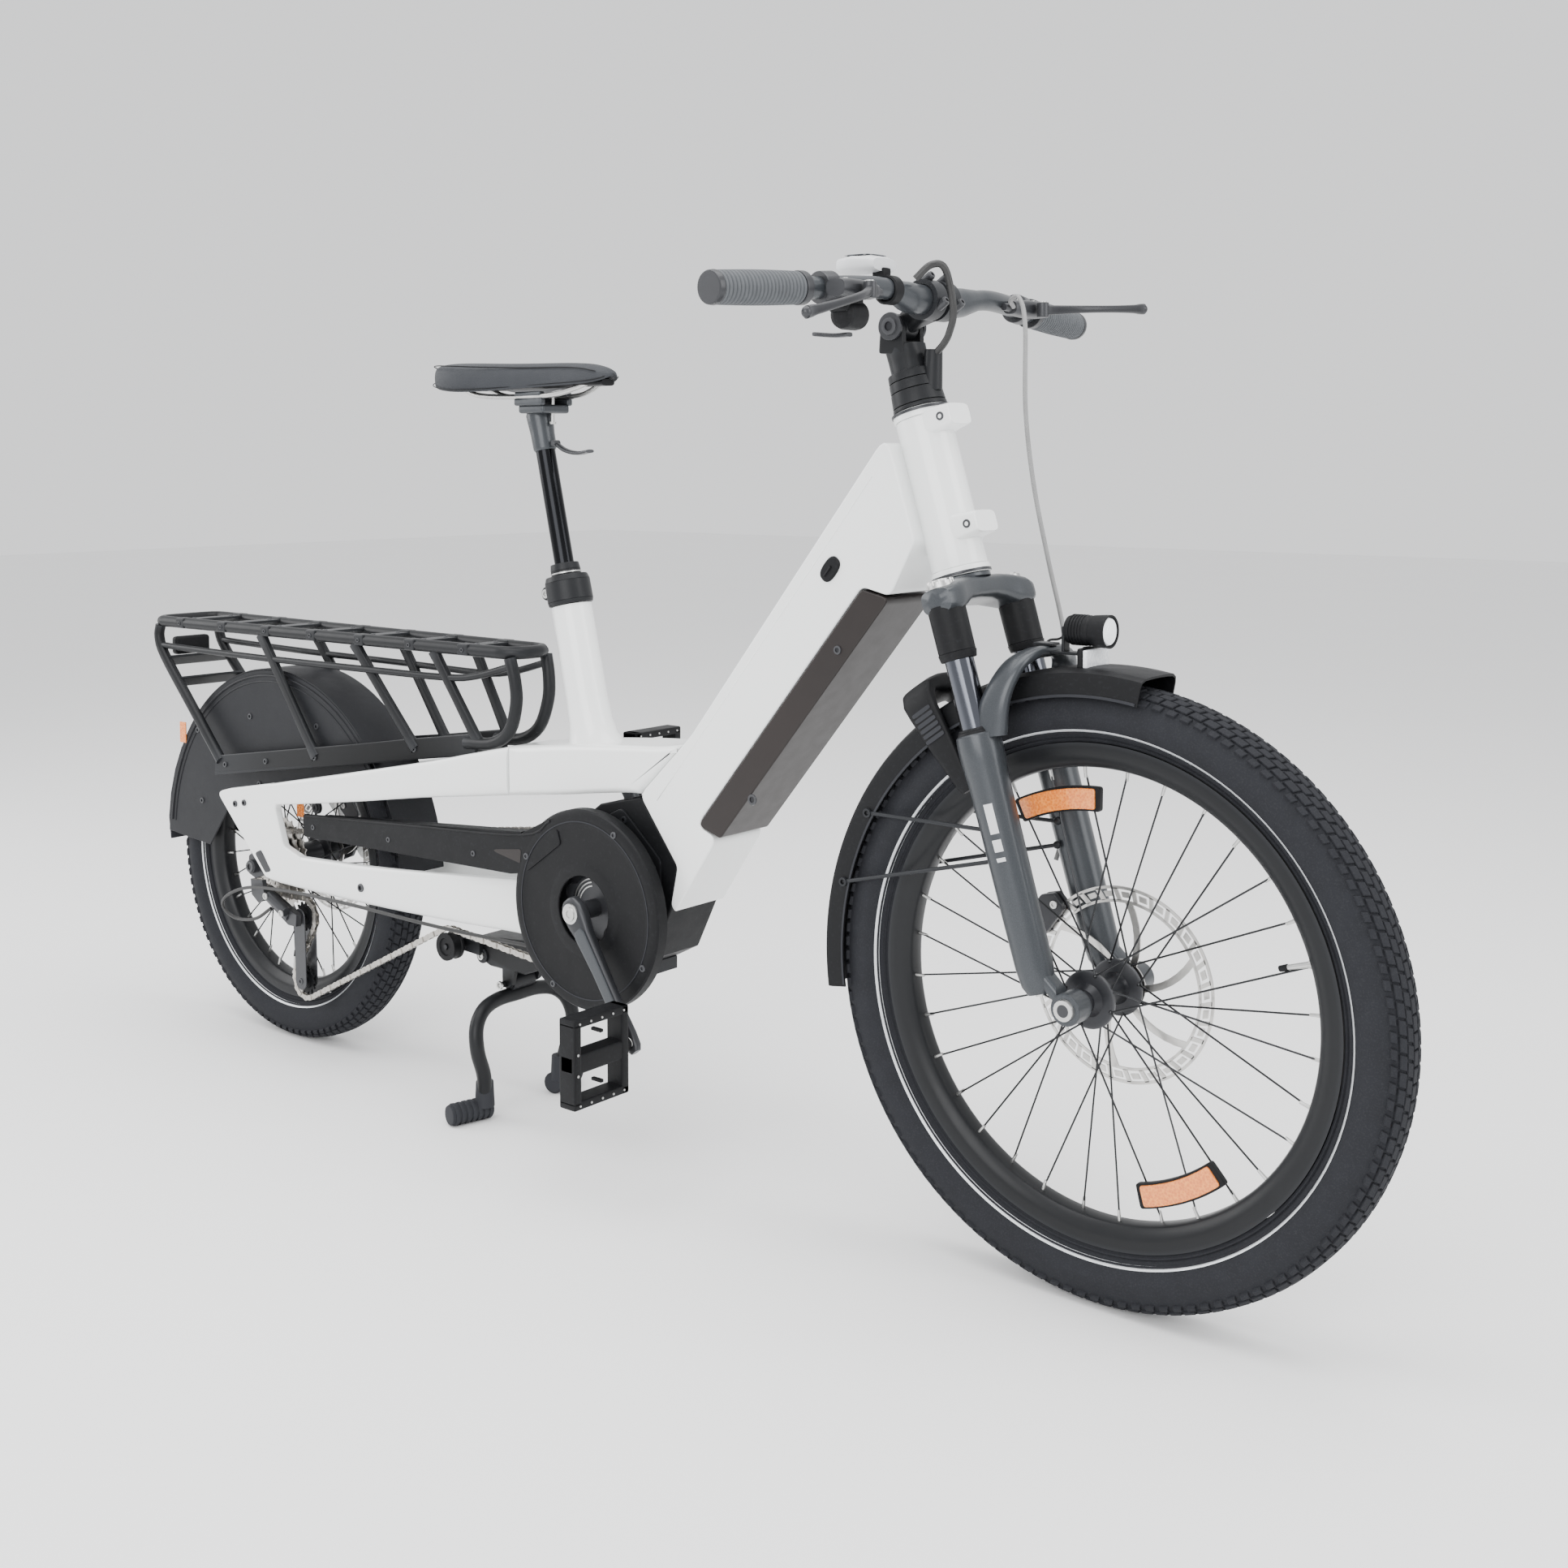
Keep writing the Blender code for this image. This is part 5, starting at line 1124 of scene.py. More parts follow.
def draw_pedal(side, hand, centre):
    """Platform pedal hanging on edge: a cage with two windows, a core and traction pins."""
    body = f"pedal_{hand[0]}"
    made = Shape()

    def bar(y0, z0, y1, z1, thick=0.0125, soft=0.0022):
        made.block((centre.x - thick, min(y0, y1), centre.z + min(z0, z1)),
                   (centre.x + thick, max(y0, y1), centre.z + max(z0, z1)), soft)

    inner, outer = side * 0.1185, side * 0.2055
    for z in (-0.0515, 0.0415):
        bar(inner, z, outer, z + 0.0100)
    bar(inner, -0.0515, side * 0.1300, 0.0515)
    bar(side * 0.1940, -0.0470, outer, 0.0470)
    bar(inner, -0.0115, outer, 0.0115, 0.0118, 0.0035)
    for z in (-0.031, 0.027):
        bar(side * 0.155, z, side * 0.160, z + 0.004, 0.0080, 0.0010)
    made.rod((centre.x, side * 0.1085, centre.z), (centre.x, side * 0.122, centre.z), 0.0075, 0.0090, 24)
    made.done(f"pedal_cage_{hand}", MOULDED, body, [f"pedal_{hand}"], "black_plastic")
    pins = Shape()
    for z in (-0.0465, 0.0465):
        for k in range(5):
            y = side * (0.127 + 0.0175 * k)
            for face in (-1, 1):
                pins.rod((centre.x + face * 0.0120, y, centre.z + z), (centre.x + face * 0.0134, y, centre.z + z),
                         0.0016, 0.0013, 8)
    for z in (-0.012, 0.012):
        pins.rod((centre.x - 0.0132, side * 0.2000, centre.z + z), (centre.x + 0.0132, side * 0.2000, centre.z + z),
                 0.0016, 0.0016, 8)
    pins.done(f"pedal_pins_{hand}", STEEL, body, slot="black_plastic")


def draw_chain_guard():
    made = Shape()
    made.ring([(0.1222, -0.0562), (0.1222, -0.0700), (0.1205, -0.0722), (0.1150, -0.0742), (0.1040, -0.0736),
               (0.1000, -0.0722), (0.0600, -0.0722), (0.0560, -0.0742), (0.0430, -0.0742), (0.0422, -0.0735),
               (0.0422, -0.0716), (0.1120, -0.0712), (0.1196, -0.0690), (0.1196, -0.0562)], CRANK, 96)
    outline = [(0.112, 0.3200), (0.112, 0.3520), (0.560, 0.3840), (0.618, 0.4120), (0.6300, 0.3800), (0.566, 0.3350),
               (0.540, 0.3300)]
    made.plate(rounded(outline, 0.006), -0.0738, -0.0702, 0.0010)
    made.tube(smoothed([(0.118, -0.0735, 0.3500), (0.340, -0.0735, 0.3655), (0.560, -0.0735, 0.3820),
                        (0.612, -0.0735, 0.4060)], 5), 0.0018, 8)
    made.plate([(0.150, 0.3508), (0.150, 0.3532), (0.560, 0.3858), (0.560, 0.3830)], -0.0738, -0.0562, 0.0004)
    made.done("guard_disc", MOULDED, "frame", ["chain_guard"], "black_plastic", smooth=30)
    lines = Shape()
    lines.ring([(0.1085, -0.0738), (0.1085, -0.0744), (0.1072, -0.0744), (0.1072, -0.0738)], CRANK, 96)
    lines.done("guard_rim_line", FLAP_GREY, "frame", slot="black_plastic")
    recess = Shape()
    recess.plate(rounded([(0.500, 0.3560), (0.560, 0.3640), (0.558, 0.3460)], 0.003), -0.0742, -0.0734, 0.0002)
    recess.done("guard_recess", BATTERY, "frame", slot="black_plastic")
    screws = Shape()
    for degrees in (62, 152, 242, 332):
        at = polar(CRANK, 0.1120, degrees)
        screws.bolt((at.x, -0.0740, at.z), (0, -1, 0), 0.0042, 0.0012)
    for x in (0.135, 0.300, 0.470):
        screws.bolt((x, -0.0736, 0.336 + (x - 0.135) * 0.03), (0, -1, 0), 0.0038, 0.0012)
    screws.done("guard_screws", ALLOY, "frame", slot="black_plastic")


def draw_cassette():
    made = Shape()
    for teeth, tip, y in ((34, 0.0698, -0.0345), (28, 0.0600, -0.0381), (22, 0.0500, -0.0418), (18, 0.0400, -0.0460),
                          (15, 0.0330, -0.0505), (12, 0.0270, -0.0550)):
        made.take(toothed(REAR, teeth, tip - 0.0042, tip, y - 0.0009, y + 0.0009))
    made.crosswise(REAR, -0.0598, -0.0335, 0.0205, 36, 0.0010)
    made.done("sprockets_toothed", CHAIN_STEEL, "sprockets", ["cassette"], "steel")


def draw_derailleur():
    made = Shape().cad("derailleur", 0.0010, 2, 30)
    made.rod((0.030, -0.0745, 0.224), (0.070, -0.0745, 0.206), 0.0085, 0.0075, 20, 0.0015)
    made.rod((0.030, -0.0660, 0.214), (0.066, -0.0660, 0.196), 0.0065, 0.0065, 20, 0.0015)
    made.done("derailleur_arm", ALLOY, "frame", ["derailleur"], "black_alloy")
    pivots = Shape()
    for x, z in ((0.008, 0.222), (0.032, 0.2245), (0.069, 0.2055)):
        pivots.bolt((x, -0.0700 if x < 0.02 else -0.0825, z), (0, -1, 0), 0.0052, 0.0014)
    pivots.done("derailleur_pins", STEEL, "frame", slot="black_alloy")
    cage = Shape()
    for y in (CHAIN_Y - 0.0104, CHAIN_Y + 0.0082):
        outline = arc(GUIDE, 0.0125, 10, 170, 8) + arc(TENSION, 0.0125, 190, 350, 8)
        cage.plate(outline, y, y + 0.0020, 0.0005, 1)
    for place in (GUIDE, TENSION):
        cage.crosswise(place, CHAIN_Y - 0.0100, CHAIN_Y + 0.0098, 0.0030, 16)
        cage.bolt((place.x, CHAIN_Y - 0.0104, place.z), (0, -1, 0), 0.0048, 0.0012)
    cage.done("cage_plates", ALLOY, "cage", ["derailleur_cage"], "black_alloy")
    for node, body, place in (("jockey_upper", "guide_wheel", GUIDE), ("jockey_lower", "tension_wheel", TENSION)):
        wheel = Shape()
        wheel.take(toothed(place, 13, GUIDE_R - 0.0040, GUIDE_R, CHAIN_Y - 0.0015, CHAIN_Y + 0.0015))
        wheel.ring([(0.0120, CHAIN_Y + 0.0030), (0.0120, CHAIN_Y - 0.0030), (0.0036, CHAIN_Y - 0.0030),
                    (0.0036, CHAIN_Y + 0.0030)], place, 32)
        wheel.done(f"{node}_toothed", MOULDED, body, [node], "black_plastic")
    roller = Shape()
    roller.ring([(0.0184, CHAIN_Y + 0.0088), (0.0184, CHAIN_Y + 0.0055), (0.0168, CHAIN_Y + 0.0045),
                 (0.0168, CHAIN_Y - 0.0045), (0.0184, CHAIN_Y - 0.0055), (0.0184, CHAIN_Y - 0.0088),
                 (0.0120, CHAIN_Y - 0.0088), (0.0110, CHAIN_Y - 0.0070), (0.0043, CHAIN_Y - 0.0070),
                 (0.0043, CHAIN_Y + 0.0088)], ROLLER, 48)
    roller.done("chain_roller_grooved", MOULDED, "chain_wheel", ["chain_roller"], "black_plastic")
    cable = Shape()
    cable.tube(smoothed([(0.560, -0.052, 0.236), (0.400, -0.075, 0.240), (0.240, -0.089, 0.246), (0.100, -0.092, 0.244),
                         (0.010, -0.094, 0.236), (-0.045, -0.094, 0.216), (-0.062, -0.090, 0.196),
                         (-0.040, -0.084, 0.182), (0.000, -0.078, 0.186), (0.034, -0.0745, 0.206)], 6), 0.0024, 10)
    cable.done("derailleur_cable", SHEATH, "frame", slot="cable")


# ---- stand ----------------------------------------------------------------------------------


def draw_stand():
    made = Shape().cad("stand_bracket", 0.0014, 2, 30)
    made.crosswise((0.428, 0, 0.196), -0.0250, -0.0200, 0.0100, 28, 0.0012)
    made.done("stand_bracket_body", BLACK, "frame", ["stand_bracket"], "black_paint")
    bolts = Shape()
    for x, z in ((0.428, 0.196), (0.470, 0.166), (0.545, 0.224)):
        bolts.bolt((x, -0.0300 if x == 0.470 else -0.0248 if x < 0.45 else -0.0220, z), (0, -1, 0), 0.0055, 0.0026)
    bolts.done("stand_bolts", STEEL, "frame", slot="black_paint")
    legs = Shape()
    half = [(0.470, 0.000, 0.1490), (0.470, 0.034, 0.1485), (0.474, 0.062, 0.1420), (0.480, 0.080, 0.1240),
            (0.486, 0.084, 0.0950), (0.484, 0.072, 0.0600), (0.478, 0.066, 0.0220)]
    left = [Vector(p) for p in half]
    path = smoothed([flip(p) for p in reversed(left[1:])] + left, 5)
    legs.tube(path, 0.0094, 18)
    legs.crosswise((0.470, 0, 0.166), -0.0150, 0.0230, 0.0110, 32, 0.0012)
    legs.done("stand_legs", BLACK, "centre_stand", ["stand"], "black_paint")
    feet = Shape()
    for side in (-1, 1):
        start, end = Vector((0.476, side * 0.055, 0.0143)), Vector((0.462, side * 0.112, 0.0143))
        feet.rod(start, end, 0.0128, None, 28, 0.0015)
        for k in range(7):
            a = start.lerp(end, 0.03 + 0.135 * k)
            feet.rod(a, a + (end - start).normalized() * 0.0052, 0.0143, None, 28, 0.0011)
        knee = Vector((0.479, side * 0.0665, 0.030))
        feet.rod(knee + Vector((0, 0, 0.022)), knee - Vector((0, 0, 0.012)), 0.0112, 0.0128, 24, 0.0015)
    feet.done("stand_feet", FLAP_GREY, "centre_stand", slot="black_plastic")


# ---- seat -----------------------------------------------------------------------------------


def draw_seat():
    collar = Shape()
    for low, high, radius, end in ((0.1855, 0.1905, 0.0275, 0.0288), (0.1905, 0.2150, 0.0288, 0.0285),
                                   (0.2150, 0.2220, 0.0285, 0.0262), (0.2220, 0.2290, 0.0186, 0.0190),
                                   (0.2290, 0.2375, 0.0190, 0.0178)):
        collar.rod(on_post(low), on_post(high), radius, end, 48, 0.0006)
    collar.rod(on_post(0.204, -0.021, -0.020), on_post(0.204, -0.021, 0.020), 0.0088, None, 24, 0.0016)
    collar.done("seat_collar", BLACK, "frame", ["seat_clamp"], "black_paint")
    bolt = Shape()
    bolt.bolt(on_post(0.204, -0.021, -0.0195), (0, -1, 0), 0.0062, 0.0022)
    bolt.rod(on_post(0.2245), on_post(0.2262), 0.0193, None, 48)
    bolt.done("seat_collar_bolt", STEEL, "frame", slot="black_paint")

    post = Shape().rod(on_post(0.088), on_post(0.392), 0.0124, None, 48, 0.0006)
    post.done("post_stanchion", POST_BLACK, "seat", ["seatpost"], "dark_chrome")
    head = Shape()
    head.loft([oval(on_post(along), SEAT_AHEAD, ACROSS, radius, radius, 40)
               for along, radius in ((0.383, 0.0132), (0.386, 0.0148), (0.404, 0.0152), (0.420, 0.0165),
                                     (0.430, 0.0172), (0.433, 0.0160))])
    head.crosswise(on_post(0.442), -0.0170, 0.0170, 0.0105, 32, 0.0012)
    for side in (-1, 1):
        low = Vector((0.503, side * 0.0235 - 0.0045, 0.9135))
        head.block(low, low + Vector((0.050, 0.009, 0.0095)), 0.0028, 3)
        low = Vector((0.505, side * 0.0235 - 0.0048, 0.9255))
        head.block(low, low + Vector((0.046, 0.0096, 0.0055)), 0.0020, 3)
    head.block((0.506, -0.0235, 0.9040), (0.552, 0.0235, 0.9150), 0.0035, 3)
    head.done("post_head", GRAPHITE, "seat", slot="dark_chrome")
    bolts = Shape()
    for x in (0.512, 0.545):
        bolts.rod((x, 0, 0.893), (x, 0, 0.928), 0.0026, None, 12)
        bolts.bolt((x, 0, 0.8935), (0, 0, -1), 0.0046, 0.0030)
    bolts.done("post_bolts", STEEL, "seat", slot="dark_chrome")

    rails = Shape()
    for side in (-1, 1):
        rails.tube(smoothed([(0.398, side * 0.0230, 0.9400), (0.430, side * 0.0235, 0.9290),
                             (0.480, side * 0.0235, 0.9255), (0.560, side * 0.0235, 0.9255),
                             (0.600, side * 0.0165, 0.9330), (0.628, side * 0.0080, 0.9440)], 5), 0.0034, 14)
    rails.done("saddle_rails", STEEL, "seat", slot="black_alloy")
    base = Shape()
    rings = []
    for x, half in ((0.378, 0.030), (0.392, 0.060), (0.430, 0.070), (0.480, 0.052), (0.530, 0.028), (0.610, 0.0190),
                    (0.643, 0.0110)):
        rings.append(oval((x, 0, 0.9400), ACROSS, (0, 0, 1), half, 0.0040, 28, 3))
    base.loft(rings)
    base.done("saddle_base", MOULDED, "seat", slot="black_plastic")

    cover = Shape()
    stations = (
        # x, half width, crown, shoulder, skirt
        (0.3710, 0.0180, 0.9590, 0.9560, 0.9480), (0.3745, 0.0390, 0.9650, 0.9610, 0.9440),
        (0.3860, 0.0600, 0.9700, 0.9640, 0.9380), (0.4080, 0.0715, 0.9712, 0.9640, 0.9330),
        (0.4350, 0.0735, 0.9705, 0.9625, 0.9300), (0.4620, 0.0650, 0.9695, 0.9610, 0.9300),
        (0.4900, 0.0500, 0.9685, 0.9600, 0.9315), (0.5180, 0.0365, 0.9680, 0.9590, 0.9335),
        (0.5500, 0.0285, 0.9675, 0.9585, 0.9350), (0.5850, 0.0240, 0.9668, 0.9580, 0.9362),
        (0.6150, 0.0212, 0.9645, 0.9560, 0.9375), (0.6380, 0.0180, 0.9595, 0.9520, 0.9395),
        (0.6490, 0.0120, 0.9545, 0.9500, 0.9430), (0.6520, 0.0060, 0.9505, 0.9490, 0.9460),
    )
    rings = []
    for x, half, crown, shoulder, skirt in stations:
        dip = 0.0016 if 0.40 < x < 0.60 else 0.0
        outline = [(0.0, crown - dip), (0.30, crown - dip * 0.4), (0.62, crown - (crown - shoulder) * 0.25),
                   (0.88, crown - (crown - shoulder) * 0.70), (0.985, shoulder - 0.004), (1.0, (shoulder + skirt) / 2),
                   (0.985, skirt + 0.003), (0.94, skirt), (0.80, skirt + 0.004), (0.40, skirt + 0.006),
                   (0.0, skirt + 0.006)]
        right = [Vector((x, -half * y, z)) for y, z in outline]
        left = [flip(p) for p in reversed(right[1:-1])]
        rings.append(right + left)
    cover.loft(rings)
    saddle = cover.done("saddle_cover", VINYL, "seat", ["saddle"], "vinyl", smooth=180, levels=2)
    seams = Shape()
    for side in (-1, 1):
        edge = [(x, side * half * 0.952, crown - (crown - shoulder) * 0.86 + 0.0004)
                for x, half, crown, shoulder, _ in stations[1:12]]
        seams.tube(smoothed(edge, 4), 0.0007, 8)
        hem = [(x, side * (half * 0.985 + 0.0002), skirt + 0.0042) for x, half, _, _, skirt in stations[1:13]]
        seams.tube(smoothed(hem, 4), 0.0006, 8)
    seams.done("saddle_seams", MOULDED, "seat", slot="vinyl")

    start = on_post(0.388, 0.020)
    lever = Shape()
    rings = []
    path = smoothed([start + Vector((-0.002, 0, 0.001)), start + Vector((0.018, 0, -0.009)),
                     start + Vector((0.040, 0, -0.0125)), start + Vector((0.061, 0, -0.0102))], 5)
    for i, p in enumerate(path):
        share = i / (len(path) - 1)
        rings.append(oval(p, ACROSS, (0, 0, 1), 0.0036 + 0.0034 * share, 0.0032 - 0.0010 * share, 20, 2.6))
    lever.loft(rings)
    lever.crosswise(start, -0.0055, 0.0055, 0.0040, 20, 0.0008)
    lever.done("post_lever", ALLOY, "dropper", ["dropper_lever"], "black_alloy")


# ---- fork -----------------------------------------------------------------------------------


def draw_crown():
    crown = Shape()
    rings = []
    for y, low, high, fore, half in ((-0.0835, -0.033, -0.017, LEG_FORE, 0.009), (-0.0800, -0.037, -0.012, LEG_FORE, 0.018),
                                     (-0.0660, -0.040, -0.008, LEG_FORE, 0.0225), (-0.0500, -0.037, -0.004, 0.013, 0.0215),
                                     (-0.0330, -0.030, -0.0014, 0.006, 0.0250), (-0.0150, -0.028, -0.0012, 0.002, 0.0290)):
        rings.append(oval(on_fork((low + high) / 2, fore, y), FORE, UP, half, (high - low) / 2, 32, 3.2))
    rings += [[flip(p) for p in ring] for ring in reversed(rings)]
    crown.loft(rings)
    crown.rod(on_fork(-0.004, 0), on_fork(0.0004, 0), 0.0300, 0.0300, 48, 0.0010)
    crown.done("crown_forging", GRAPHITE, "steerer", ["fork_crown"], "dark_chrome")
    tubes = Shape()
    for side in (-1, 1):
        tubes.rod(on_fork(-0.032, LEG_FORE, side * LEG_Y), on_fork(-0.254, LEG_FORE, side * LEG_Y), 0.0149, None, 48)
    tubes.done("stanchions", CHROME, "steerer", slot="dark_chrome")
    sleeves = Shape()
    for side in (-1, 1):
        for low, high, radius, end in ((-0.0300, -0.0780, 0.0196, 0.0192), (-0.0780, -0.0860, 0.0200, 0.0184)):
            sleeves.rod(on_fork(high, LEG_FORE, side * LEG_Y), on_fork(low, LEG_FORE, side * LEG_Y), end, radius, 40,
                        0.0008)
    sleeves.done("stanchion_sleeves", MOULDED, "steerer", slot="dark_chrome")
    column = Shape().rod(on_fork(-0.018, 0), on_fork(0.2550, 0), 0.0149, None, 40)
    column.done("steerer_tube", ALLOY, "steerer", slot="dark_chrome")
    caps = Shape()
    for side, radius in ((-1, 0.0140), (1, 0.0120)):
        top = on_fork(-0.0085, LEG_FORE, side * LEG_Y)
        caps.rod(top - UP * 0.003, top + UP * 0.0040, radius, radius * 0.94, 36, 0.0008)
        if side < 0:
            for k in range(12):
                angle = math.tau * k / 12
                spot = top + FORE * (0.0128 * math.cos(angle)) + ACROSS * (0.0128 * math.sin(angle))
                caps.rod(spot + UP * 0.0005, spot + UP * 0.0052, 0.0012, 0.0010, 8)
            caps.rod(top + UP * 0.004, top + UP * 0.0062, 0.0085, 0.0075, 24, 0.0006)
        else:
            caps.bolt(top + UP * 0.0040, UP, 0.0080, 0.0020)
    caps.done("fork_caps", STEEL, "steerer", slot="dark_chrome")


ARCH = ((1.2620, 0.000, 0.6520), (1.2600, 0.026, 0.6505), (1.2540, 0.050, 0.6390), (1.2440, 0.064, 0.6080),
        (1.2380, 0.067, 0.5700))


def draw_lowers():
    legs = Shape()
    for side in (-1, 1):
        y = side * LEG_Y
        rings = []
        for along, radius in ((-0.1620, 0.0205), (-0.1635, 0.0222), (-0.1760, 0.0232), (-0.1900, 0.0228),
                              (-0.2100, 0.0212), (-0.2600, 0.0204), (-0.3500, 0.0196), (-0.3960, 0.0190),
                              (-0.4140, 0.0172), (-0.4230, 0.0130)):
            rings.append(oval(on_fork(along, LEG_FORE, y), FORE, ACROSS, radius, radius, 40))
        legs.loft(rings)
        low, high = sorted((side * 0.0512, side * 0.0768))
        legs.crosswise(FRONT, low, high, 0.0163, 40, 0.0022)
        foot = on_fork(-0.392, LEG_FORE, y)
        rings = []
        for share, wide, deep in ((0.0, 0.0165, 0.0120), (0.4, 0.0140, 0.0110), (0.8, 0.0135, 0.0105)):
            rings.append(oval(foot.lerp(Vector((FRONT.x, y, FRONT.z)), share), ACROSS, UP, deep, wide, 28, 3))
        legs.loft(rings)
    half = smoothed(ARCH, 5)
    path = [flip(p) for p in reversed(half[1:])] + half
    rings = []
    for i, spot in enumerate(path):
        ahead = (path[min(i + 1, len(path) - 1)] - path[max(i - 1, 0)]).normalized()
        across = Vector((1, 0, 0.18)).normalized()
        over = ahead.cross(across).normalized()
        share = abs(i / (len(path) - 1) - 0.5) * 2
        rings.append(oval(spot, across, over, 0.0120 + 0.0090 * share ** 2, 0.0062 + 0.0024 * share ** 3, 24, 2.6))
    legs.loft(rings)
    legs.done("fork_castings", GRAPHITE, "lowers", ["fork_lowers"], "graphite")

    seals = Shape()
    for side in (-1, 1):
        top = on_fork(-0.1618, LEG_FORE, side * LEG_Y)
        seals.rod(top - UP * 0.002, top + UP * 0.0030, 0.0205, 0.0190, 40, 0.0008)
        seals.rod(top + UP * 0.0030, top + UP * 0.0056, 0.0186, 0.0172, 40, 0.0006)
    seals.done("fork_seals", MOULDED, "lowers", slot="black_plastic")

    bracket = Shape()
    bracket.block((1.252, -0.0085, 0.6585), (1.274, 0.0085, 0.6612), 0.0008)
    bracket.block((1.262, -0.0080, 0.6508), (1.3120, 0.0080, 0.6538), 0.0010)
    bracket.block((1.2835, -0.0058, 0.6530), (1.2870, 0.0058, 0.6790), 0.0010)
    bracket.block((1.3085, -0.0078, 0.6508), (1.3115, 0.0078, 0.6600), 0.0010)
    bracket.done("lamp_bracket", BLACK, "lowers", slot="black_paint")

    marks = Shape()
    for side in (-1, 1):
        for start, end, lean in ((-0.232, -0.262, 0.0), (-0.268, -0.280, 0.0), (-0.286, -0.290, 0.0)):
            rings = []
            for k in range(9):
                angle = math.radians(2 + 3.2 * k)
                out = ACROSS * (side * math.cos(angle)) + FORE * math.sin(angle)
                radius = 0.0206
                rings.append([on_fork(start, LEG_FORE, side * LEG_Y) + out * (radius + 0.0006),
                              on_fork(end, LEG_FORE, side * LEG_Y) + out * (radius - 0.0001),
                              on_fork(end, LEG_FORE, side * LEG_Y) + out * (radius - 0.0022),
                              on_fork(start, LEG_FORE, side * LEG_Y) + out * (radius - 0.0016)])
            marks.loft(rings)
    marks.done("fork_stripes", PALE, "lowers", slot="graphite")

    axle = Shape().crosswise(FRONT, -0.0805, 0.0805, 0.0069, 28, 0.0008)
    axle.done("front_through_axle", ALLOY, "lowers", ["front_axle"], "black_alloy")
    bolts = Shape()
    bolts.bolt((FRONT.x, -0.0768, FRONT.z), (0, -1, 0), 0.0112, 0.0036)
    bolts.bolt((FRONT.x, 0.0768, FRONT.z), (0, 1, 0), 0.0112, 0.0036)
    bolts.bolt(on_fork(-0.423, LEG_FORE, -LEG_Y), -UP, 0.0060, 0.0026)
    bolts.done("front_axle_bolts", STEEL, "lowers", slot="black_alloy")


def draw_mudguard():
    guard = Shape()
    section_line = [(0.3000, -0.0362), (0.3180, -0.0366), (0.3240, -0.0350), (0.3275, -0.0290), (0.3283, -0.0160),
                    (0.3286, 0.0)]
    outer = section_line + [(r, -y) for r, y in reversed(section_line[:-1])]
    inner = [(r - (0.0024 if abs(y) < 0.03 else 0.0014 if abs(y) < 0.0355 else 0.0), y * 0.955) for r, y in reversed(outer)]
    guard.ring(outer + inner, FRONT, 72, 108, 80)
    guard.done("front_guard", MOULDED, "lowers", ["front_mudguard"], "black_plastic")
    wires = Shape()
    for angle, foot_z in ((150, 0.4700), (166, 0.4450)):
        for side in (-1, 1):
            start = polar(FRONT, 0.3080, angle, side * 0.0362)
            foot = Vector((1.2520, side * 0.0430, foot_z))
            wires.tube([start, foot], 0.0022, 12)
            wires.bolt(start + ACROSS * side * 0.0010, (0, side, 0), 0.0052, 0.0024)
            wires.ball(foot, 0.0042, sides=16)
    wires.done("guard_wires", BLACK, "lowers", slot="black_plastic")
    edge = Shape()
    edge.ring([(0.3002, 0.0372), (0.3022, 0.0376), (0.3030, 0.0366), (0.3010, 0.0350)], FRONT, 60, 107, 80.5)
    edge.mirrored()
    edge.done("guard_hem", FLAP_GREY, "lowers", slot="black_plastic")


def draw_ring_lock():
    facing = Vector((math.cos(math.radians(125)), 0, math.sin(math.radians(125))))
    square = Vector((-facing.z, 0, facing.x))
    stations = ((0.236, 0.0425, 0.0036, 0.0050), (0.240, 0.0425, 0.0040, 0.0080), (0.262, 0.0427, 0.0042, 0.0112),
                (0.290, 0.0432, 0.0045, 0.0150), (0.330, 0.0438, 0.0049, 0.0188), (0.3440, 0.0415, 0.0062, 0.0208),
                (0.3515, 0.0350, 0.0085, 0.0218), (0.3533, 0.0220, 0.0100, 0.0225), (0.3535, 0.0110, 0.0116, 0.0228))
    path = [(r, -y, thick, wide) for r, y, thick, wide in stations]
    path += [(r, y, thick, wide) for r, y, thick, wide in reversed(stations)]
    spots = [FRONT + facing * r + ACROSS * y for r, y, _, _ in path]
    rings = []
    for i, (_, _, thick, wide) in enumerate(path):
        ahead = (spots[min(i + 1, len(path) - 1)] - spots[max(i - 1, 0)]).normalized()
        rings.append(oval(spots[i], square, ahead.cross(square).normalized(), wide, thick, 28, 3.4))
    lock = Shape().loft(rings)
    lock.done("lock_horseshoe", MOULDED, "lowers", ["ring_lock"], "black_plastic")
    ribs = Shape()
    for k in range(6):
        spot = FRONT + facing * (0.300 + 0.0062 * k) + ACROSS * -0.0436
        ribs.loft([oval(spot + ACROSS * shift, square, facing, 0.0130, 0.0022, 20, 5) for shift in (0.0, -0.0052)])
    ribs.done("lock_housing_ribs", FLAP_GREY, "lowers", slot="black_plastic")
    key = Shape()
    spot = FRONT + facing * 0.3640
    key.rod(spot - facing * 0.003, spot + facing * 0.0030, 0.0085, 0.0080, 32, 0.0008)
    key.done("lock_cylinder", STEEL, "lowers", slot="black_plastic")


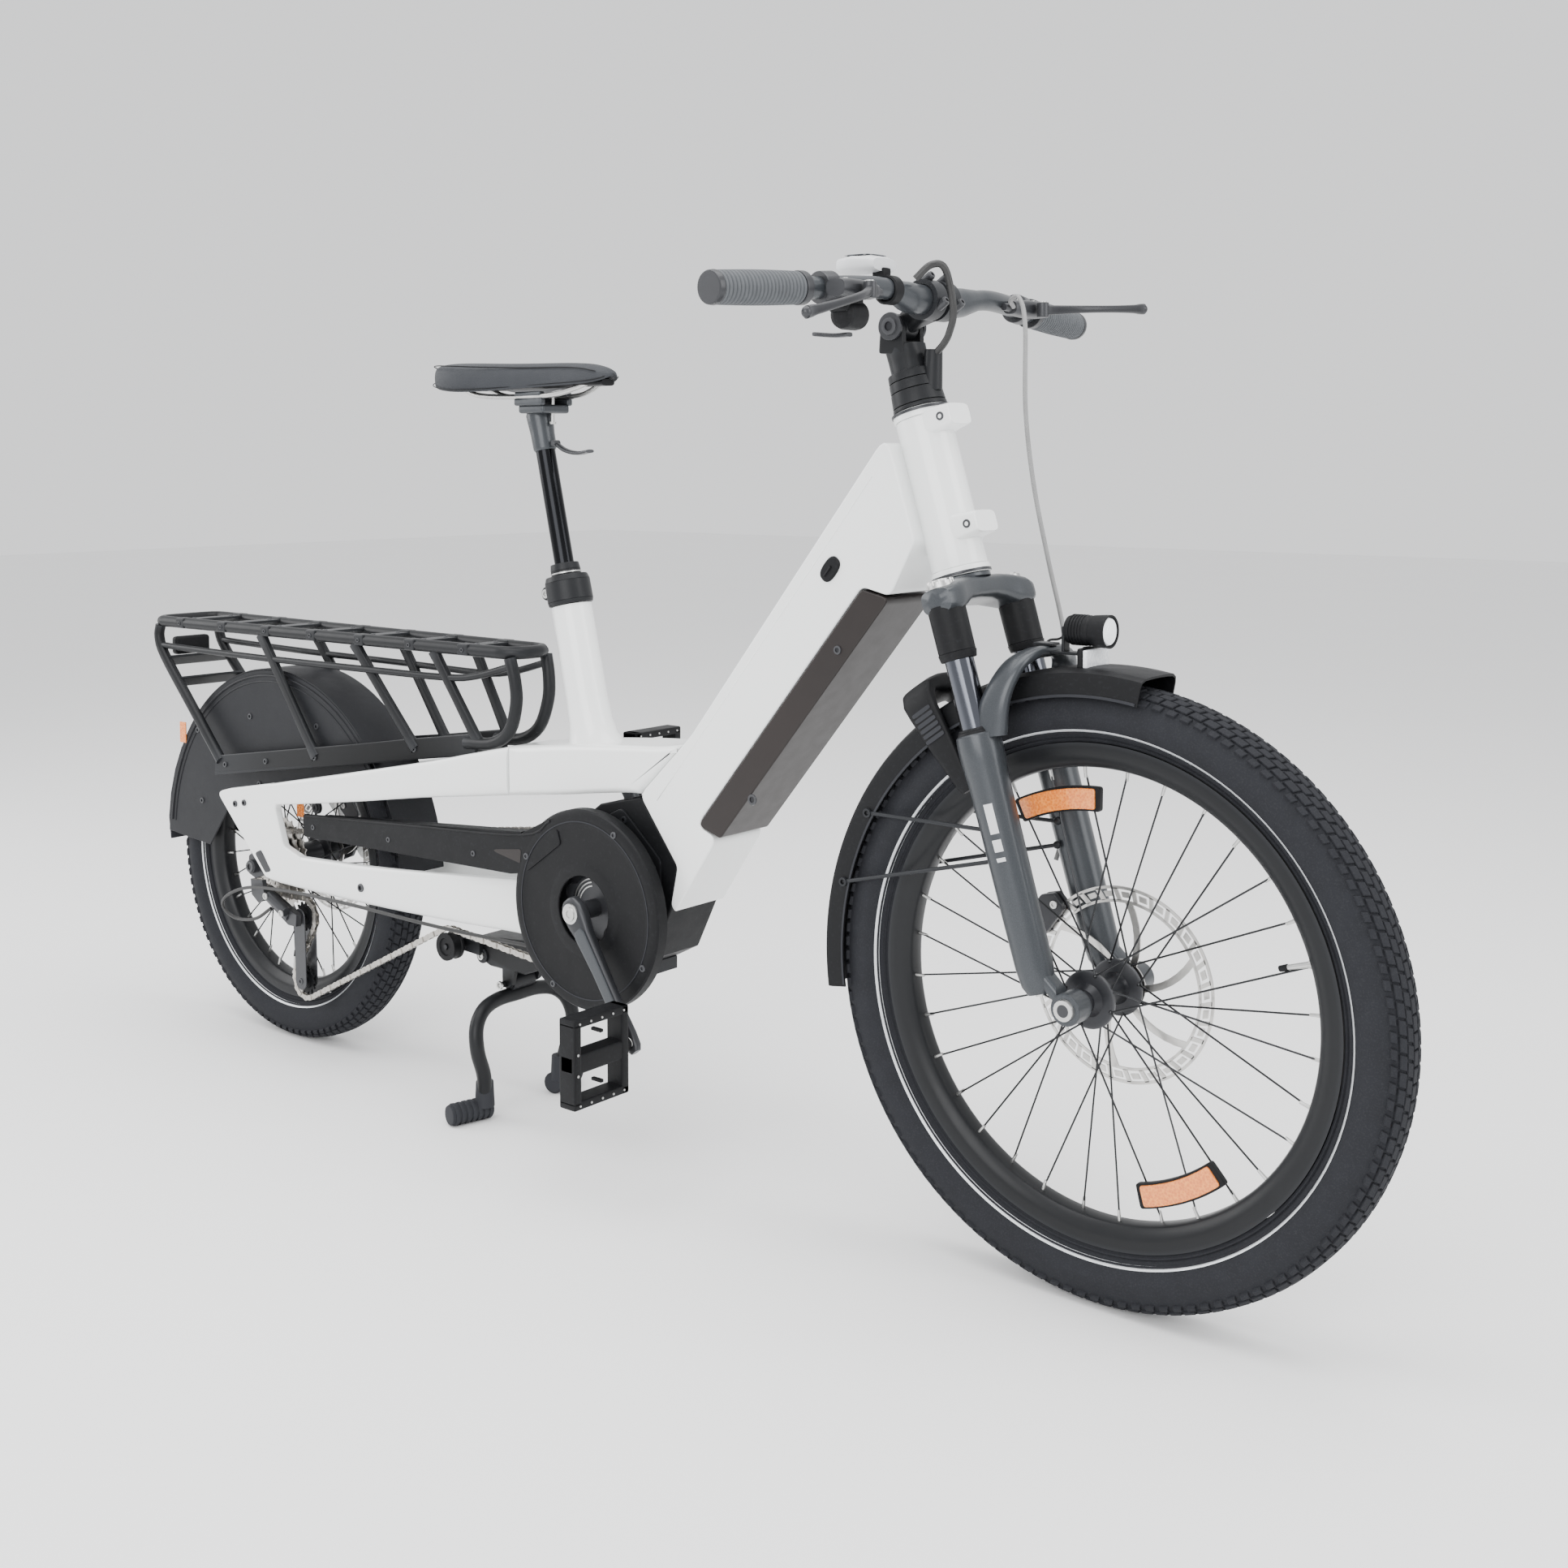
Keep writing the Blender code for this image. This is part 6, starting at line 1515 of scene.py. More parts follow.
def draw_caliper(name, node, at, turn, low, high, body, disc_y):
    """Brake caliper with its two bolts and pad slot."""
    c, s = math.cos(turn), math.sin(turn)

    def place(x, z):
        return at.x + x * c - z * s, at.z + x * s + z * c

    made = Shape()
    outline = [place(x, z) for x, z in ((-0.020, -0.0128), (0.020, -0.0128), (0.0238, 0.006), (0.012, 0.0158),
                                        (-0.012, 0.0158), (-0.0238, 0.006))]
    for one, two in ((low, disc_y - 0.0022), (disc_y + 0.0022, high)):
        made.plate(rounded(outline, 0.004), one, two, 0.0014)
    bridge = [place(x, z) for x, z in ((-0.010, 0.0062), (0.010, 0.0062), (0.010, 0.0150), (-0.010, 0.0150))]
    made.plate(bridge, disc_y - 0.003, disc_y + 0.003)
    made.done(name, ALLOY, body, [node], "black_alloy")
    bolts = Shape()
    for x, z in ((-0.0150, -0.002), (0.0150, -0.002)):
        px, pz = place(x, z)
        bolts.bolt((px, high, pz), (0, 1, 0), 0.0044, 0.0016)
        bolts.bolt((px, low, pz), (0, -1, 0), 0.0044, 0.0016)
    bolts.done(f"{name}_bolts", STEEL, body, slot="black_alloy")


def draw_lamp():
    shell = Shape()
    profile = ((-0.0170, 0.0090), (-0.0155, 0.0140), (-0.0120, 0.0150), (0.0080, 0.0153), (0.0090, 0.0146),
               (0.0110, 0.0146), (0.0120, 0.0156), (0.0240, 0.0166), (0.0300, 0.0168), (0.0300, 0.0152),
               (0.0262, 0.0146))
    rings = [oval((LAMP.x + x, 0, LAMP.z), ACROSS, (0, 0, 1), r, r, 48) for x, r in profile]
    shell.loft(rings)
    for k in range(5):
        x = LAMP.x - 0.011 + 0.0034 * k
        shell.rod((x, 0, LAMP.z), (x + 0.0014, 0, LAMP.z), 0.0157, None, 48)
    shell.done("lamp_shell", MOULDED, "lamp", ["headlight"], "black_plastic")
    lens = Shape()
    lens.rod((LAMP.x + 0.0255, 0, LAMP.z), (LAMP.x + 0.0297, 0, LAMP.z), 0.0145, 0.0132, 40, 0.0010)
    for ring in range(3):
        lens.rod((LAMP.x + 0.0290, 0, LAMP.z), (LAMP.x + 0.0299 + 0.0003 * ring, 0, LAMP.z), 0.0105 - 0.0034 * ring,
                 None, 32)
    lens.done("lamp_lens", LAMP_GLASS, "lamp", slot="black_plastic")
    reflector = Shape()
    reflector.block((1.3175, -0.0230, 0.6375), (1.3225, 0.0230, 0.6585), 0.0018, 3)
    reflector.done("front_reflector", CLEAR, "lowers", slot="black_plastic")
    holder = Shape()
    holder.block((1.3120, -0.0245, 0.6360), (1.3180, 0.0245, 0.6600), 0.0020, 3)
    holder.done("reflector_holder", MOULDED, "lowers", slot="black_plastic")
    lead = Shape()
    lead.tube(smoothed([(1.2890, 0.004, 0.6760), (1.2800, 0.008, 0.6690), (1.2700, 0.012, 0.6640),
                        (1.2560, 0.016, 0.6610), (1.2480, 0.018, 0.6500)], 5), 0.0013, 8)
    lead.done("lamp_lead", SHEATH, "lowers", slot="cable")


# ---- wheels ---------------------------------------------------------------------------------
TYRE_SIDE = ((0.0597, 0.0150), (0.0560, 0.0172), (0.0520, 0.0192), (0.0460, 0.0240), (0.0400, 0.0284),
             (0.0340, 0.0298), (0.0280, 0.0300), (0.0200, 0.0282), (0.0130, 0.0252), (0.0085, 0.0222),
             (0.0050, 0.0170), (0.0030, 0.0100), (0.0024, 0.0))


def draw_tyre(centre, radius, body, node, rows):
    half = [(radius - depth, y) for depth, y in TYRE_SIDE]
    outline = half + [(r, -y) for r, y in reversed(half[:-1])]
    inner = [(radius - 0.0590, -0.0135), (radius - 0.0500, -0.0165), (radius - 0.0400, -0.0240),
             (radius - 0.0250, -0.0262), (radius - 0.0080, -0.0120), (radius - 0.0060, 0.0)]
    inner += [(r, -y) for r, y in reversed(inner[:-1])]
    tyre = Shape().ring(outline + inner, centre, 144)
    for side in (-1, 1):
        for r in (0.0560, 0.0500):
            tyre.ring([(radius - r + 0.0012, side * (0.0182 + (0.0560 - r) * 0.75)),
                       (radius - r, side * (0.0194 + (0.0560 - r) * 0.75)),
                       (radius - r - 0.0012, side * (0.0178 + (0.0560 - r) * 0.75))], centre, 120)
    tyre.done(f"{node}_casing", TYRE, body, [node], "tyre")

    tread = Shape()
    pitch = math.tau / rows
    for k in range(rows):
        for y, wide, share, depth, late in ((0.0, 0.0046, 0.90, 0.0, 0.0), (0.0098, 0.0042, 0.84, 0.0008, 0.5),
                                            (-0.0098, 0.0042, 0.84, 0.0008, 0.5), (0.0182, 0.0040, 0.86, 0.0034, 0.0),
                                            (-0.0182, 0.0040, 0.86, 0.0034, 0.0), (0.0248, 0.0030, 0.62, 0.0088, 0.5),
                                            (-0.0248, 0.0030, 0.62, 0.0088, 0.5)):
            turn = pitch * (k + late)
            long = pitch * radius * share
            out = Vector((math.cos(turn), 0, math.sin(turn)))
            ahead = Vector((-out.z, 0, out.x))
            tilt = math.copysign(min(abs(y) / 0.0300, 1) ** 1.3, y) * 1.05
            normal = (out * math.cos(tilt) + ACROSS * math.sin(tilt)).normalized()
            across = (ACROSS * math.cos(tilt) - out * math.sin(tilt)).normalized()
            spot = centre + out * (radius - 0.0026 - depth) + ACROSS * y
            lean = 0.32 * (1 if y > 0 else -1) if y else 0.0
            rings = []
            for lift, shrink in ((-0.0018, 1.0), (0.0016, 0.96), (0.0024, 0.84)):
                rings.append([spot + normal * lift + ahead * (s * long / 2 * shrink + t * wide * lean) + across
                              * (t * wide * shrink) for s, t in ((1, 1), (-1, 1), (-1, -1), (1, -1))])
            tread.loft(rings)
    tread.done(f"{node}_tread", TYRE, body, slot="tyre", smooth=20)

    stripe = Shape()
    for side in (-1, 1):
        stripe.ring([(radius - 0.0466, side * 0.0238), (radius - 0.0464, side * 0.0243), (radius - 0.0504, side * 0.0210),
                     (radius - 0.0506, side * 0.0204)], centre, 144)
    stripe.done(f"{node}_stripe", STRIPE, body, slot="tyre")


def draw_rim(centre, radius, body, node, holes, valve_degrees):
    seat = radius - 0.0604
    profile = [(seat, 0.0165), (seat + 0.0003, 0.0172), (seat - 0.0040, 0.0176), (seat - 0.0100, 0.0180),
               (seat - 0.0160, 0.0165), (seat - 0.0235, 0.0112), (seat - 0.0255, 0.0070), (seat - 0.0257, 0.0)]
    profile += [(r, -y) for r, y in reversed(profile[:-1])]
    profile += [(seat - 0.0060, -0.0140), (seat - 0.0090, 0.0), (seat - 0.0060, 0.0140)]
    rim = Shape().ring(profile, centre, 144)
    rim.done(f"{node}_section", RIM_BLACK, body, [node], "black_paint")
    small = Shape()
    for k in range(holes):
        turn = 360 * (k + 0.5) / holes
        lean = 0.0030 if k % 2 else -0.0030
        base = polar(centre, seat - 0.0256, turn, lean)
        out = (polar(centre, 1, turn) - Vector((centre.x, 0, centre.z))).normalized()
        small.rod(base + out * 0.0010, base - out * 0.0110, 0.0020, 0.0016, 10)
    base = polar(centre, seat - 0.0256, valve_degrees)
    inward = (Vector((centre.x, 0, centre.z)) - base).normalized()
    small.rod(base - inward * 0.001, base + inward * 0.0030, 0.0050, 0.0046, 18)
    small.rod(base + inward * 0.0030, base + inward * 0.0280, 0.0030, 0.0027, 14)
    small.done(f"{node}_nipples", STEEL, body, slot="steel")
    cap = Shape()
    cap.rod(base + inward * 0.0260, base + inward * 0.0350, 0.0036, 0.0028, 14, 0.0005)
    cap.done(f"{node}_valve_cap", MOULDED, body, slot="black_plastic")


def draw_hub(centre, body, node, profile, flanges, rim_radius, count):
    """Hub shell and a spoke to every other rim hole from each flange, laced three-cross."""
    hub = Shape().ring(profile, centre, 64)
    hub.done(f"{node}_shell", ALLOY, body, [node], "black_alloy")
    spokes = Shape()
    half = count // 2
    for flange, (flange_y, flange_r) in enumerate(flanges):
        for i in range(half):
            number = 2 * i + flange
            rim_turn = 360 * (number + 0.5) / count
            trailing = 1 if i % 2 else -1
            cross = 360 / half * 3.05 * 0.5 * trailing
            start = polar(centre, flange_r, rim_turn + cross * 1.0, flange_y)
            outward = math.copysign(0.0016, flange_y) * (1 if i % 4 < 2 else -1)
            start.y += outward
            end = polar(centre, rim_radius, rim_turn, math.copysign(0.0030, flange_y) * -1 * (1 if number % 2 == 0 else 1))
            end.y = 0.0030 if number % 2 else -0.0030
            spokes.rod(start, end, 0.0010, None, 8)
            spokes.ball(start, 0.0020, sides=8)
    spokes.done(f"{node}_spokes", SPOKE, body, slot="black_alloy")


def draw_rotor(centre, y, radius, body, node):
    """Slotted and drilled disc on curved arms, bolted to the hub."""
    ring_width = 0.0165
    disc = Shape()
    disc.ring([(radius, y + 0.0009), (radius, y - 0.0009), (radius - 0.0030, y - 0.0009), (radius - 0.0030, y + 0.0009)],
              centre, 96)
    disc.ring([(radius - ring_width + 0.0028, y + 0.0009), (radius - ring_width + 0.0028, y - 0.0009),
               (radius - ring_width, y - 0.0009), (radius - ring_width, y + 0.0009)], centre, 96)
    bridges = 30
    for k in range(bridges):
        for degrees, low, high, wide in ((360 * k / bridges, radius - ring_width + 0.0020, radius - 0.0020, 0.0046),
                                         (360 * (k + 0.5) / bridges, radius - ring_width + 0.0055, radius - 0.0055, 0.0085)):
            turn = math.radians(degrees)
            out = Vector((math.cos(turn), 0, math.sin(turn)))
            ahead = Vector((-out.z, 0, out.x))
            skew = 0.35
            points = []
            for r, s in ((low, 1), (high, 1), (high, -1), (low, -1)):
                p = centre + out * r + ahead * (s * wide / 2 + (r - radius) * skew)
                points.append((p.x, p.z))
            disc.plate(points, y - 0.0009, y + 0.0009)
    disc.ring([(0.0262, y + 0.0009), (0.0262, y - 0.0009), (0.0200, y - 0.0009), (0.0200, y + 0.0009)], centre, 48)
    for k in range(6):
        path = []
        for i in range(7):
            share = i / 6
            path.append(polar(centre, 0.024 + (radius - ring_width - 0.0225) * share, 60 * k + 26 * share, 0))
        left, right = [], []
        for i, p in enumerate(path):
            ahead = (path[min(i + 1, 6)] - path[max(i - 1, 0)]).normalized()
            side = Vector((-ahead.z, 0, ahead.x)) * 0.0036
            left.append((p.x + side.x, p.z + side.z))
            right.append((p.x - side.x, p.z - side.z))
        disc.plate(left + right[::-1], y - 0.0008, y + 0.0008)
    disc.done(f"{node}_disc", turned_steel(f"{node}_turned", centre), body, [node], "steel")
    bolts = Shape()
    for k in range(6):
        bolts.bolt(polar(centre, 0.0228, 60 * k + 10, y + 0.0009), (0, 1, 0), 0.0035, 0.0012)
    bolts.done(f"{node}_bolts", STEEL, body, slot="steel")


def draw_reflectors(centre, body, name, degrees, radius, y):
    """Spoke reflectors: long curved lenses in clips."""
    lenses, clips = Shape(), Shape()
    for turn in degrees:
        for shape, half, tall, low, high in ((clips, 14.0, 0.0125, y - 0.0040, y + 0.0040),
                                             (lenses, 12.6, 0.0105, y - 0.0056, y + 0.0056)):
            inner = arc(centre, radius - tall, turn - half, turn + half, 12)
            outer = arc(centre, radius + tall, turn + half, turn - half, 12)
            shape.plate(rounded(inner + outer, 0.003, 3), low, high, 0.0012)
    lenses.done(f"{name}_lenses", ORANGE, body, slot="black_plastic")
    clips.done(f"{name}_clips", MOULDED, body, slot="black_plastic")


def draw_wheels():
    draw_tyre(FRONT, FRONT_R, "front_wheel", "front_tyre", 124)
    draw_rim(FRONT, FRONT_R, "front_wheel", "front_rim", 32, 17.5)
    profile = [(0.0118, 0.0488), (0.0120, 0.0390), (0.0188, 0.0388), (0.0190, 0.0290), (0.0282, 0.0282), (0.0290, 0.0270),
               (0.0290, 0.0256), (0.0270, 0.0246), (0.0165, 0.0215), (0.0142, 0.0160), (0.0138, 0.0),
               (0.0142, -0.0180), (0.0165, -0.0240), (0.0270, -0.0276), (0.0290, -0.0284), (0.0290, -0.0308),
               (0.0270, -0.0315), (0.0170, -0.0330), (0.0120, -0.0398), (0.0118, -0.0488), (0.0079, -0.0488),
               (0.0079, 0.0488)]
    draw_hub(FRONT, "front_wheel", "front_hub", profile, ((0.0268, 0.0262), (-0.0297, 0.0262)), FRONT_R - 0.0890, 32)
    draw_rotor(FRONT, 0.0375, 0.1010, "front_wheel", "front_rotor")
    draw_reflectors(FRONT, "front_wheel", "front_wheel", (103.7, -61.9), 0.197, -0.0110)
    draw_caliper("front_brake", "front_caliper", Vector((1.2480, 0, 0.3750)), math.radians(54), 0.0272, 0.0453,
                 "lowers", 0.0375)
    draw_tyre(REAR, REAR_R, "rear_wheel", "rear_tyre", 104)
    draw_rim(REAR, REAR_R, "rear_wheel", "rear_rim", 32, -95)
    profile = [(0.0118, 0.0698), (0.0120, 0.0580), (0.0188, 0.0575), (0.0190, 0.0378), (0.0292, 0.0368), (0.0300, 0.0355),
               (0.0300, 0.0340), (0.0285, 0.0326), (0.0205, 0.0290), (0.0185, 0.0180), (0.0185, -0.0120),
               (0.0205, -0.0200), (0.0285, -0.0226), (0.0300, -0.0238), (0.0300, -0.0262), (0.0285, -0.0272),
               (0.0160, -0.0290), (0.0160, -0.0612), (0.0120, -0.0620), (0.0118, -0.0698), (0.0069, -0.0698),
               (0.0069, 0.0698)]
    draw_hub(REAR, "rear_wheel", "rear_hub", profile, ((0.0350, 0.0272), (-0.0250, 0.0272)), REAR_R - 0.0890, 32)
    draw_rotor(REAR, 0.0600, 0.0898, "rear_wheel", "rear_rotor")
    draw_caliper("rear_brake", "rear_caliper", Vector((0.0560, 0, 0.3290)), math.radians(-40), 0.0482, 0.0738,
                 "frame", 0.0600)


# ---- stem, bar and controls -----------------------------------------------------------------
BAR_HALF = ((1.122, 0.000, 1.0120), (1.122, 0.040, 1.0120), (1.126, 0.090, 1.0180), (1.121, 0.140, 1.0170),
            (1.112, 0.200, 1.0120), (1.101, 0.318, 1.0050))


def bar_point(y):
    for one, two in zip(BAR_HALF, BAR_HALF[1:]):
        if one[1] <= abs(y) <= two[1]:
            part = (abs(y) - one[1]) / (two[1] - one[1])
            place = Vector(one).lerp(Vector(two), part)
            return Vector((place.x, y, place.z))
    return Vector((BAR_HALF[-1][0], y, BAR_HALF[-1][2]))


def draw_stem():
    spacers = Shape()
    for low, high, radius, end in ((0.1846, 0.1890, 0.0292, 0.0288), (0.1895, 0.2050, 0.0286, 0.0274),
                                   (0.2055, 0.2160, 0.0272, 0.0266), (0.2165, 0.2255, 0.0264, 0.0258)):
        spacers.rod(on_fork(low, 0), on_fork(high, 0), radius, end, 56, 0.0010)
    spacers.rod(on_fork(0.200, 0.020), on_fork(0.240, 0.034), 0.0108, 0.0094, 28, 0.0016)
    column = [oval(on_fork(along, fore), FORE, ACROSS, deep, wide, 40, square)
              for along, fore, deep, wide, square in (
                  (0.2255, 0.0, 0.0214, 0.0214, 2), (0.2400, 0.0, 0.0208, 0.0206, 2.2),
                  (0.2530, 0.0, 0.0204, 0.0200, 2.6))]
    spacers.loft(column)
    for low, high in ((-0.0200, -0.0128), (0.0128, 0.0200)):
        cheek = [(STEM_PIVOT.x - 0.0170, 0.9580), (STEM_PIVOT.x - 0.0150, STEM_PIVOT.z), (STEM_PIVOT.x - 0.0100, STEM_PIVOT.z + 0.011),
                 (STEM_PIVOT.x, STEM_PIVOT.z + 0.0148), (STEM_PIVOT.x + 0.0100, STEM_PIVOT.z + 0.011),
                 (STEM_PIVOT.x + 0.0140, STEM_PIVOT.z), (STEM_PIVOT.x + 0.0150, 0.9560)]
        spacers.plate(rounded(cheek, 0.003, 3), low, high, 0.0014)
    spacers.crosswise(STEM_PIVOT, -0.0230, 0.0230, 0.0044, 24)
    spacers.done("stem_base", BLACK, "steerer", ["stem_column"], "black_paint")
    caps = Shape()
    for side in (-1, 1):
        caps.crosswise(STEM_PIVOT, *sorted((side * 0.0198, side * 0.0240)), 0.0150, 40, 0.0012)
        caps.bolt((STEM_PIVOT.x, side * 0.0236, STEM_PIVOT.z), (0, side, 0), 0.0098, 0.0022)
    caps.bolt(on_fork(0.236, -0.0205, 0.010), -FORE, 0.0036, 0.0024)
    caps.bolt(on_fork(0.247, -0.0200, 0.010), -FORE, 0.0036, 0.0024)
    caps.done("stem_pivot_caps", ALLOY, "steerer", slot="black_paint")

    head = Shape().crosswise(STEM_PIVOT, -0.0116, 0.0116, 0.0139, 40, 0.0012)
    reach = BAR - STEM_PIVOT
    along = reach.normalized()
    square = Vector((-along.z, 0, along.x))
    head.loft([oval(STEM_PIVOT + reach * part, ACROSS, square, half, high, 36, 3)
               for part, half, high in ((0.10, 0.0110, 0.0118), (0.35, 0.0116, 0.0125), (0.58, 0.0165, 0.0150),
                                        (0.74, 0.0205, 0.0168))])
    for low, high in ((-0.0218, -0.0030), (0.0030, 0.0218)):
        head.ring([(0.0212, high), (0.0212, low), (0.0161, low), (0.0161, high)], BAR, 48)
    head.done("stem_clamp", BLACK, "bars", ["stem_head"], "black_paint")
    bolts = Shape()
    for side in (-1, 1):
        for up in (-1, 1):
            spot = BAR + along * 0.0150 + square * (up * 0.0165) + ACROSS * side * 0.0145
            bolts.rod(spot - along * 0.006, spot + along * 0.0060, 0.0048, None, 20, 0.0008)
            bolts.bolt(spot + along * 0.0058, along, 0.0042, 0.0016)
    bolts.done("stem_bolts", ALLOY, "bars", slot="black_alloy")


def draw_bar():
    half = smoothed(BAR_HALF, 8)
    path = [flip(p) for p in reversed(half[1:])] + half
    bar = Shape()
    bar.tube(path, 0.0111, 28, taper=lambda t: 1.0 + 0.43 * max(0.0, min(1.0, (0.175 - abs(t - 0.5)) / 0.055)))
    bar.done("bar_tube", GRAPHITE, "bars", ["handlebar"], "black_paint")
    for side, hand in ((-1, "right"), (1, "left")):
        inner, outer = bar_point(side * 0.206), bar_point(side * 0.318)
        along = (outer - inner).normalized()
        whole = (outer - inner).length + 0.012
        square = along.cross(Vector((0, 0, 1))).normalized()
        over = along.cross(square)
        rings = []
        ribs = 22
        for k in range(ribs):
            for part, radius in ((0.00, 0.0152), (0.22, 0.0167), (0.72, 0.0167), (0.95, 0.0152)):
                share = (k + part) / ribs
                palm = 0.0008 * math.sin(math.pi * share)
                spot = inner + along * (0.009 + (whole - 0.016) * share)
                rings.append(oval(spot, square, over, radius + palm - 0.0005, radius + palm - 0.0005, 32))
        grip = Shape().loft(rings)
        grip.done(f"grip_sleeve_{hand}", GRIP, "bars", [f"grip_{hand}"], "grip")
        ends = Shape()
        ends.rod(inner - along * 0.0004, inner + along * 0.0088, 0.0168, None, 40, 0.0010)
        ends.rod(inner + along * (whole - 0.0072), inner + along * whole, 0.0169, 0.0160, 40, 0.0014)
        ends.bolt(inner + along * 0.0042 + square * 0.0162, square, 0.0024, 0.0012)
        ends.done(f"grip_clamps_{hand}", ALLOY, "bars", slot="grip")


def draw_controls():
    for side, hand, drop, reach in ((-1, "right", -0.030, 0.052), (1, "left", 0.006, 0.085)):
        at = bar_point(side * 0.176)
        along = (bar_point(side * 0.19) - bar_point(side * 0.15)).normalized()
        pivot = at + Vector((0.043, -side * 0.016, -0.004))
        clamp = Shape()
        clamp.rod(at - along * 0.0090, at + along * 0.0090, 0.0162, None, 40, 0.0014)
        rings = []
        for y, wide, tall in ((-0.0120, 0.0115, 0.0085), (0.000, 0.0130, 0.0098), (0.020, 0.0128, 0.0098),
                              (0.040, 0.0112, 0.0088), (0.050, 0.0085, 0.0070)):
            rings.append(oval(at + Vector((0.0220, -side * y, -0.002)), (1, 0, 0), (0, 0, 1), wide, tall, 28, 2.8))
        clamp.loft(rings)
        clamp.rod(at + Vector((0.0220, -side * 0.048, -0.002)), at + Vector((0.0215, -side * 0.062, -0.002)), 0.0052,
                  0.0040, 20, 0.0006)
        clamp.rod(pivot - Vector((0, 0, 0.0080)), pivot + Vector((0, 0, 0.0085)), 0.0066, None, 24, 0.0010)
        clamp.done(f"lever_body_{hand}", ALLOY, "bars", [f"lever_clamp_{hand}"], "black_alloy")
        bits = Shape()
        bits.bolt(pivot + Vector((0, 0, 0.0083)), (0, 0, 1), 0.0042, 0.0014)
        bits.bolt(at + Vector((0.0220, -side * 0.004, 0.0072)), (0, 0, 1), 0.0030, 0.0012)
        bits.bolt(at + Vector((0.0220, -side * 0.034, 0.0066)), (0, 0, 1), 0.0030, 0.0012)
        bits.bolt(at + Vector((-0.0162, 0, 0)), (-1, 0, 0), 0.0034, 0.0020)
        bits.done(f"lever_screws_{hand}", STEEL, "bars", slot="black_alloy")
        tip = Vector((pivot.x + reach - 0.030, side * 0.286, pivot.z + drop))
        knee = pivot.lerp(tip, 0.3) + Vector((0.012, 0, 0))
        path = smoothed([pivot, knee, pivot.lerp(tip, 0.7) + Vector((0.008, 0, 0)), tip], 6)
        rings = []
        for i, p in enumerate(path):
            share = i / (len(path) - 1)
            tall = 0.0056 - 0.0016 * math.sin(share * math.pi) + (0.0006 if share > 0.9 else 0)
            rings.append(oval(p, (1, 0, 0), (0, 0, 1), 0.0044, tall, 24, 2.6))
        blade = Shape().loft(rings)
        blade.ball(tip, 0.0056, (0.9, 1.0, 1.0), 20)
        blade.done(f"lever_blade_{hand}", ALLOY, f"lever_{hand}", [f"brake_lever_{hand}"], "black_alloy")

    at = bar_point(-0.176)
    shifter = Shape()
    low = at + Vector((0.0045, 0.0190, -0.0250))
    profile = ((0.0, 0.0100), (0.0020, 0.0138), (0.0060, 0.0150), (0.0240, 0.0150), (0.0290, 0.0140), (0.0320, 0.0100))
    shifter.loft([oval(low + ACROSS * y, (1, 0, 0), (0, 0, 1), r, r, 36) for y, r in profile])
    shifter.block(at + Vector((-0.0085, 0.0150, -0.0230)), at + Vector((0.0150, 0.0450, -0.0020)), 0.0035, 3)
    shifter.done("shifter_body", MOULDED, "bars", slot="black_plastic")
    dial = Shape()
    dial.loft([oval(low + Vector((-0.0128, 0.016, 0.0)) + Vector((-x, 0, 0)), ACROSS, (0, 0, 1), r, r, 32)
               for x, r in ((0.0, 0.0118), (0.0016, 0.0115), (0.0024, 0.0100))])
    dial.done("shifter_window", GLASS, "bars", slot="black_plastic")
    thumb = bar_point(-0.128) + Vector((-0.010, -0.008, -0.034))
    rings = []
    path = smoothed([(0.0035, 0.0, -0.0130), (-0.012, -0.004, -0.0135), (-0.030, -0.012, -0.0120)], 5)
    for i, p in enumerate(path):
        share = i / (len(path) - 1)
        rings.append(oval(thumb + p, ACROSS, (0, 0, 1), 0.0048 + 0.0012 * share, 0.0023, 20, 3))
    Shape().loft(rings).done("shift_paddle", ALLOY, "shifter", ["shift_lever"], "black_alloy")

    shell = Shape()
    rings = []
    for x, z, half, tall in ((1.0705, 1.0430, 0.0165, 0.0060), (1.0740, 1.0437, 0.0210, 0.0082),
                             (1.0920, 1.0448, 0.0255, 0.0088), (1.1120, 1.0440, 0.0240, 0.0086),
                             (1.1205, 1.0430, 0.0200, 0.0066)):
        rings.append(oval((x, -0.083, z), ACROSS, (0, 0, 1), half, tall, 36, 3.2))
    shell.loft(rings)
    shell.done("display_shell", PALE, "bars", ["display"], "housing")
    screen = Shape()
    screen.loft([oval((1.0955, -0.083, 1.0528 + lift), (1, 0, 0), ACROSS, 0.0175 * size, 0.0190 * size, 40, 4)
                 for lift, size in ((0.0, 1.0), (0.0008, 1.0), (0.0011, 0.96))])
    screen.done("display_screen", GLASS, "bars", slot="housing")
    strap = Shape()
    strap.ring([(0.0130, -0.0760), (0.0150, -0.0770), (0.0150, -0.0890), (0.0130, -0.0900), (0.0113, -0.0890),
                (0.0113, -0.0770)], Vector((bar_point(0.083).x, 0, bar_point(0.083).z)), 40)
    strap.block((1.108, -0.0890, 1.0240), (1.1240, -0.0770, 1.0400), 0.0020)
    strap.done("display_strap", MOULDED, "bars", slot="black_plastic")


def spare_length(points):
    return sum((b - a).length for a, b in zip(points, points[1:]))


def draw_free_cord(name, finish, body, route, radius, slot_name, replaces=(), per_span=6):
    """A hose or cable, drawn as a tube along a smoothed route."""
    path = smoothed(route, per_span)
    made = Shape().tube(path, radius, 14).done(name, finish, body, replaces, slot_name)
    path[0] + HOME
    spare_length(path)
    [p + HOME for p in path]
    return made


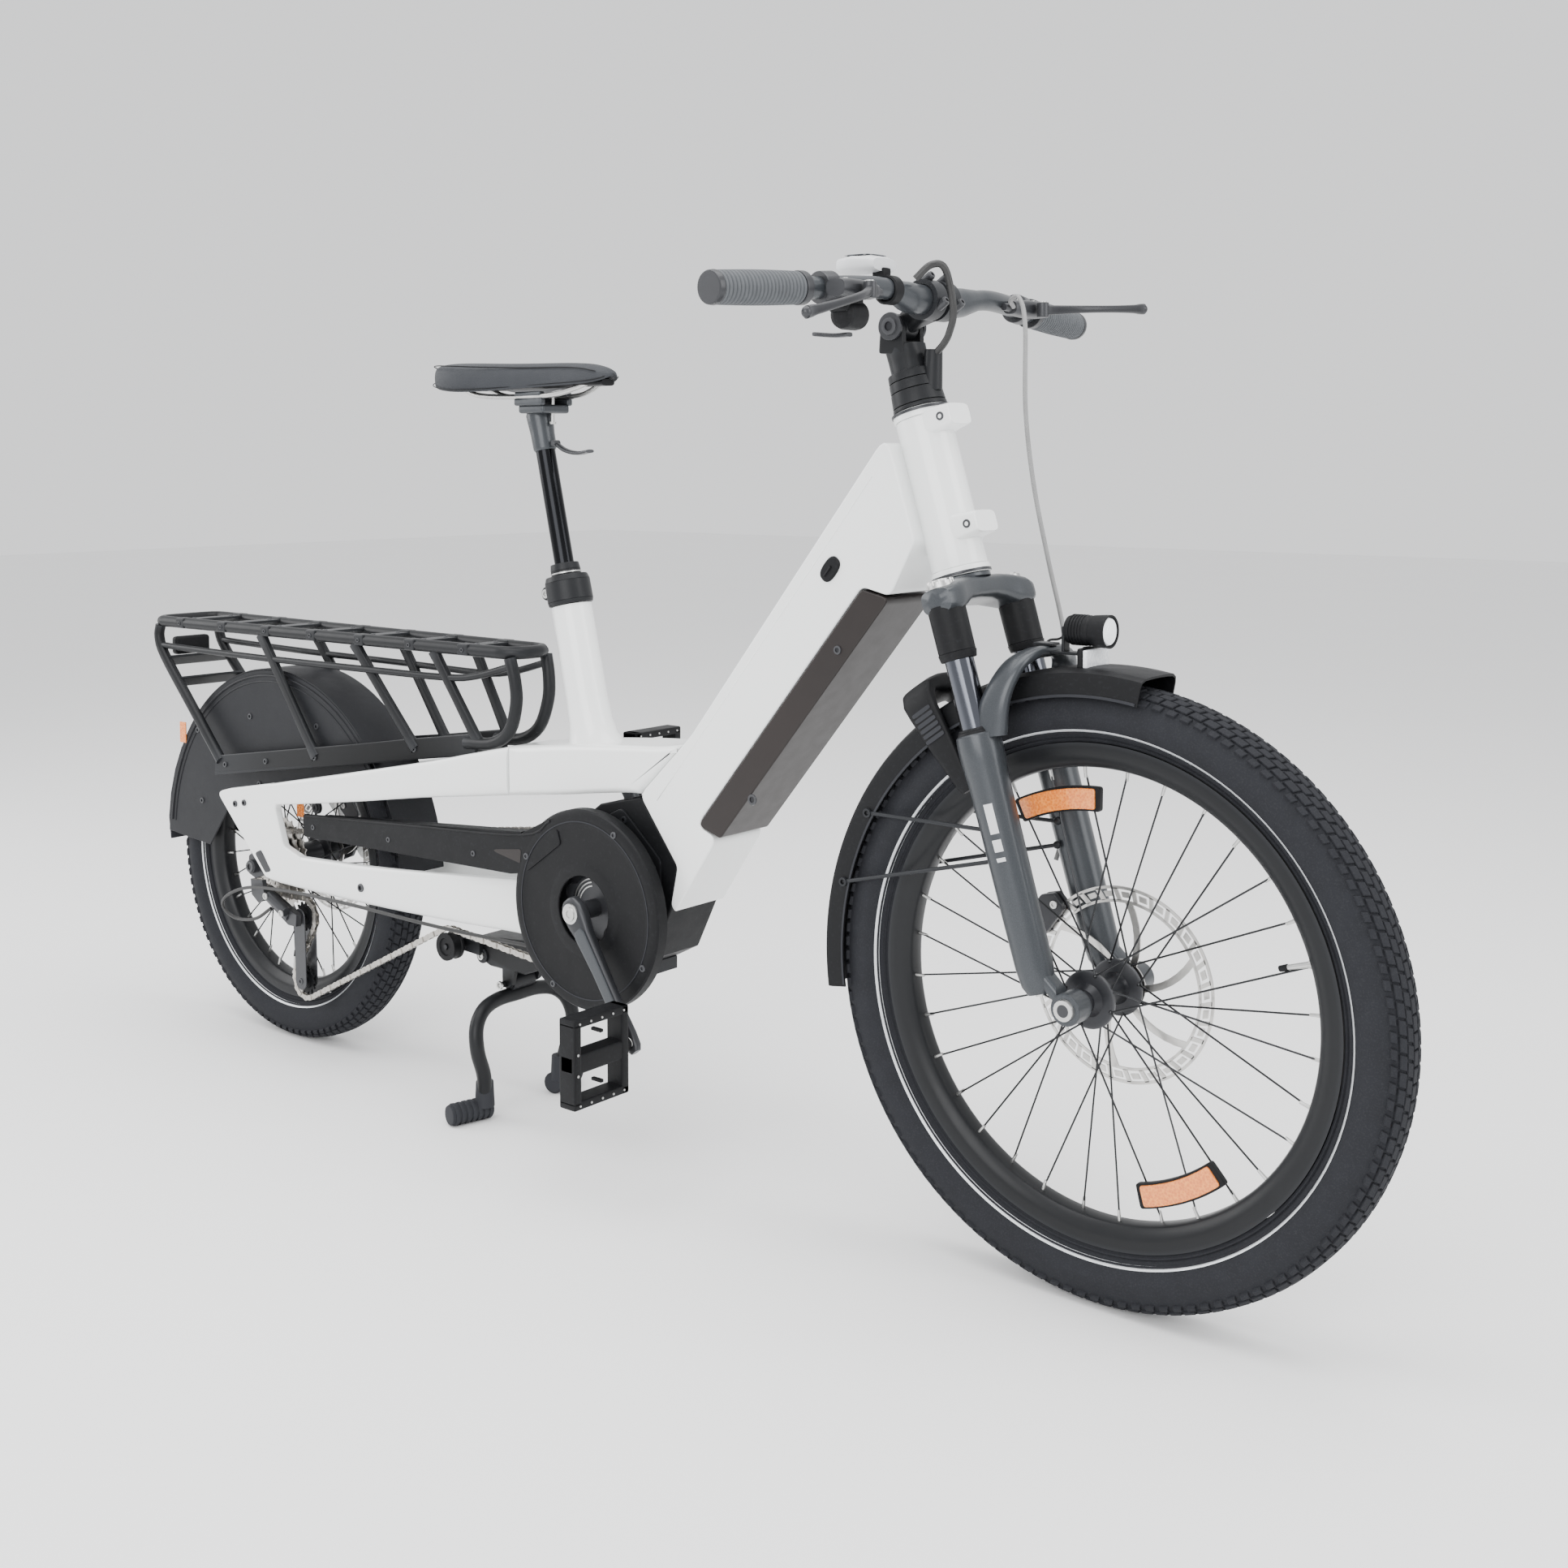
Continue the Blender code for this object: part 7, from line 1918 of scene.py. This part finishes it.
def draw_cords():
    draw_free_cord("front_hose", GREY_SHEATH, "steerer",
                   [(1.143, 0.1240, 1.012), (1.147, 0.112, 1.018), (1.162, 0.105, 1.020), (1.173, 0.100, 0.990),
                    (1.178, 0.094, 0.900), (1.190, 0.092, 0.820), (1.205, 0.098, 0.740), (1.222, 0.104, 0.660),
                    (1.232, 0.104, 0.580), (1.240, 0.092, 0.480), (1.2350, 0.070, 0.422)],
                   0.0025, "cable", ["front_brake_hose"])
    draw_free_cord("control_bundle", SHEATH, "steerer",
                   [(1.136, -0.052, 1.030), (1.150, -0.044, 1.044), (1.158, -0.030, 1.040), (1.160, -0.018, 1.000),
                    (1.150, -0.010, 0.978), (1.140, -0.006, 0.966), (1.1262, -0.002, 0.9560)], 0.0038, "cable", ["cable_bundle"])


# ---- the whole bicycle ----------------------------------------------------------------------


def draw_frame_details():
    """Ports, bosses and small fittings on the stays and beam."""
    boss = Shape()
    for side in (-1, 1):
        facing = (0, side, 0)
        boss.rod((0.157, side * 0.0850, 0.368), (0.157, side * 0.0800, 0.368), 0.0090, 0.0090, 24, 0.0010)
        boss.block((0.405, side * 0.0610 - 0.004, 0.2830), (0.420, side * 0.0610 + 0.004, 0.2950), 0.0016)
        boss.bolt((0.157, side * 0.0850, 0.368), facing, 0.0055, 0.0016)
    boss.done("stay_fittings", MOULDED, "frame", slot="black_plastic")
    amber = Shape()
    for x, z in ((-0.235, 0.4300), (0.060, 0.352)):
        amber.block((x - 0.008, -0.0412, z - 0.016), (x + 0.008, -0.0392, z + 0.016), 0.0008)
    amber.done("guard_reflectors", ORANGE, "frame", slot="black_plastic")


for draw in (draw_down_tube, draw_battery, draw_seat_beam, draw_stays, draw_motor, draw_rack, draw_rear_guards,
             draw_chain, draw_crankset, draw_chain_guard, draw_cassette, draw_derailleur, draw_stand, draw_seat,
             draw_crown, draw_lowers, draw_mudguard, draw_ring_lock, draw_lamp, draw_wheels, draw_stem, draw_bar,
             draw_controls, draw_cords, draw_frame_details):
    draw()

# ---- camera, floor and light ----------------------------------------------------------------
def place_camera():
    """A long lens level with the saddle, off the right front quarter."""
    turn, dip, roll = 0.700787, 0.0642, -0.0011486
    ahead = Vector((-math.sin(turn) * math.cos(dip), math.cos(turn) * math.cos(dip), -math.sin(dip)))
    right = ahead.cross(Vector((0, 0, 1))).normalized()
    over = right.cross(ahead)
    c, s = math.cos(roll), math.sin(roll)
    level_right, level_over = right * c + over * s, over * c - right * s
    lens = bpy.data.cameras.new("camera")
    lens.lens = 41.87
    lens.sensor_width = 36
    lens.shift_x = 0.0188
    lens.shift_y = -0.1325
    lens.clip_start = 0.05
    lens.clip_end = 50
    camera = bpy.data.objects.new("camera", lens)
    bpy.context.scene.collection.objects.link(camera)
    turned = Matrix((level_right, level_over, -ahead)).transposed().to_4x4()
    camera.matrix_world = Matrix.Translation(Vector((2.2223, -1.5951, 0.8465)) + HOME) @ turned
    bpy.context.scene.camera = camera


def area_light(name, at, aim, size, power, colour=(1, 1, 1)):
    made = bpy.data.lights.new(name, "AREA")
    made.shape = "RECTANGLE"
    made.size, made.size_y = size
    made.energy = power
    made.color = colour
    thing = bpy.data.objects.new(name, made)
    bpy.context.scene.collection.objects.link(thing)
    thing.location = at
    thing.rotation_mode = "QUATERNION"
    thing.rotation_quaternion = (Vector(aim) - Vector(at)).to_track_quat("-Z", "Y")
    return thing


def light_studio():
    area_light("top_light", (0.2, -0.3, 3.2), (0.0, 0.0, 0.3), (3.6, 2.6), 120)
    area_light("side_light", (1.2, -3.2, 1.8), (0.0, 0.0, 0.5), (2.4, 2.0), 80)
    area_light("rear_light", (-2.8, -1.4, 1.6), (0.0, 0.0, 0.5), (1.6, 2.0), 45)
    area_light("front_light", (3.0, 0.6, 1.8), (0.3, 0.0, 0.6), (1.4, 2.0), 40)
    world = bpy.context.scene.world or bpy.data.worlds.new("world")
    bpy.context.scene.world = world
    world.use_nodes = True
    sky = world.node_tree.nodes["Background"]
    sky.inputs["Color"].default_value = (0.97, 0.975, 0.985, 1)
    sky.inputs["Strength"].default_value = 1.25


def lay_floor():
    made = bmesh.new()
    bmesh.ops.create_grid(made, x_segments=2, y_segments=2, size=14)
    mesh = bpy.data.meshes.new("floor")
    made.to_mesh(mesh)
    made.free()
    floor = bpy.data.objects.new("floor", mesh)
    bpy.context.scene.collection.objects.link(floor)
    mesh.materials.append(pale_floor().material)


place_camera()
light_studio()
lay_floor()
